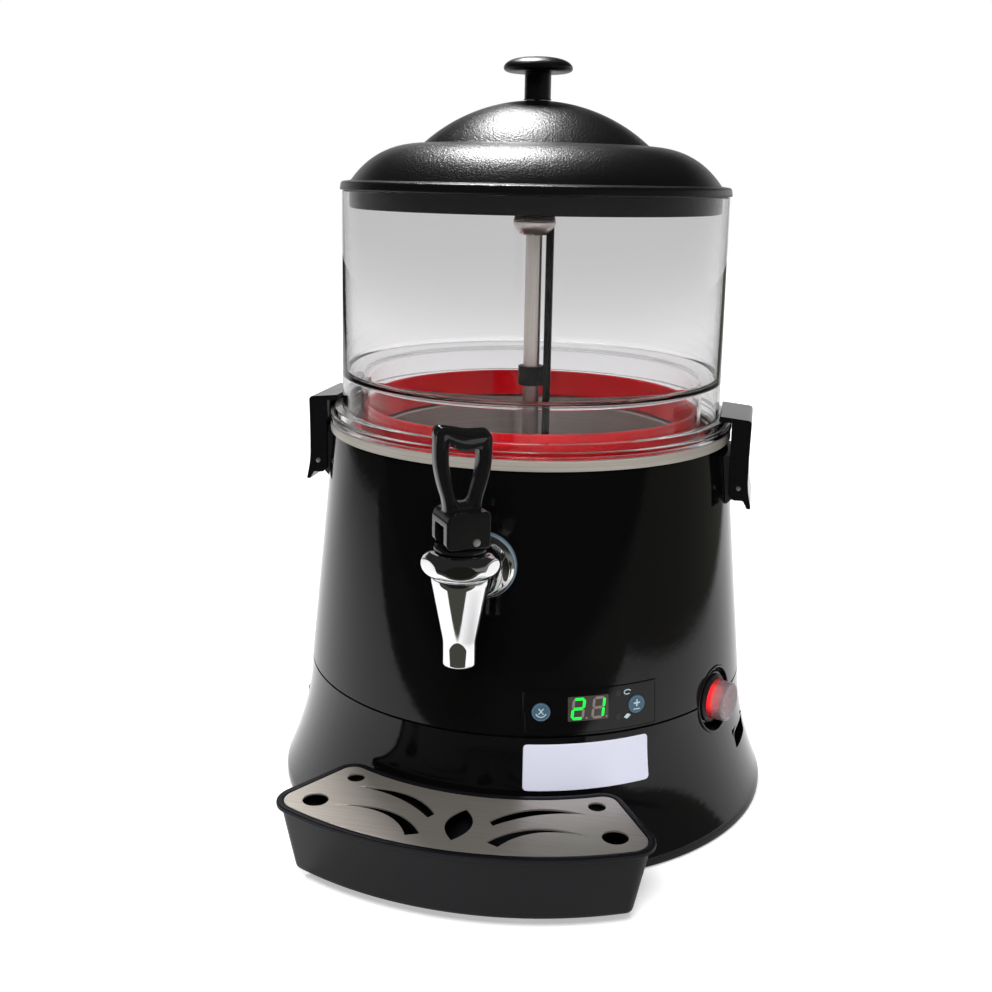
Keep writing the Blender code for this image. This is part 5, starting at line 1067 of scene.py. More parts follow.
@dataclass
class Housing:
    """The flared base and the cone above it."""

    top_radius: float = 0.128  # the cone's radius at its top
    top_z: float = 0.2348  # the cone's top
    bottom_z: float = 0.0803  # the cone's lower edge, just over the seam
    mouth: float = 0.1199  # radius of the opening in the cone's top
    foot_radius: float = 0.160  # the base's radius at its rim
    foot_z: float = 0.0015  # the base's lower edge
    rim: float = 0.0045  # height of the upright rim at the foot
    flare: float = 1.85  # how sharply the base spreads
    wall: float = 0.003  # wall thickness
    edge: float = 0.0007  # rounding of the edges at the seam
    recess_azimuth: float = 83.0  # how far round from the front the carrying recesses stand
    recess_z: float = 0.0425  # their height
    # Width, height and corner radius of their hollow.
    recess_mouth: tuple[float, float, float] = (0.031, 0.0105, 0.0022)
    recess_cup: tuple[float, float, float] = (0.035, 0.0145, 0.003)  # the same of the cup behind it
    runner_x: float = 0.035  # how far the tray's runners stand to each side
    gland_z: float = 0.04  # height of the cable gland at the back

    def cone(self, z: Array) -> Array:
        """The cone's radius: straight from the waist to the top."""
        return WAIST + (self.top_radius - WAIST) * (z - self.bottom_z) / (self.top_z - self.bottom_z)

    def base(self, z: Array) -> Array:
        """The base's radius: waist + spread (1 - share of height) ^ flare."""
        share = np.clip((z - self.foot_z - self.rim) / (SEAM_Z - self.foot_z - self.rim), 0, 1)
        return WAIST + (self.foot_radius - WAIST) * (1 - share) ** self.flare

    def upper_mesh(self) -> Mesh:
        """The cone as one turned wall.

        Returns:
            The mesh, without its holes.
        """
        under = self.top_z - self.wall
        corners = [
            (self.top_radius, self.top_z), (WAIST, self.bottom_z), (WAIST - self.wall, self.bottom_z),
            (self.cone(under) - self.wall, under), (self.mouth, under), (self.mouth, self.top_z),
        ]
        radii = [0.0009, self.edge, 0.0003, 0.001, 0.0003, 0.0003]
        return Form().lathe(corners, radii, upright(), FINEST, 5).mesh("upper_housing_skin")

    def base_mesh(self) -> Mesh:
        """The flared base, in 40 steps, with a rounded foot and a collar inside the seam.

        Returns:
            The mesh, without its holes.
        """
        z = np.linspace(SEAM_Z - self.edge, self.foot_z + self.rim, 40)
        outer = np.column_stack([self.base(z), z])
        inner = np.column_stack([self.base(z) - self.wall, z])[::-1]
        inner[-1, 1] = SEAM_Z - 0.0035
        foot_out, foot_in = (self.foot_radius, self.foot_z), (self.foot_radius - self.wall, self.foot_z)
        foot = softened([outer[-1], foot_out, foot_in, inner[0]], [0, 0.0011, 0.0006, 0], 6)
        collar_in, collar_out, collar_top = WAIST - 0.0061, WAIST - 0.0036, SEAM_Z + 0.004
        top = softened(
            [inner[-1], (collar_in, SEAM_Z - 0.003), (collar_in, collar_top), (collar_out, collar_top),
             (collar_out, SEAM_Z), (WAIST, SEAM_Z), outer[0]],
            [0, 0, 0.0004, 0.0004, 0.0002, self.edge, 0], 5,
        )
        profile = np.vstack([outer[1:-1], foot, inner[1:-1], top])
        return Form().turn(profile, upright(), FINEST).mesh("base_housing_skin")

    def recess(self, side: Side, section: Sequence[float], span: Sequence[float], edge: float) -> Mesh:
        """A rounded block at a carrying recess.

        Args:
            side: the machine's side.
            section: width, height and corner radius.
            span: where the block starts and ends, outwards from the base's skin.
            edge: rounding of its rims.

        Returns:
            The block's mesh.
        """
        place = facing(self.recess_azimuth * side.value, 0.0, self.recess_z)
        skin = float(self.base(np.array(self.recess_z)))
        outline = rounded_rectangle(*section)
        return Form().slab(outline, skin + span[0], skin + span[1], edge, place).mesh("recess")

    @staticmethod
    def key_hole(azimuth: float, radius: float) -> Mesh:
        """The cutter that makes room for a key and its travel."""
        return rod(radius, 0.10, 0.17, facing(azimuth, 0.0, KEY_HEIGHT), 64)

    def build(self) -> None:
        """Builds both housings with their openings."""
        place = facing(Switch.azimuth, 0.0, Switch.middle_z)
        switch = rod(Switch.cup_radius + 0.0002, 0.08, 0.17, place, FINE)
        holes = [cut(self.key_hole(azimuth, 0.0075)) for azimuth in KEY_AZIMUTHS.values()]
        upper = worked(self.upper_mesh(), cut(switch), *holes, sharp=28)
        smooth_round(upper, self.cone)
        piece("upper_housing_skin", upper, GLOSS, "upper_housing")
        changes = [joined(self.recess(side, self.recess_cup, (-0.018, -0.0015), 0.001)) for side in Side]
        changes += [cut(self.recess(side, self.recess_mouth, (-0.016, 0.016), 0.0012)) for side in Side]
        for x in (-self.runner_x, self.runner_x):
            changes.append(cut(block((x - 0.0084, -0.005, 0.12), (x + 0.0084, 0.0084, 0.165), facing(0))))
        changes.append(cut(rod(0.0083, 0.12, 0.17, facing(180, 0, self.gland_z))))
        base = worked(self.base_mesh(), *changes, cut(switch), sharp=28)
        smooth_round(base, self.base)
        piece("base_housing_skin", base, GLOSS, "base_housing")


@dataclass
class Bath:
    """Top ring, water bath, product dish and gasket."""

    ring_top: float = 0.2379  # top of the stainless ring
    ring_radius: float = 0.130  # its outer radius
    ring_mouth: float = 0.1185  # its inner radius
    ring_drop: float = 0.0061  # how far its outer edge turns down
    dish_rim: float = 0.2303  # top of the dish's rim
    dish_reach: float = 0.1178  # radius of the dish's rim
    dish_floor: float = 0.170  # inside of the dish's floor
    gasket_radius: float = 0.1085  # outer radius of the gasket's wall
    gasket_low: float = 0.2306  # underside of the gasket's foot
    gasket_height: float = 0.0179  # height of the gasket

    def build_ring(self) -> None:
        """The ring: a flat band turned down at its outer edge, 1.5 mm sheet."""
        top, low, sheet, out = self.ring_top, self.ring_top - self.ring_drop, 0.0015, self.ring_radius
        corners = [
            (out, top), (out, low), (out - sheet, low), (out - sheet, top - sheet),
            (self.ring_mouth, top - sheet), (self.ring_mouth, top),
        ]
        radii = [0.0011, 0.0003, 0.0003, 0.0004, 0.0005, 0.0005]
        piece("top_ring_band", Form().lathe(corners, radii, upright()), RING_STEEL, "top_ring")

    def build_dish(self) -> None:
        """The dish: a deep round pan of 1 mm sheet with a flat rim and its outlet stub."""
        rim, floor, sheet, out, hub = self.dish_rim, self.dish_floor, 0.001, self.dish_reach, 0.0056
        corners = [
            (hub, floor), (0.0995, floor), (0.103, rim - 0.0008), (out, rim),
            (out, rim - sheet), (0.104, rim - sheet), (0.1005, floor - sheet), (hub, floor - sheet),
        ]
        radii = [0.0001, 0.013, 0.0015, 0.0003, 0.0003, 0.0015, 0.014, 0.0001]
        form = Form().lathe(corners, radii, upright(), steps=8)
        stub = [(0.0098, 0.0865), (0.0098, 0.118), (0.008, 0.118), (0.008, 0.0865)]
        form.lathe(stub, 0.0003, facing(0, 0, Tap.z), 48, 3)
        piece("dish_pressing", form, PAN_STEEL, "product_dish")

    def build_gasket(self) -> None:
        """The gasket: an upright lip on a flat foot, softly rounded."""
        low, out = self.gasket_low, self.gasket_radius
        top, foot, foot_top, inner = low + self.gasket_height, out + 0.0065, low + 0.0011, out - 0.0035
        corners = [(out, top), (out, foot_top), (foot, foot_top), (foot, low), (inner, low), (inner, top)]
        radii = [0.0012, 0.0003, 0.0004, 0.0004, 0.0005, 0.0012]
        piece("gasket_ring", Form().lathe(corners, radii, upright()), RED_RUBBER, "bowl_gasket")

    def build(self) -> None:
        """Builds the visible rings and dresses what is hidden under them."""
        self.build_ring()
        self.build_dish()
        self.build_gasket()
        dressed(PAN_STEEL, "bath_pan")
        dressed(ZINC, "heating_element", "gear_motor", "motor_bracket")
        dressed(SATIN, "thermostat")


@dataclass
class Bowl:
    """The clear bowl: a tall cylinder with a stepped flange, an inner shoulder and a skirt."""

    radius: float = 0.1222  # outside radius
    wall: float = 0.0019  # wall thickness
    low: float = 0.2382  # underside of the flange
    top: float = 0.3830  # rim
    step_reach: float = 0.1275  # radius of the flange's upper step
    flange_reach: float = 0.1305  # radius of the flange
    skirt: float = 0.1088  # inner radius of the skirt
    skirt_low: float = 0.2320  # the skirt's lower edge

    def build(self) -> None:
        """Turns the moulded section, every corner rounded as a mould leaves it."""
        low, inner, skirt = self.low, self.radius - self.wall, self.skirt
        flange, step, shoulder, skirt_out = low + 0.0043, low + 0.0083, low + 0.0313, skirt + 0.0018
        corners = [
            (self.radius, self.top), (self.radius, step), (self.step_reach, step), (self.step_reach, flange),
            (self.flange_reach, flange), (self.flange_reach, low), (inner, low), (inner, shoulder - 0.0020),
            (skirt_out, shoulder - 0.0060), (skirt_out, self.skirt_low), (skirt, self.skirt_low),
            (skirt, shoulder - 0.004), (inner, shoulder), (inner, self.top),
        ]
        radii = [.0008, .0005, .0006, .0005, .0009, .0009, .0008, .001, .001, .0006, .0006, .0024, .0028,
                 .0008]
        piece("bowl_moulding", Form().lathe(corners, radii, upright(), FINEST, 7), CLEAR, "bowl")


@dataclass
class Lid:
    """The two-tier lid and its mushroom knob."""

    seat: float = 0.3833  # where the flange rests on the bowl
    top: float = 0.4405  # top of the dome
    sphere: float = 0.1065  # radius of the dome's curve
    crease: float = 0.0715  # radius at which the dome meets the lower tier
    tier: float = 0.1168  # radius of the lower tier's foot
    tier_rise: float = 0.0062  # height of that foot over the seat
    flange: float = 0.1238  # the flange's radius
    wall: float = 0.0024  # wall thickness
    lip: tuple[float, float] = (0.1156, 0.118)  # inner and outer radius of the lip that stands in the bowl
    # The knob's radius, its height, the height of its head and the radius of its neck.
    knob: tuple[float, float, float, float] = (0.0218, 0.026, 0.0095, 0.0083)

    def line(self) -> Array:
        """The outer line: a spherical dome, a crease, and a tier that bulges as a quadratic bend.

        Returns:
            The line as (radius, height) rows, from the axis outwards.
        """
        r = np.linspace(0, self.crease, 40)
        dome = np.column_stack([r, self.top - self.sphere + np.sqrt(self.sphere**2 - r**2)])
        start = np.array([self.crease + 0.0012, dome[-1, 1]])
        foot = np.array([self.tier, self.seat + self.tier_rise])
        bulge = np.array([start[0] + (foot[0] - start[0]) * 0.64, foot[1] + (start[1] - foot[1]) * 0.97])
        t = np.linspace(0, 1, 32)[:, None]
        return np.vstack([dome, start * (1 - t) ** 2 + bulge * 2 * t * (1 - t) + foot * t**2])

    def build_lid(self) -> None:
        """Turns the lid as a wall of even thickness, and the lip that stands inside the bowl."""
        outer, seat, (lip_in, lip_out) = self.line(), self.seat, self.lip
        run = np.gradient(outer, axis=0)
        run /= np.linalg.norm(run, axis=1)[:, None]
        inner = (outer + np.column_stack([run[:, 1], -run[:, 0]]) * self.wall)[::-1]
        inner = inner[(inner[:, 0] < 0.113) & (inner[:, 0] >= 0)]
        rim = softened(
            [(self.tier, seat + self.tier_rise), (self.flange - 0.0008, seat + 0.0052), (self.flange, seat),
             (lip_in, seat), tuple(inner[0])],
            [0, 0.0016, 0.0012, 0.0003, 0], 6,
        )
        inner[-1, 0] = 0
        form = Form().turn(np.vstack([outer, rim, inner]), upright(), FINEST, closed=False)
        piece("lid_moulding", form.mesh("lid_moulding", 40), LID, "lid", body="lid")
        high, low = seat + 0.0002, seat - 0.0113
        lip = [(lip_out, high), (lip_out, low), (lip_in, low), (lip_in, high)]
        form = Form().lathe(lip, [0.0002, 0.0009, 0.0009, 0.0002], upright(), FINEST, 5)
        # The lip takes the darker copy of the black, painted shade for its place inside the bowl.
        piece("lid_skirt", form, SHADED_INNER_BLACK, body="lid")

    def build_knob(self) -> None:
        """Turns the knob, a flat-topped head on a short neck, and dresses its screw."""
        cap, height, head, neck = self.knob
        low = self.top + 0.0003
        shares = np.array([
            (0.0, 1.0), (0.36, 1.0), (0.60, 0.93), (0.80, 0.79), (0.93, 0.60), (1.0, 0.38), (0.985, 0.16),
            (0.90, 0.04), (0.80, 0.0),
        ])
        crown = np.column_stack([shares[:, 0] * cap, low + height - head + head * shares[:, 1]])
        stalk = [(neck, low + height - head), (neck, low + 0.0006), (neck + 0.0006, low), (0, low)]
        radii = [0, .006, .006, .005, .004, .003, .002, .002, .001, .0012, .001, .0002, 0]
        form = Form().lathe(np.vstack([crown, stalk]), radii, upright(), FINE)
        piece("knob_moulding", form.mesh("knob_moulding", 50), LID, "lid_knob", body="lid")
        dressed(ZINC, "knob_screw")

    def build(self) -> None:
        """Builds both."""
        self.build_lid()
        self.build_knob()


@dataclass
class Mixer:
    """The tube up the middle, and the frame that turns about it."""

    azimuth: float = 95.0  # where the frame's upright bar stands
    offset: float = 0.0103  # the bar's distance from the axis
    top: float = 0.3636  # underside of the cap
    floor: float = 0.173  # underside of the frame
    bore: float = 0.0057  # radius of the frame's collars over the tube
    # Radius, underside and top of the collar half way up.
    collar: tuple[float, float, float] = (0.0085, 0.2575, 0.2700)

    @staticmethod
    def bar(form: Form, low: Sequence[float], high: Sequence[float], edge: float, turn: float) -> None:
        """Adds a rounded bar between two corners: X out from the axis, Y up, as a slab along Z."""
        corners = [(low[0], low[1]), (high[0], low[1]), (high[0], high[1]), (low[0], high[1])]
        form.slab(softened(corners, edge, 4, closed=True), low[2], high[2], edge, beside(turn), 3)

    def build_tube(self) -> None:
        """Turns the tube, the cap over it and the skirt under the cap."""
        tube = [(0.0053, 0.3632), (0.0053, 0.1485), (0.0043, 0.1485), (0.0043, 0.3632)]
        piece("tube_column", Form().lathe(tube, 0.0003, upright(), 48, 3), TUBE_STEEL, "centre_tube")
        rises = [(0, 0.0078), (0.0027, 0.0078), (0.0049, 0.0073), (0.0096, 0.0056), (0.0127, 0.0031),
                 (0.0137, 0), (0.0034, 0), (0.0034, 0.0055), (0, 0.0055)]
        dome = [(radius, self.top + rise) for radius, rise in rises]
        cap = Form().lathe(dome, [0, .001, .002, .002, .001, .0004, .0002, .0003, 0], upright(), FINE, 5)
        piece("cap_turning", cap, CAP_METAL, "mixer_cap", body="mixer")
        drops = [(0.0137, 0), (0.0134, 0.0022), (0.0122, 0.0050), (0.0102, 0.0074), (0.0086, 0.0086),
                 (0.0079, 0.0086), (0.0094, 0.0070), (0.0112, 0.0048), (0.0124, 0.0020), (0.0127, 0)]
        skirt = [(radius, self.top - 0.0003 - drop) for radius, drop in drops]
        piece("cap_skirt", Form().lathe(skirt, 0.002, upright(), FINE, 4), CAP_METAL, body="mixer")

    def build_frame(self) -> None:
        """Builds collars, bar, arms and paddles as one moulding."""
        under, floor, bore = self.top - 0.0003, self.floor, self.bore
        form = Form()
        for out, low, high in ((0.0076, under - 0.0047, under), self.collar, (0.0125, floor, floor + 0.007)):
            form.lathe([(out, high), (out, low), (bore, low), (bore, high)], 0.0006, upright(), 64, 4)
        near, far = self.offset - 0.0024, self.offset + 0.0024
        self.bar(form, (near, floor + 0.0006, -0.003), (far, under - 0.0006, 0.003), 0.0007, self.azimuth)
        for turn in (self.azimuth, self.azimuth + 180):
            self.bar(form, (0.0097, floor + 0.0006, -0.005), (0.086, floor + 0.0046, 0.005), 0.0008, turn)
            self.bar(form, (0.078, floor + 0.0012, -0.0044), (0.082, floor + 0.033, 0.0044), 0.0009, turn)
        # The frame takes the darker copy of the black, painted shade for its place inside the bowl.
        piece("mixer_moulding", form, SHADED_INNER_BLACK, "mixer_frame", body="mixer")
        dressed(TUBE_STEEL, "drive_shaft")

    def build(self) -> None:
        """Builds both."""
        self.build_tube()
        self.build_frame()


@dataclass
class Clips:
    """The two side clips, their brackets and hinge pins."""

    pin_x: float = 0.137  # the hinge pin's distance from the axis
    pin_z: float = 0.206  # the hinge pin's height
    bore: float = 0.0018  # radius of the pin's hole
    half: float = 0.028  # half the clip's width
    sheet: float = 0.0025  # wall thickness
    roof: float = 0.0408  # height of the clip's roof over the pin
    face: float = 0.1432  # the outer plate's distance from the axis

    def outline(self) -> Array:
        """The side view from the pin, X outwards: roof, outer plate with a flared lip, and cheek.

        Returns:
            The closed outline.
        """
        reach, cheek, out, roof = 0.1232 - self.pin_x, 0.131 - self.pin_x, self.face - self.pin_x, self.roof
        points = [
            (reach, roof), (cheek, roof), (cheek, -0.005), (cheek + 0.003, -0.008), (out - 0.0031, -0.008),
            (out - 0.0005, -0.013), (out + 0.002, -0.013), (out - 0.0006, 0.0), (out - 0.0006, roof / 2),
            (out, roof + 0.0018), (reach, roof + 0.0038),
        ]
        radii = [0.0009, 0.0003, 0.001, 0.001, 0.001, 0.0008, 0.001, 0.008, 0.01, 0.0025, 0.0009]
        return softened(points, radii, 6, True)

    def build_clip(self, name: str, place: Place, bore: Mesh) -> None:
        """One clip, hollowed and bored, and its pin.

        Args:
            name: the side's name.
            place: the pin's frame.
            bore: the cutter for the pin's hole.
        """
        shell = Form().slab(self.outline(), -self.half, self.half, 0.0004, place, 3).mesh("shell")
        inner, half = self.face - self.pin_x - 0.0006 - self.sheet, self.half - self.sheet
        hollow = block((0.1222 - self.pin_x, -0.012, -half), (inner, self.roof, half), place)
        clip = flat_ends(worked(shell, cut(hollow), cut(bore), sharp=30))
        piece(f"clip_{name}_shell", clip, CLIP_GLOSS, f"clip_{name}", body=f"clip_{name}")
        pin = [(0, 0.0283), (0.0015, 0.0283), (0.0015, -0.0283), (0, -0.0283)]
        piece(f"clip_{name}_pin", Form().lathe(pin, 0.0003, place, 32, 4), PIN_STEEL, f"clip_pin_{name}")

    def build_bracket(self, name: str, place: Place, bore: Mesh) -> None:
        """The bracket that carries the pin, fitted to the cone behind it.

        Args:
            name: the side's name.
            place: the pin's frame.
            bore: the cutter for the pin's hole.
        """
        root, tail, tip, out = 0.125 - self.pin_x, 0.130 - self.pin_x, 0.0027, 0.1392 - self.pin_x
        points = [(root, 0.019), (root, -0.0115), (tail, -0.0115), (tip / 2, -tip), (tip, 0), (out, tip * 2),
                  (out, 0.019)]
        outline = softened(points, [0, 0, tip / 2, tip, tip, tip, tip / 2], 5, True)
        bracket = Form().slab(outline, -0.025, 0.025, 0.0006, place, 3).mesh(f"bracket_{name}")
        core = np.array([(0, 0.24), (0.1278, 0.24), (0.1428, 0.0803), (0, 0.0803)])
        core_mesh = Form().turn(core, upright(), ROUND, False).mesh("core")
        mesh = worked(bracket, cut(core_mesh), cut(bore), sharp=30)
        piece(f"bracket_{name}", mesh, SATIN, f"clip_bracket_{name}")

    def build(self) -> None:
        """Both sides."""
        for side in Side:
            place = beside(90.0 * side.value, self.pin_x, self.pin_z)
            bore = rod(self.bore, -0.032, 0.032, place, 32)
            self.build_clip(side.name.lower(), place, bore)
            self.build_bracket(side.name.lower(), place, bore)


@dataclass
class Tap:
    """The chrome tap with its bonnet, escutcheon and washer."""

    z: float = 0.1783  # height of its shank
    flat: float = 0.0193  # half the bonnet's width across flats
    barrel: float = 0.0210  # the bonnet's greatest radius
    flat_azimuth: float = 13.5  # where one of the flats faces
    bonnet_low: float = 0.1901  # the bonnet's underside
    bonnet_rise: float = 0.0135  # the bonnet's height
    stem_bore: float = 0.0036  # radius of the hole for the stem
    boss_flat: float = 0.01365  # half the width across flats of the boss on the escutcheon
    shank_bore: float = 0.0113  # inner radius of escutcheon and washer

    def build_body(self) -> None:
        """The tapered spout, open at its mouth, and the shank that goes through the wall."""
        top, cone, low = self.z + 0.0115, self.z - 0.0244, self.z - 0.0368
        corners = [
            (0.0098, top), (0.0154, top), (0.0154, top - 0.003), (0.0088, cone), (0.0088, low), (0.0065, low),
            (0.0065, self.z - 0.0119), (0.0098, self.z - 0.0084),
        ]
        radii = [0.0003, 0.0008, 0.001, 0.0025, 0.0012, 0.0006, 0.0006, 0.0006]
        form = Form().lathe(corners, radii, upright(TAP_Y), FINE, 8)
        shank = [(0, 0.1885), (0.011, 0.1885), (0.011, 0.1138), (0, 0.1138)]
        piece("tap_casting", form.lathe(shank, 0.0004, facing(0, 0, self.z), 64, 3), CHROME, "tap_body")

    def build_bonnet(self) -> None:
        """A barrel whose reach is the lesser of its own radius and a hexagon's, softly blended."""
        low, high, bore, cup = self.bonnet_low, self.bonnet_low + self.bonnet_rise, self.stem_bore, 0.0102
        shares = softened(
            [(0.72, 1), (0.80, 0.955), (0.955, 0.76), (1, 0.48), (0.955, 0.24), (0.80, 0.04), (0.74, 0)],
            [0, 0.06, 0.2, 0.2, 0.2, 0.06, 0], 8,
        )
        a = np.linspace(0, 2 * np.pi, 288, endpoint=False)
        shape = (len(shares), len(a))
        hexagon = hexagon_reach(a, self.flat, math.radians(self.flat_azimuth))
        reach = soft_least(
            np.broadcast_to(shares[:, :1] * self.barrel, shape), np.broadcast_to(hexagon, shape), 0.00022)
        z = np.broadcast_to(low + self.bonnet_rise * shares[:, 1:], shape)
        outer = np.stack([reach * np.sin(a), -reach * np.cos(a), z], axis=2)
        inside = [(0.0088, low), (0.0088, low + cup), (bore, low + cup), (bore, high)]
        inner = turned(np.array(inside), len(a))
        form = Form().grid(np.concatenate([outer, inner]), upright(TAP_Y), wrap_rows=True)
        piece("bonnet_nut", form.mesh("bonnet_nut", 50), CHROME, "tap_bonnet")

    def build_escutcheon(self) -> None:
        """A dished disc with a hexagon boss against the tap, and a soft washer behind it."""
        face, bore, disc = 0.1333 + 0.0034 + 0.0003, self.shank_bore, 0.0034
        a = np.linspace(0, 2 * np.pi, ROUND, endpoint=False)
        line = softened(
            [(bore, 0.0130), (0.0140, 0.0130), (0.0158, 0.0112), (0.0158, 0.0032), (0.0172, 0.0026),
             (0.0183, 0.0010), (0.0183, 0.0), (bore, 0.0)],
            [0, 0.0006, 0.001, 0.0006, 0.001, 0.0006, 0.0003, 0], 6,
        )
        line[:, 1] += face
        circle_reach = np.broadcast_to(line[:, :1], (len(line), len(a)))
        boss = np.broadcast_to(hexagon_reach(a, self.boss_flat, 0.0), circle_reach.shape)
        is_boss = (line[:, 1:] > face + disc) & (line[:, :1] > 0.0125)
        reach = np.where(is_boss, soft_least(circle_reach, boss, 0.0002), circle_reach)
        out = np.broadcast_to(line[:, 1:], reach.shape)
        rows = np.stack([reach * np.cos(a), reach * np.sin(a), out], axis=2)
        place = facing(0, 0, self.z)
        mesh = Form().grid(rows, place, wrap_rows=True).mesh("escutcheon_disc", 38)
        piece("escutcheon_disc", mesh, CHROME, "tap_escutcheon")
        washer = [(0.0190, 0.1367), (0.0190, 0.1325), (bore, 0.1325), (bore, 0.1367)]
        piece("washer_ring", Form().lathe(washer, 0.0009, place, FINE, 5), GREY_RUBBER, "tap_washer")

    def build(self) -> None:
        """Builds the tap and dresses its hidden fittings."""
        self.build_body()
        self.build_bonnet()
        self.build_escutcheon()
        dressed(ZINC, "tap_nut")
        dressed(BLACK_RUBBER, "outlet_seal", "seat_cup")
        dressed(PIN_STEEL, "valve_stem", "valve_spring")


@dataclass
class Lever:
    """The ring lever on its block, its pin and the swivel disc."""

    azimuth: float = -56.0  # which way the lever faces
    pin_z: float = 0.2102  # the pin's height
    setback: float = 0.0039  # how far the pin stands behind the tap's axis
    ring_low: float = 0.0100  # where the ring starts over the pin
    ring_rise: float = 0.0502  # the ring's height
    ring_half: float = 0.0155  # half the ring's width
    ring_deep: float = 0.005  # half the ring's thickness
    # Bearings between which the fingers hold the ring.
    grip: tuple[float, float] = (math.radians(48), math.radians(132))
    # The ring's outer corners, as shares of half its width and of its height.
    outer: tuple = (
        (-0.62, 0.0), (-0.65, 0.17), (-0.84, 0.35), (-1.0, 0.57), (-1.0, 0.93), (-0.15, 0.925),
        (0.30, 0.955), (1.0, 1.0), (1.0, 0.57), (0.84, 0.35), (0.65, 0.17), (0.62, 0.0),
    )
    # Rounding of those corners, as shares of half its width.
    outer_round: tuple = (0.05, 0.3, 0.6, 0.8, 0.40, 0.9, 0.9, 0.42, 0.8, 0.6, 0.3, 0.05)
    # The corners of the ring's window.
    window: tuple = (
        (0.20, 0.184), (0.50, 0.50), (0.53, 0.80), (0.16, 0.715), (-0.16, 0.70), (-0.53, 0.74), (-0.50, 0.50),
        (-0.20, 0.184),
    )
    window_round: tuple = (0.10, 0.5, 0.10, 0.5, 0.5, 0.12, 0.5, 0.10)  # rounding of those corners

    def loop(self, shares: Sequence[tuple], rounds: Sequence[float], count: int) -> Array:
        """An outline of the ring, evenly spaced.

        Args:
            shares: its corners, as shares of half the ring's width and of its height.
            rounds: their rounding, as shares of half the ring's width.
            count: how many points it gets.

        Returns:
            The outline about the pin.
        """
        half, rise = self.ring_half, self.ring_rise
        points = [(self.setback + half * across, self.ring_low + rise * up) for across, up in shares]
        return resampled(softened(points, [half * part for part in rounds], 8, closed=True), count)

    def ring(self, place: Place) -> Form:
        """The ring: a rounded section carried round the loop between two outlines.

        At each bearing from the window's middle the section spans the two outlines. It is the
        superellipse (|cos t|^0.62, |sin t|^0.62), and on the grip its reach is fluted by cos 9t.

        Args:
            place: the pin's frame.

        Returns:
            The ring's form.
        """
        outer = self.loop(self.outer, self.outer_round, 220)
        inner = self.loop(self.window, self.window_round, 400)
        middle = np.array([self.setback, self.ring_low + self.ring_rise * 0.47])
        bearing = np.arctan2(*(outer - middle).T[::-1])
        inside = np.arctan2(*(inner - middle).T[::-1])
        order = np.argsort(inside)
        span = np.linalg.norm(inner - middle, axis=1)[order]
        near = np.interp(bearing, inside[order], span, period=2 * np.pi)
        near = middle + np.column_stack([np.cos(bearing), np.sin(bearing)]) * near[:, None]
        t = np.linspace(0, 2 * np.pi, 40, endpoint=False)
        across, through = (np.sign(part) * np.abs(part) ** 0.62 for part in (np.cos(t), np.sin(t)))
        first, last = self.grip
        grip = np.clip((bearing - first) / 0.25, 0, 1) * np.clip((last - bearing) / 0.25, 0, 1)
        flute = 1 + 0.105 * grip[:, None] * np.cos(9 * t)[None, :]
        centre, half = (outer + near) / 2, (outer - near) / 2
        flat = centre[:, None] + half[:, None] * (across * flute)[..., None]
        thick = self.ring_deep * (1 + 0.1 * grip[:, None]) * through * flute
        return Form().grid(np.concatenate([flat, thick[..., None]], axis=2), place, wrap_rows=True)

    def build_lever(self, place: Place) -> None:
        """Joins ring and block, cuts the slot and the pin's hole, and softens the whole as moulded.

        Args:
            place: the pin's frame.
        """
        front, back, low, rise, slot_half = 0.0159, -0.0081, -0.004, 0.0155, 0.0065
        corners = [(back, low), (front, low), (front, rise), (back, rise)]
        outline = softened(corners, [0.0025, 0.004, 0.007, 0.0025], 8, True)
        body = Form().slab(outline, -0.012, 0.012, 0.001, place).mesh("lever_moulding")
        slot = block((-0.0077, low - 0.004, -slot_half), (front + 0.004, 0.0078, slot_half), place)
        mesh = worked(
            body, joined(self.ring(place).mesh("ring")), cut(slot),
            ("REMESH", {"mode": "VOXEL", "voxel_size": 0.00032, "adaptivity": 0.0}),
            ("SMOOTH", {"factor": 0.6, "iterations": 6}),
            cut(rod(0.0024, -0.02, 0.02, place, 32)), sharp=40,
        )
        piece("lever_moulding", mesh, LEVER_GLOSS, "tap_lever", body="lever")

    def build(self) -> None:
        """Builds the lever, its pin and the disc that it turns on."""
        place = beside(self.azimuth, -self.setback, self.pin_z, TAP_Y)
        self.build_lever(place)
        pin = [(0, 0.0123), (0.0022, 0.0123), (0.0022, -0.0123), (0, -0.0123)]
        form = Form().lathe(pin, 0.0005, place, 40, 5)
        piece("lever_pin_turning", form, PIN_STEEL, "lever_pin", body="stem")
        high, low, out, bore = 0.2059, 0.2039, 0.0142, Tap.stem_bore
        corners = [(out, high), (out, low), (bore, low), (bore, high)]
        disc = Form().lathe(corners, 0.0005, upright(TAP_Y), FINE, 4)
        piece("swivel_washer", disc, LEVER_GLOSS, "swivel_disc", body="swivel")


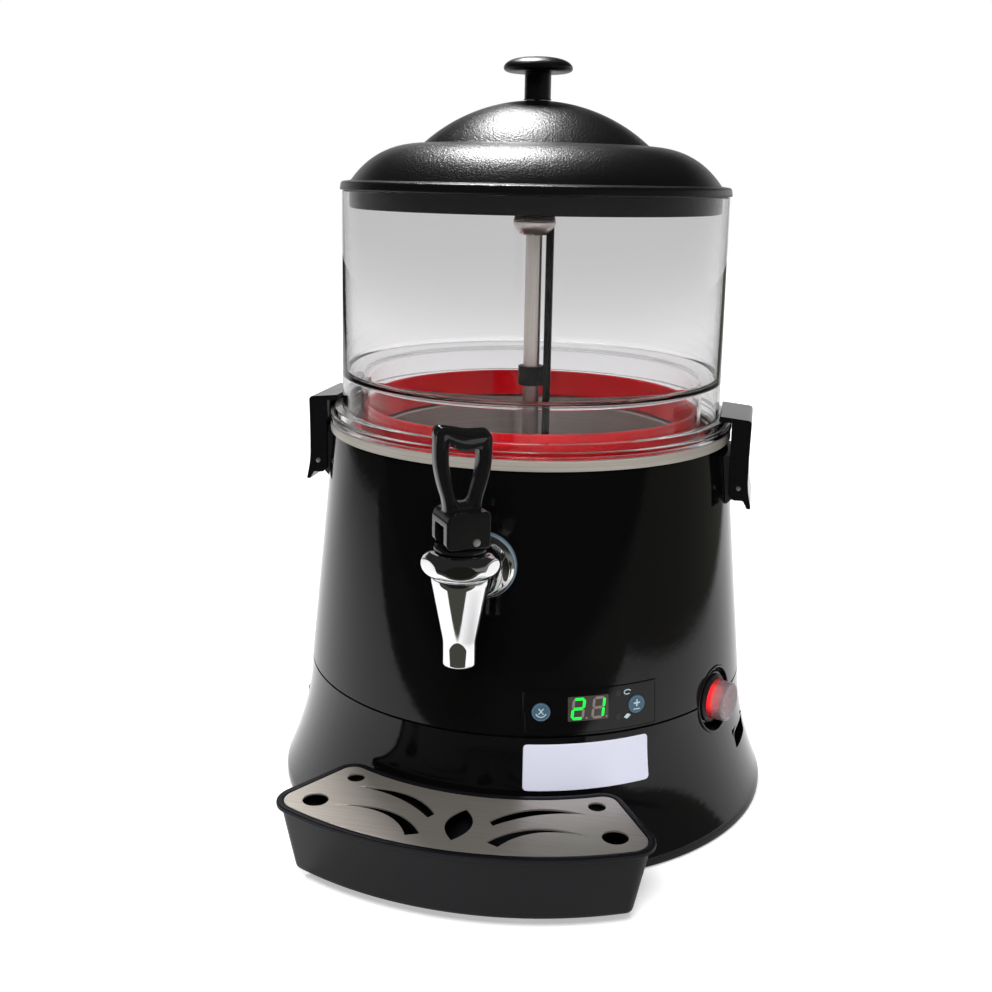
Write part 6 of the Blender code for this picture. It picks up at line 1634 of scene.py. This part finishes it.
@dataclass
class Panel:
    """The control panel: fascia, keys, display, lamps and the bare plate under it."""

    azimuth: float = 26.85  # where the panel faces
    middle_z: float = 0.0943  # its middle height
    width: float = 0.0806  # its width, straight across
    height: float = 0.0262  # its height
    proud: float = 0.0008  # how far it stands off the housing
    sunk: float = 0.00018  # how far its printed marks lie below that
    # Width, height and corner radius of the display's window.
    window: tuple[float, float, float] = (0.0241, 0.0142, 0.0004)
    # How far the window's middle stands to the right, and its height.
    window_middle: tuple[float, float] = (-0.0032, 0.0962)
    digit: tuple[float, float] = (0.0062, 0.0112)  # a digit's width and height
    digit_step: float = 0.0060  # how far the digits stand from the window's middle
    bar: float = 0.0015  # width of a digit's bars
    bar_gap: float = 0.00020  # gap at each end of a bar
    lean: float = math.tan(math.radians(7))  # how far the digits lean, as a slope
    signs_x: float = 0.0208  # how far the signs stand to the right
    # Width, height and corner radius of the bare plate.
    plate: tuple[float, float, float] = (2 * math.radians(15.2) * 0.146, 0.0268, 0.0028)
    plate_radius: float = 0.146  # the base's radius behind the plate
    plate_azimuth: float = 25.7  # where the plate faces
    plate_z: float = 0.0623  # its middle height
    housing: Housing = field(default_factory=Housing)  # the housing that carries all of it

    def on_cone(self, flat: Array) -> Array:
        """Bends a flat drawing onto the housing: turn = azimuth + asin(across / R(height)).

        Args:
            flat: points as (across, height, off).

        Returns:
            The points about the machine's axis.
        """
        across, z, off = flat[..., 0], flat[..., 1], flat[..., 2]
        radius = self.housing.cone(z)
        turn = math.radians(self.azimuth) + np.arcsin(across / radius)
        reach = radius + off
        return np.stack([reach * np.sin(turn), -reach * np.cos(turn), z], axis=-1)

    def pad(self, outlines: Sequence[Array], offs: Sequence[float], middle: tuple[float, float],
            rings: int = 6) -> Form:
        """A thin patch on the cone, closed to a point on both faces.

        Args:
            outlines: its outlines, from the back's edge to the front's.
            offs: how far each lies off the cone.
            middle: how far its middle stands to the right, and its height.
            rings: how many rings each face has.

        Returns:
            The patch's form.
        """
        shares, heart = np.linspace(1, 0, rings), outlines[0].mean(axis=0)
        back = [outlines[0] * (1 - share) + heart * share for share in shares]
        rows = back + list(outlines[1:-1]) + ringed(outlines[-1], rings)
        heights = [offs[0]] * rings + list(offs[1:-1]) + [offs[-1]] * rings
        return Form().grid(self.on_cone(stacked(rows, heights) + np.array([*middle, 0])), upright())

    def mark(self, name: str, outline: Array, middle: tuple[float, float], off: float, look: Finish,
             rings: int = 3) -> None:
        """A printed mark 0.1 mm thick, its face that far off the cone."""
        piece(name, self.pad([outline, outline], [off - 0.0001, off], middle, rings), look)

    def rim(self, inset: float) -> Array:
        """The fascia's outline moved inwards, in 320 even steps."""
        radius = max(0.0012 - inset / 2, 0.0006)
        return resampled(rounded_rectangle(self.width - 2 * inset, self.height - 2 * inset, radius), 320)

    def build_fascia(self) -> None:
        """The fascia: a raised border 1 mm wide round a face that is sunk by 0.25 mm."""
        lines = [self.rim(inset) for inset in (0.0, 0.0, 0.0002, 0.0010, 0.0012)]
        offs = [-0.0018, self.proud - 0.0002, self.proud, self.proud, self.proud - 0.00025]
        form = self.pad(lines, offs, (0.0, self.middle_z), 12)
        holes = [cut(self.housing.key_hole(azimuth, 0.0054)) for azimuth in KEY_AZIMUTHS.values()]
        mesh = worked(form.mesh("fascia_moulding", 24), *holes, sharp=24)
        piece("fascia_moulding", mesh, GLOSS, "panel_fascia")
        dressed(BOARD, "control_board")
        dressed(SATIN, "display_module")

    def segment(self, start: Sequence[float], end: Sequence[float]) -> Array:
        """A six-cornered bar of a digit, leaning with it.

        Args:
            start: where it starts in the upright digit.
            end: where it ends.

        Returns:
            Its outline: each point moved across by lean times its height.
        """
        first, last = np.array(start, float), np.array(end, float)
        run = (last - first) / np.linalg.norm(last - first)
        side = np.array([-run[1], run[0]]) * self.bar / 2
        first, last = first + run * self.bar_gap, last - run * self.bar_gap
        near, far = first + run * self.bar / 2, last - run * self.bar / 2
        points = np.array([first, near - side, far - side, last, far + side, near + side])
        return points + np.column_stack([points[:, 1] * self.lean, np.zeros(6)])

    def build_display(self) -> None:
        """The window, its two seven-segment digits and their points."""
        face, (middle, z) = self.proud - self.sunk, self.window_middle
        window = resampled(rounded_rectangle(*self.window), 200)
        self.mark("display_window", window, (middle, z), face, WINDOW, rings=12)
        x, y = self.digit[0] / 2, self.digit[1] / 2
        corners = {
            "top": ((-x, y), (x, y)), "middle": ((-x, 0), (x, 0)), "bottom": ((-x, -y), (x, -y)),
            "upper_left": ((-x, 0), (-x, y)), "upper_right": ((x, 0), (x, y)),
            "lower_left": ((-x, -y), (-x, 0)), "lower_right": ((x, -y), (x, 0)),
        }
        digits = {
            "tens": (middle - self.digit_step, {"top", "upper_right", "middle", "lower_left", "bottom"}),
            "units": (middle + self.digit_step, {"upper_right", "lower_right"}),
        }
        for digit, (across, lit) in digits.items():
            for name, ends in corners.items():
                look = GREEN_DIGIT if name in lit else DARK_DIGIT
                self.mark(f"digit_{digit}_{name}", self.segment(*ends), (across, z), face + 0.00009, look)
            dot = circle(0.0006, 16, (0.0048, -y))
            self.mark(f"digit_{digit}_point", dot, (across, z), face + 0.00009, DARK_DIGIT)

    def build_keys(self) -> None:
        """Round keys with a pale rim line, each with its symbol."""
        for name, azimuth in KEY_AZIMUTHS.items():
            body = f"key_{name}"
            face = float(self.housing.cone(np.array(KEY_HEIGHT))) + self.proud + 0.0005
            place = facing(azimuth, face, KEY_HEIGHT)
            cap = [(0, 0), (0.00525, 0), (0.00525, -0.0026), (0.0068, -0.0026), (0.0068, -0.0036),
                   (0, -0.0036)]
            cap_form = Form().lathe(cap, [0, 0.0006, 0.0001, 0.0001, 0.0002, 0], place, 64)
            piece(f"key_{name}_cap", cap_form, KEY_INK, body, body=body)
            # A thin paler ring over the key's rounded edge.
            rim = [(0.0051, 0.00004), (0.0047, 0.00004), (0.0047, -0.0002), (0.0051, -0.0002)]
            piece(f"key_{name}_rim", Form().lathe(rim, 0.00002, place, 64, 1), KEY_EDGE, body=body)
            for number, line in enumerate(self.plus() if name == "right" else self.stir()):
                form = Form().slab(line, -0.0002, 0.00006, 0.00003, place, 1)
                piece(f"key_{name}_symbol_{number}", form, SYMBOL_INK, body=body)

    @staticmethod
    def stroke(points: Sequence[Sequence[float]], width: float = 0.0006) -> Array:
        """A flat stroke along a line: the line moved half a width to each side.

        Args:
            points: the line.
            width: the stroke's width.

        Returns:
            The stroke's outline.
        """
        line = np.asarray(points, float)
        run = np.gradient(line, axis=0)
        run /= np.linalg.norm(run, axis=1)[:, None]
        side = np.column_stack([-run[:, 1], run[:, 0]]) * width / 2
        return np.vstack([line - side, (line + side)[::-1]])

    def plus(self) -> list[Array]:
        """A plus sign in one outline, over a dash.

        Returns:
            The outlines about the key's middle.
        """
        arm, bar = 0.0021, 0.00045
        points = [(bar, -arm), (bar, -bar), (arm, -bar), (arm, bar), (bar, bar), (bar, arm), (-bar, arm),
                  (-bar, bar), (-arm, bar), (-arm, -bar), (-bar, -bar), (-bar, -arm)]
        return [np.array(points) + (0, 0.0009), self.stroke([(-0.0022, -0.0028), (0.0022, -0.0028)])]

    def stir(self) -> list[Array]:
        """A stirring sign: two crossed blades over a bow.

        Returns:
            The outlines about the key's middle.
        """
        t = np.linspace(math.radians(200), math.radians(340), 12)
        bow = np.column_stack([np.cos(t), np.sin(t)]) * 0.0030 + (0, 0.0002)
        blades = [self.stroke([(-x, 0.0023), (x, -0.0012)]) for x in (0.0014, -0.0014)]
        return [self.stroke(bow), *blades]

    def build_lamps(self) -> None:
        """Two dark lamp dots, each with a small sign beside it."""
        face, steps = self.proud - self.sunk, 20
        for number, z in enumerate((0.1028, 0.0893)):
            self.mark(f"lamp_{number}", circle(0.0018, 24), (0.0150, z), face, LAMP_DOT)
        t = np.linspace(0.3, 2 * math.pi - 0.9, steps)
        line = self.stroke(np.column_stack([np.cos(t) * 0.0021, np.sin(t) * 0.0013]), 0.0005)
        sides = np.stack([line[:steps], line[:steps - 1:-1]]) + (self.signs_x, 0.1030)
        flat = np.dstack([sides, np.full((2, steps, 1), face)])
        form = Form().grid(self.on_cone(flat), upright(), wrap_columns=False)
        mesh = worked(form.mesh("sign_turn"), ("SOLIDIFY", {"thickness": 0.00006, "offset": 0.0}))
        piece("sign_turn", mesh, SYMBOL_INK)
        corners = [(-0.0024, -0.0006), (0.0, -0.0016), (0.0024, 0.0006), (0.0012, 0.0010), (0.0, 0.0016)]
        leaf = softened(corners, 0.0008, 4, True)
        self.mark("sign_drop", leaf, (self.signs_x, 0.0888), face, SYMBOL_INK)

    def build_plate(self) -> None:
        """The bare plate on the flare: a thin rounded rectangle bent to the base."""
        wide, tall, corner = self.plate
        outline = resampled(rounded_rectangle(wide, tall, corner, 8), 300)
        inner = resampled(rounded_rectangle(wide - 0.0006, tall - 0.0006, corner - 0.0002, 8), 300)
        rows = ringed(outline, 10)[::-1] + [outline] + ringed(inner, 10)
        flat = stacked(rows, [0.00005] * 11 + [0.00045] + [0.0005] * 9)
        turn = math.radians(self.plate_azimuth) + flat[..., 0] / self.plate_radius
        z = self.plate_z + flat[..., 1]
        reach = self.housing.base(z) + flat[..., 2]
        grid = np.stack([reach * np.sin(turn), -reach * np.cos(turn), z], axis=-1)
        piece("name_plate_blank", Form().grid(grid, upright()), PLATE_WHITE)

    def build(self) -> None:
        """Builds the panel and everything on it."""
        self.build_fascia()
        self.build_display()
        self.build_keys()
        self.build_lamps()
        self.build_plate()


@dataclass
class Switch:
    """The power switch: a cup, a flange, a lit rocker and a clear boot."""

    azimuth: float = 66.3  # where the switch faces
    middle_z: float = 0.0797  # its middle height
    cup_radius: float = 0.0206  # the cup's outer radius
    cup_bore: float = 0.0190  # the cup's inner radius
    lip: float = 0.0008  # radius of the cup's rounded lip
    flange: float = 0.1398  # how far from the axis the flange's face stands
    tilt: float = math.radians(8)  # how far the rocker leans
    # Underside, top, radius and wall of the boot.
    boot: tuple[float, float, float, float] = (0.1401, 0.1520, 0.01225, 0.0012)
    housing: Housing = field(default_factory=Housing)  # the housing that carries it

    def build_cup(self, place: Place) -> None:
        """The cup's lip follows the housing: out = sqrt(R(z)^2 - across^2), plus a rounded lip.

        Args:
            place: the switch's frame.
        """
        a = np.linspace(0, 2 * np.pi, FINE, endpoint=False)
        t = np.linspace(0, np.pi, 9)
        lip_radius = self.cup_radius - self.lip + self.lip * np.cos(t)
        lip_off = 0.0006 - 0.0007 * (1 - np.sin(t))
        across, up = lip_radius[:, None] * np.cos(a), lip_radius[:, None] * np.sin(a)
        skin = self.housing.cone(self.middle_z + up)
        lip = np.stack([across, up, np.sqrt(skin**2 - across**2) + lip_off[:, None]], axis=2)
        floor, back, hole = 0.1375, 0.1355, 0.0101
        rings = [
            np.stack([radius * np.cos(a), radius * np.sin(a), np.full(len(a), out)], axis=1)[None]
            for radius, out in ((hole, floor), (hole, back), (self.cup_radius, back), (self.cup_bore, floor))
        ]
        form = Form().grid(np.concatenate([*rings[:3], lip, rings[3]]), place, wrap_rows=True)
        piece("switch_cup", form, CLIP_GLOSS, "switch_bezel")

    def build_rocker(self, place: Place) -> None:
        """The barrel with its flange, and the lit rocker that leans in it.

        Args:
            place: the switch's frame.
        """
        barrel, under = 0.0098, self.flange - 0.0020
        corners = [(0, 0.1326), (0.0088, 0.1326), (0.0088, self.flange), (0.0165, self.flange),
                   (0.0165, under), (barrel, under), (barrel, 0.1158), (0, 0.1158)]
        form = Form().lathe(corners, [0, 0.0002, 0.0003, 0.0008, 0.0002, 0.0003, 0.0006, 0], place, FINE, 5)
        piece("switch_barrel", form, CLIP_GLOSS, "switch_body")
        (across, up, out), cos, sin = place.axes, math.cos(self.tilt), math.sin(self.tilt)
        axes = np.stack([across, up * cos + out * sin, out * cos - up * sin])
        lean = Place(axes, place.origin + out * self.flange)
        rocker = [(0, 0.0040), (0.0040, 0.0036), (0.0078, 0.0045), (0.0078, -0.0026), (0, -0.0026)]
        form = Form().lathe(rocker, [0, .003, .0008, .0004, 0], lean, 64, 5)
        piece("rocker_cap", form, RED_ROCKER, "switch_rocker", body="rocker")

    def build_boot(self, place: Place) -> None:
        """The clear boot over the rocker, and the rim that holds it.

        Args:
            place: the switch's frame.
        """
        low, top, outer, wall = self.boot
        rim = [(outer + 0.0001, low), (0.0150, low), (0.0150, low + wall), (outer + 0.0001, low + 2 * wall)]
        piece("boot_rim", Form().lathe(rim, 0.0004, place, FINE, 4), SATIN)
        boot = [(0, top), (outer - 0.0004, top), (outer, low), (outer - wall, low),
                (outer - wall, top - wall), (0, top - wall)]
        form = Form().lathe(boot, [0, 0.0014, 0.0003, 0.0004, 0.0008, 0], place, FINE, 7)
        piece("boot_moulding", form, BOOT, "switch_boot")

    def build(self) -> None:
        """Builds the cup, the switch, its rocker and its boot."""
        place = facing(self.azimuth, 0, self.middle_z)
        self.build_cup(place)
        self.build_rocker(place)
        self.build_boot(place)


def arc(bearing: float, reach: float, radius: float, start: float, end: float, steps: int) -> Array:
    """An arc seen from above: middle + radius (sin t, -cos t), for t from start to end.

    Args:
        bearing: where the arc's middle stands, as a turn from the front.
        reach: how far it stands from the axis.
        radius: the arc's radius.
        start: the turn that it starts at.
        end: the turn that it ends at.
        steps: how many points it has.

    Returns:
        The arc's points.
    """
    t = np.linspace(start, end, steps)
    middle = np.array([math.sin(bearing), -math.cos(bearing)]) * reach
    return middle + np.column_stack([np.sin(t), -np.cos(t)]) * radius


@dataclass
class Tray:
    """The drip tray and the steel grid in it."""

    inner: float = 0.1547  # the grid's inner radius about the machine's axis
    outer: float = 0.2135  # its outer radius
    half: float = math.radians(29.8)  # half its angle
    soft_out: float = 0.0115  # rounding of its two outer corners
    soft_in: float = 0.008  # rounding of its two inner corners
    top: float = 0.0486  # top of the tray
    low: float = 0.008  # underside of the tray
    sheet: float = 0.0012  # thickness of the grid
    # Five points of each crescent, as shares of the grid's half angle and of its depth.
    slots: tuple = (
        ((0.747, 0.303), (0.426, 0.175), (0.164, 0.43), (0.190, 0.51), (0.456, 0.285)),
        ((0.70, 0.685), (0.412, 0.530), (0.171, 0.80), (0.235, 0.87), (0.432, 0.605)),
    )
    # Radius, points and place of each round hole.
    holes: tuple = ((0.0050, 40, (0.845, 0.182)), (0.0072, 48, (0.842, 0.745)))
    # Where the leaf starts and ends, as shares of the grid's depth, and how far it bulges.
    leaf: tuple[float, float, float] = (0.245, 0.83, 0.0073)

    def sector(self, offset: float) -> Array:
        """A ring sector with rounded corners, as arcs joined end to end.

        Args:
            offset: how far it is grown.

        Returns:
            Its outline from above.
        """
        inner, outer = self.inner - offset, self.outer + offset
        half = self.half + offset / ((self.inner + self.outer) / 2)
        soft_out, soft_in = max(self.soft_out + offset, 0.001), max(self.soft_in + offset, 0.001)
        far, near, quarter = outer - soft_out, inner + soft_in, math.pi / 2
        out, inn = half - math.asin(soft_out / far), half - math.asin(soft_in / near)
        return np.vstack([
            arc(0, 0, outer, -out, out, 60),
            arc(out, far, soft_out, out, half + quarter, 16)[1:],
            arc(inn, near, soft_in, half + quarter, inn + 2 * quarter, 16),
            arc(0, 0, inner, inn, -inn, 50)[1:],
            arc(-inn, near, soft_in, -inn - 2 * quarter, -half - quarter, 16)[1:],
            arc(-out, far, soft_out, -half - quarter, -out, 16)[:-1],
        ])

    def spot(self, shares: Sequence[float], side: int = 1) -> Array:
        """A point of the grid: a share of its half angle and a share of its depth from the back."""
        turn, reach = self.half * shares[0] * side, self.inner + (self.outer - self.inner) * shares[1]
        return np.array([math.sin(turn) * reach, -math.cos(turn) * reach])

    @staticmethod
    def bend(start: Array, middle: Array, end: Array, steps: int = 20) -> Array:
        """The smooth bend that leaves start, passes middle and reaches end.

        Args:
            start: its first point.
            middle: the point half way.
            end: its last point.
            steps: how many points it has.

        Returns:
            (1-t)^2 start + 2t(1-t) pull + t^2 end, where pull is twice the middle less their mean.
        """
        pull, t = middle * 2 - (start + end) / 2, np.linspace(0, 1, steps)[:, None]
        return start * (1 - t) ** 2 + pull * 2 * t * (1 - t) + end * t**2

    def openings(self) -> list[Array]:
        """The grid's holes, crescents and leaf.

        Returns:
            Their outlines.
        """
        loops = []
        for side in (-1, 1):
            for shares in self.slots:
                tip, far, blunt_out, blunt_in, near = (self.spot(point, side) for point in shares)
                loops.append(np.vstack([self.bend(tip, far, blunt_out), self.bend(blunt_in, near, tip)[:-1]]))
            loops += [circle(radius, count, self.spot(point, side)) for radius, count, point in self.holes]
        start, end, bulge = self.leaf
        first, last = self.spot((0, start)), self.spot((0, end))
        right, left = ((first + last) / 2 + (way * bulge, 0) for way in (1, -1))
        loops.append(np.vstack([self.bend(first, right, last)[:-1], self.bend(last, left, first)[:-1]]))
        return loops

    def build_tray(self) -> None:
        """The tray: rows of the sector, out under the rim, over it, and down its inside."""
        low, top = self.low, self.top
        under = [(-0.0080, 0), (-0.0067, 0.0003), (-0.0062, 0.0010), (-0.0058, 0.0022)]
        rim = [
            (0.0010, 0.0050), (0.0015, 0.0036), (0.0021, 0.0031), (0.0034, 0.0030), (0.0039, 0.0025),
            (0.0040, 0.0015), (0.0039, 0.0006), (0.0034, 0.0001), (0.0030, 0), (0.0010, 0), (0.0006, 0.0002),
            (0.0005, 0.0006), (0.0005, 0.0019), (-0.0014, 0.0019), (-0.0018, 0.0024),
        ]
        floor = [(-0.0088, 0.0040), (-0.0094, 0.0024), (-0.0104, 0.0020)]
        rows = [(offset, low + up) for offset, up in under] + [(offset, top - down) for offset, down in rim]
        rows += [(offset, low + up) for offset, up in floor]
        form = Form().stack([self.sector(offset) for offset, _ in rows], [z for _, z in rows], upright())
        piece("tray_tub", form.mesh("tray_tub", 30), TRAY, "drip_tray", body="tray")

    def build_grid(self) -> None:
        """The grid: a plate with its openings cut and their edges eased."""
        high, place = self.top - 0.0004, upright()
        plate = Form().slab(self.sector(0.0), high - self.sheet, high, 0.00035, place, 3).mesh("grid_plate")
        span = [high - 0.004, high + 0.004]
        cuts = [cut(Form().stack([loop, loop], span, place).mesh("hole")) for loop in self.openings()]
        mesh = flat_ends(worked(plate, *cuts, rounded_edges(0.00018, 2), sharp=30))
        piece("grid_plate", mesh, GRID_STEEL, "tray_grid", body="grid")

    def build(self) -> None:
        """Builds both."""
        self.build_tray()
        self.build_grid()


@dataclass
class Underside:
    """Base plate, feet and the cable gland at the back."""

    foot_circle: float = 0.128  # how far the feet stand from the axis
    foot_azimuths: tuple = (45, 135, 225, 315)  # where they stand
    gland_out: float = 0.011  # how far the gland's tip stands out of the wall
    gland_in: float = 0.0115  # how far it reaches in

    def build_feet(self) -> None:
        """Turns the four feet with their push-in plugs."""
        pad = [(0, 0.0102), (0.003, 0.0102), (0.003, 0.0042), (0.010, 0.0042), (0.0092, 0.0), (0.0060, 0.0),
               (0.0050, 0.0010), (0, 0.0010)]
        radii = [0, 0.0005, 0.0003, 0.0006, 0.0010, 0.0004, 0.0006, 0]
        for number, azimuth in enumerate(self.foot_azimuths, start=1):
            turn = math.radians(azimuth)
            out = np.array([math.sin(turn), -math.cos(turn), 0])
            place = Place(np.eye(3), out * self.foot_circle + (0, AXIS_Y, 0))
            form = Form().lathe(pad, radii, place, 48, 4)
            piece(f"foot_{number}_pad", form, BLACK_RUBBER, f"foot_{number}")

    def build_gland(self) -> None:
        """Turns the gland, its nose ribbed and tapered: radius = 10.5 mm less 4 mm over its length."""
        height = Housing.gland_z
        wall = float(Housing().base(np.array(height)))
        tip, inside, bore, flange = wall + self.gland_out, wall - self.gland_in, 0.0036, 0.0105
        z = np.linspace(wall + 0.005, tip, 13)
        ribs = np.column_stack([flange - 0.004 * (z - z[0]) / 0.006 - 0.0003 * (np.arange(13) % 2), z])
        corners = [(bore, tip), (bore, inside), (0.0080, inside), (0.0080, wall + 0.0001),
                   (flange, wall + 0.0001), tuple(ribs[0])]
        profile = np.vstack([softened(corners, [0, 0.0003, 0.0004, 0.0001, 0.0005, 0], 4), ribs[1:]])
        piece("gland_moulding", Form().turn(profile, facing(180, 0, height), 64), SATIN, "cable_gland")

    def build(self) -> None:
        """Builds feet and gland, and dresses the plate."""
        self.build_feet()
        dressed(ZINC, "base_plate")
        dressed(SATIN, "gland_nut")
        self.build_gland()


@dataclass
class Studio:
    """Floor, lamps, sky and camera."""

    sensor: float = 36.0  # width of the camera's sensor, in millimetres
    pixels: int = 992  # width of the photograph's frame
    focus: float = 1237.274  # the fitted focal length, in its pixels
    drop: float = 91.2209  # how far the picture is moved down, in its pixels
    # The fitted camera's axes as columns, with its place about the machine's axis.
    view: tuple = (
        (0.97759705, -0.05555273, 0.20302192, 0.14301389),
        (0.20968217, 0.17285773, -0.96236874, -0.78715188 + AXIS_Y),
        (0.01836831, 0.98337892, 0.18063362, 0.39244932),
        (0, 0, 0, 1),
    )
    sheet_front: tuple[float, float] = (-0.345, -0.335)  # across which y the pale sheet ends, in front
    sheet_right: tuple[float, float] = (0.55, 0.65)  # across which x it ends on the right
    sheet_left: tuple[float, float] = (-1.8, -1.4)  # across which x it ends on the left
    fill: float = 0.12  # how bright the room is for matt parts
    wall: float = 0.66  # how bright the wall is that shows through the bowl
    # Name, place, size and power of each lamp, and whether polish shows it.
    lamps: tuple = (
        ("lamp_key", (-0.28, 0.56, 1.46), (0.35, 0.35), 23, True),
        ("lamp_front", (0.2, -1.3, 1.4), (0.6, 0.5), 32, False),
    )
    target: tuple[float, float, float] = (0, AXIS_Y, 0.25)  # the point that the lamps look at

    def build_floor(self) -> None:
        """A wide pale floor that keeps the shadow, with light enough in view to read white.

        Polished parts see only the sheet the machine stands on; the room beyond it is dark.
        """
        graph = Graph(bpy.data.materials.new("studio_floor"))
        camera, through, shine = self.rays(graph)
        x, y, _ = graph.parts()
        sheet = y.rise(*self.sheet_front) * (1 - x.rise(*self.sheet_right)) * x.rise(*self.sheet_left)
        far = (x * x + y * y).rise(0.1, 3.0)
        paint = graph.node("ShaderNodeBsdfDiffuse", None, {"Color": (0.80, 0.80, 0.80, 1)})
        light = camera * (0.45 + far * 0.75) + through * far * 0.5 + shine * y.rise(0.2, 0.7) * 0.32
        glow = graph.node("ShaderNodeEmission", None, {"Color": (1, 1, 1, 1), "Strength": light})
        both = graph.node("ShaderNodeAddShader", None, {0: paint.outputs[0], 1: glow.outputs[0]})
        dim = 0.012 + (0.048 + x.rise(0.3, 0.6) * 0.11) * (1 - (y * -1.0).rise(0.55, 0.7))
        room = graph.node("ShaderNodeEmission", None, {"Color": (1.0, 0.98, 0.82, 1), "Strength": dim})
        inputs = {0: shine * (1 - sheet), 1: both.outputs[0], 2: room.outputs[0]}
        mixed = graph.node("ShaderNodeMixShader", None, inputs)
        graph.node("ShaderNodeOutputMaterial", None, {0: mixed.outputs[0]})
        outline = circle(6.0, 96)
        mesh = Form().stack([outline, outline], [-0.02, 0.0], upright(0.0)).mesh("studio_floor")
        mesh.materials.append(graph.owner)
        linked("studio_floor", mesh)

    @staticmethod
    def rays(graph: Graph) -> tuple[Value, Value, Value]:
        """Tells what looks at a surface.

        Args:
            graph: where the nodes go.

        Returns:
            One for the eye, one for glass, and one for polish alone.
        """
        path = graph.node("ShaderNodeLightPath").outputs
        kinds = ("Camera", "Glossy", "Transmission")
        camera, glossy, through = (Value(graph, path[f"Is {kind} Ray"]) for kind in kinds)
        return camera, through, glossy * (1 - camera.most(through))

    def build_lamp(self, name: str, location: Sequence[float], size: tuple[float, float], power: float,
                   shown: bool) -> None:
        """A rectangular soft lamp that looks at the target.

        Args:
            name: its name.
            location: where it stands.
            size: its width and height.
            power: its power in watts.
            shown: whether polish shows it.
        """
        lamp = bpy.data.lights.new(name, "AREA")
        lamp.shape = "RECTANGLE"
        lamp.size, lamp.size_y = size
        lamp.energy = power
        away = np.asarray(location, float) - np.asarray(self.target, float)
        away /= np.linalg.norm(away)
        across = np.cross([0, 0, 1], away)
        across /= np.linalg.norm(across)
        axes = np.stack([across, np.cross(away, across), away], axis=1)
        matrix = np.eye(4)
        matrix[:3, :3], matrix[:3, 3] = axes, location
        obj = linked(name, lamp)
        obj.matrix_world = Matrix(matrix.tolist())
        obj.visible_glossy = shown

    def build_sky(self) -> None:
        """White for the eye and for glass.

        For polish it is a dark room, dim on the right and bright low down behind.
        """
        world = bpy.data.worlds.new("studio")
        bpy.context.scene.world = world
        graph = Graph(world)
        camera, through, shine = self.rays(graph)
        x, y, z = graph.parts(graph.node("ShaderNodeTexCoord").outputs["Generated"])
        behind = y.rise(0.3, 0.8) * (1 - z.rise(0.15, 0.35))
        right = x.rise(0.40, 0.62) * (1 - y.rise(0.4, 0.6)) * (1 - z.rise(0.15, 0.5))
        room = 0.02 + right * 0.15 + behind * 0.8
        matt = (1 - camera.most(through)) * (1 - shine)
        level = camera + through * self.wall + shine * room + matt * self.fill
        glow = graph.node("ShaderNodeBackground", None, {"Color": (1, 1, 1, 1), "Strength": level})
        graph.node("ShaderNodeOutputWorld", None, {0: glow.outputs[0]})

    def build_camera(self) -> None:
        """The camera at the photograph's viewpoint."""
        camera = bpy.data.cameras.new("camera")
        camera.sensor_width = self.sensor
        camera.sensor_fit = "HORIZONTAL"
        camera.lens = self.focus / self.pixels * self.sensor
        camera.shift_y = -self.drop / self.pixels
        camera.clip_start = 0.05
        obj = linked("camera", camera)
        obj.matrix_world = Matrix(self.view)
        bpy.context.scene.camera = obj

    def build(self) -> None:
        """Sets the whole studio up."""
        self.build_floor()
        for lamp in self.lamps:
            self.build_lamp(*lamp)
        self.build_sky()
        self.build_camera()
        bpy.context.scene.view_settings.view_transform = "Standard"


def main() -> None:
    """Builds the sub-assemblies in order and reports each piece."""
    logging.basicConfig(level=logging.INFO, format="%(message)s")
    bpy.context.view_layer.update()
    known = set(bpy.data.objects)
    for kind in (Housing, Bath, Bowl, Lid, Mixer, Clips, Tap, Lever, Panel, Switch, Tray, Underside):
        kind().build()
        fresh = [obj for obj in bpy.data.objects if obj not in known]
        known |= set(fresh)
        for obj in fresh:
            LOG.info("%s: %s, %d faces", kind.__name__, obj.name, len(obj.data.polygons))
    Studio().build()


if __name__ == "__main__":
    main()
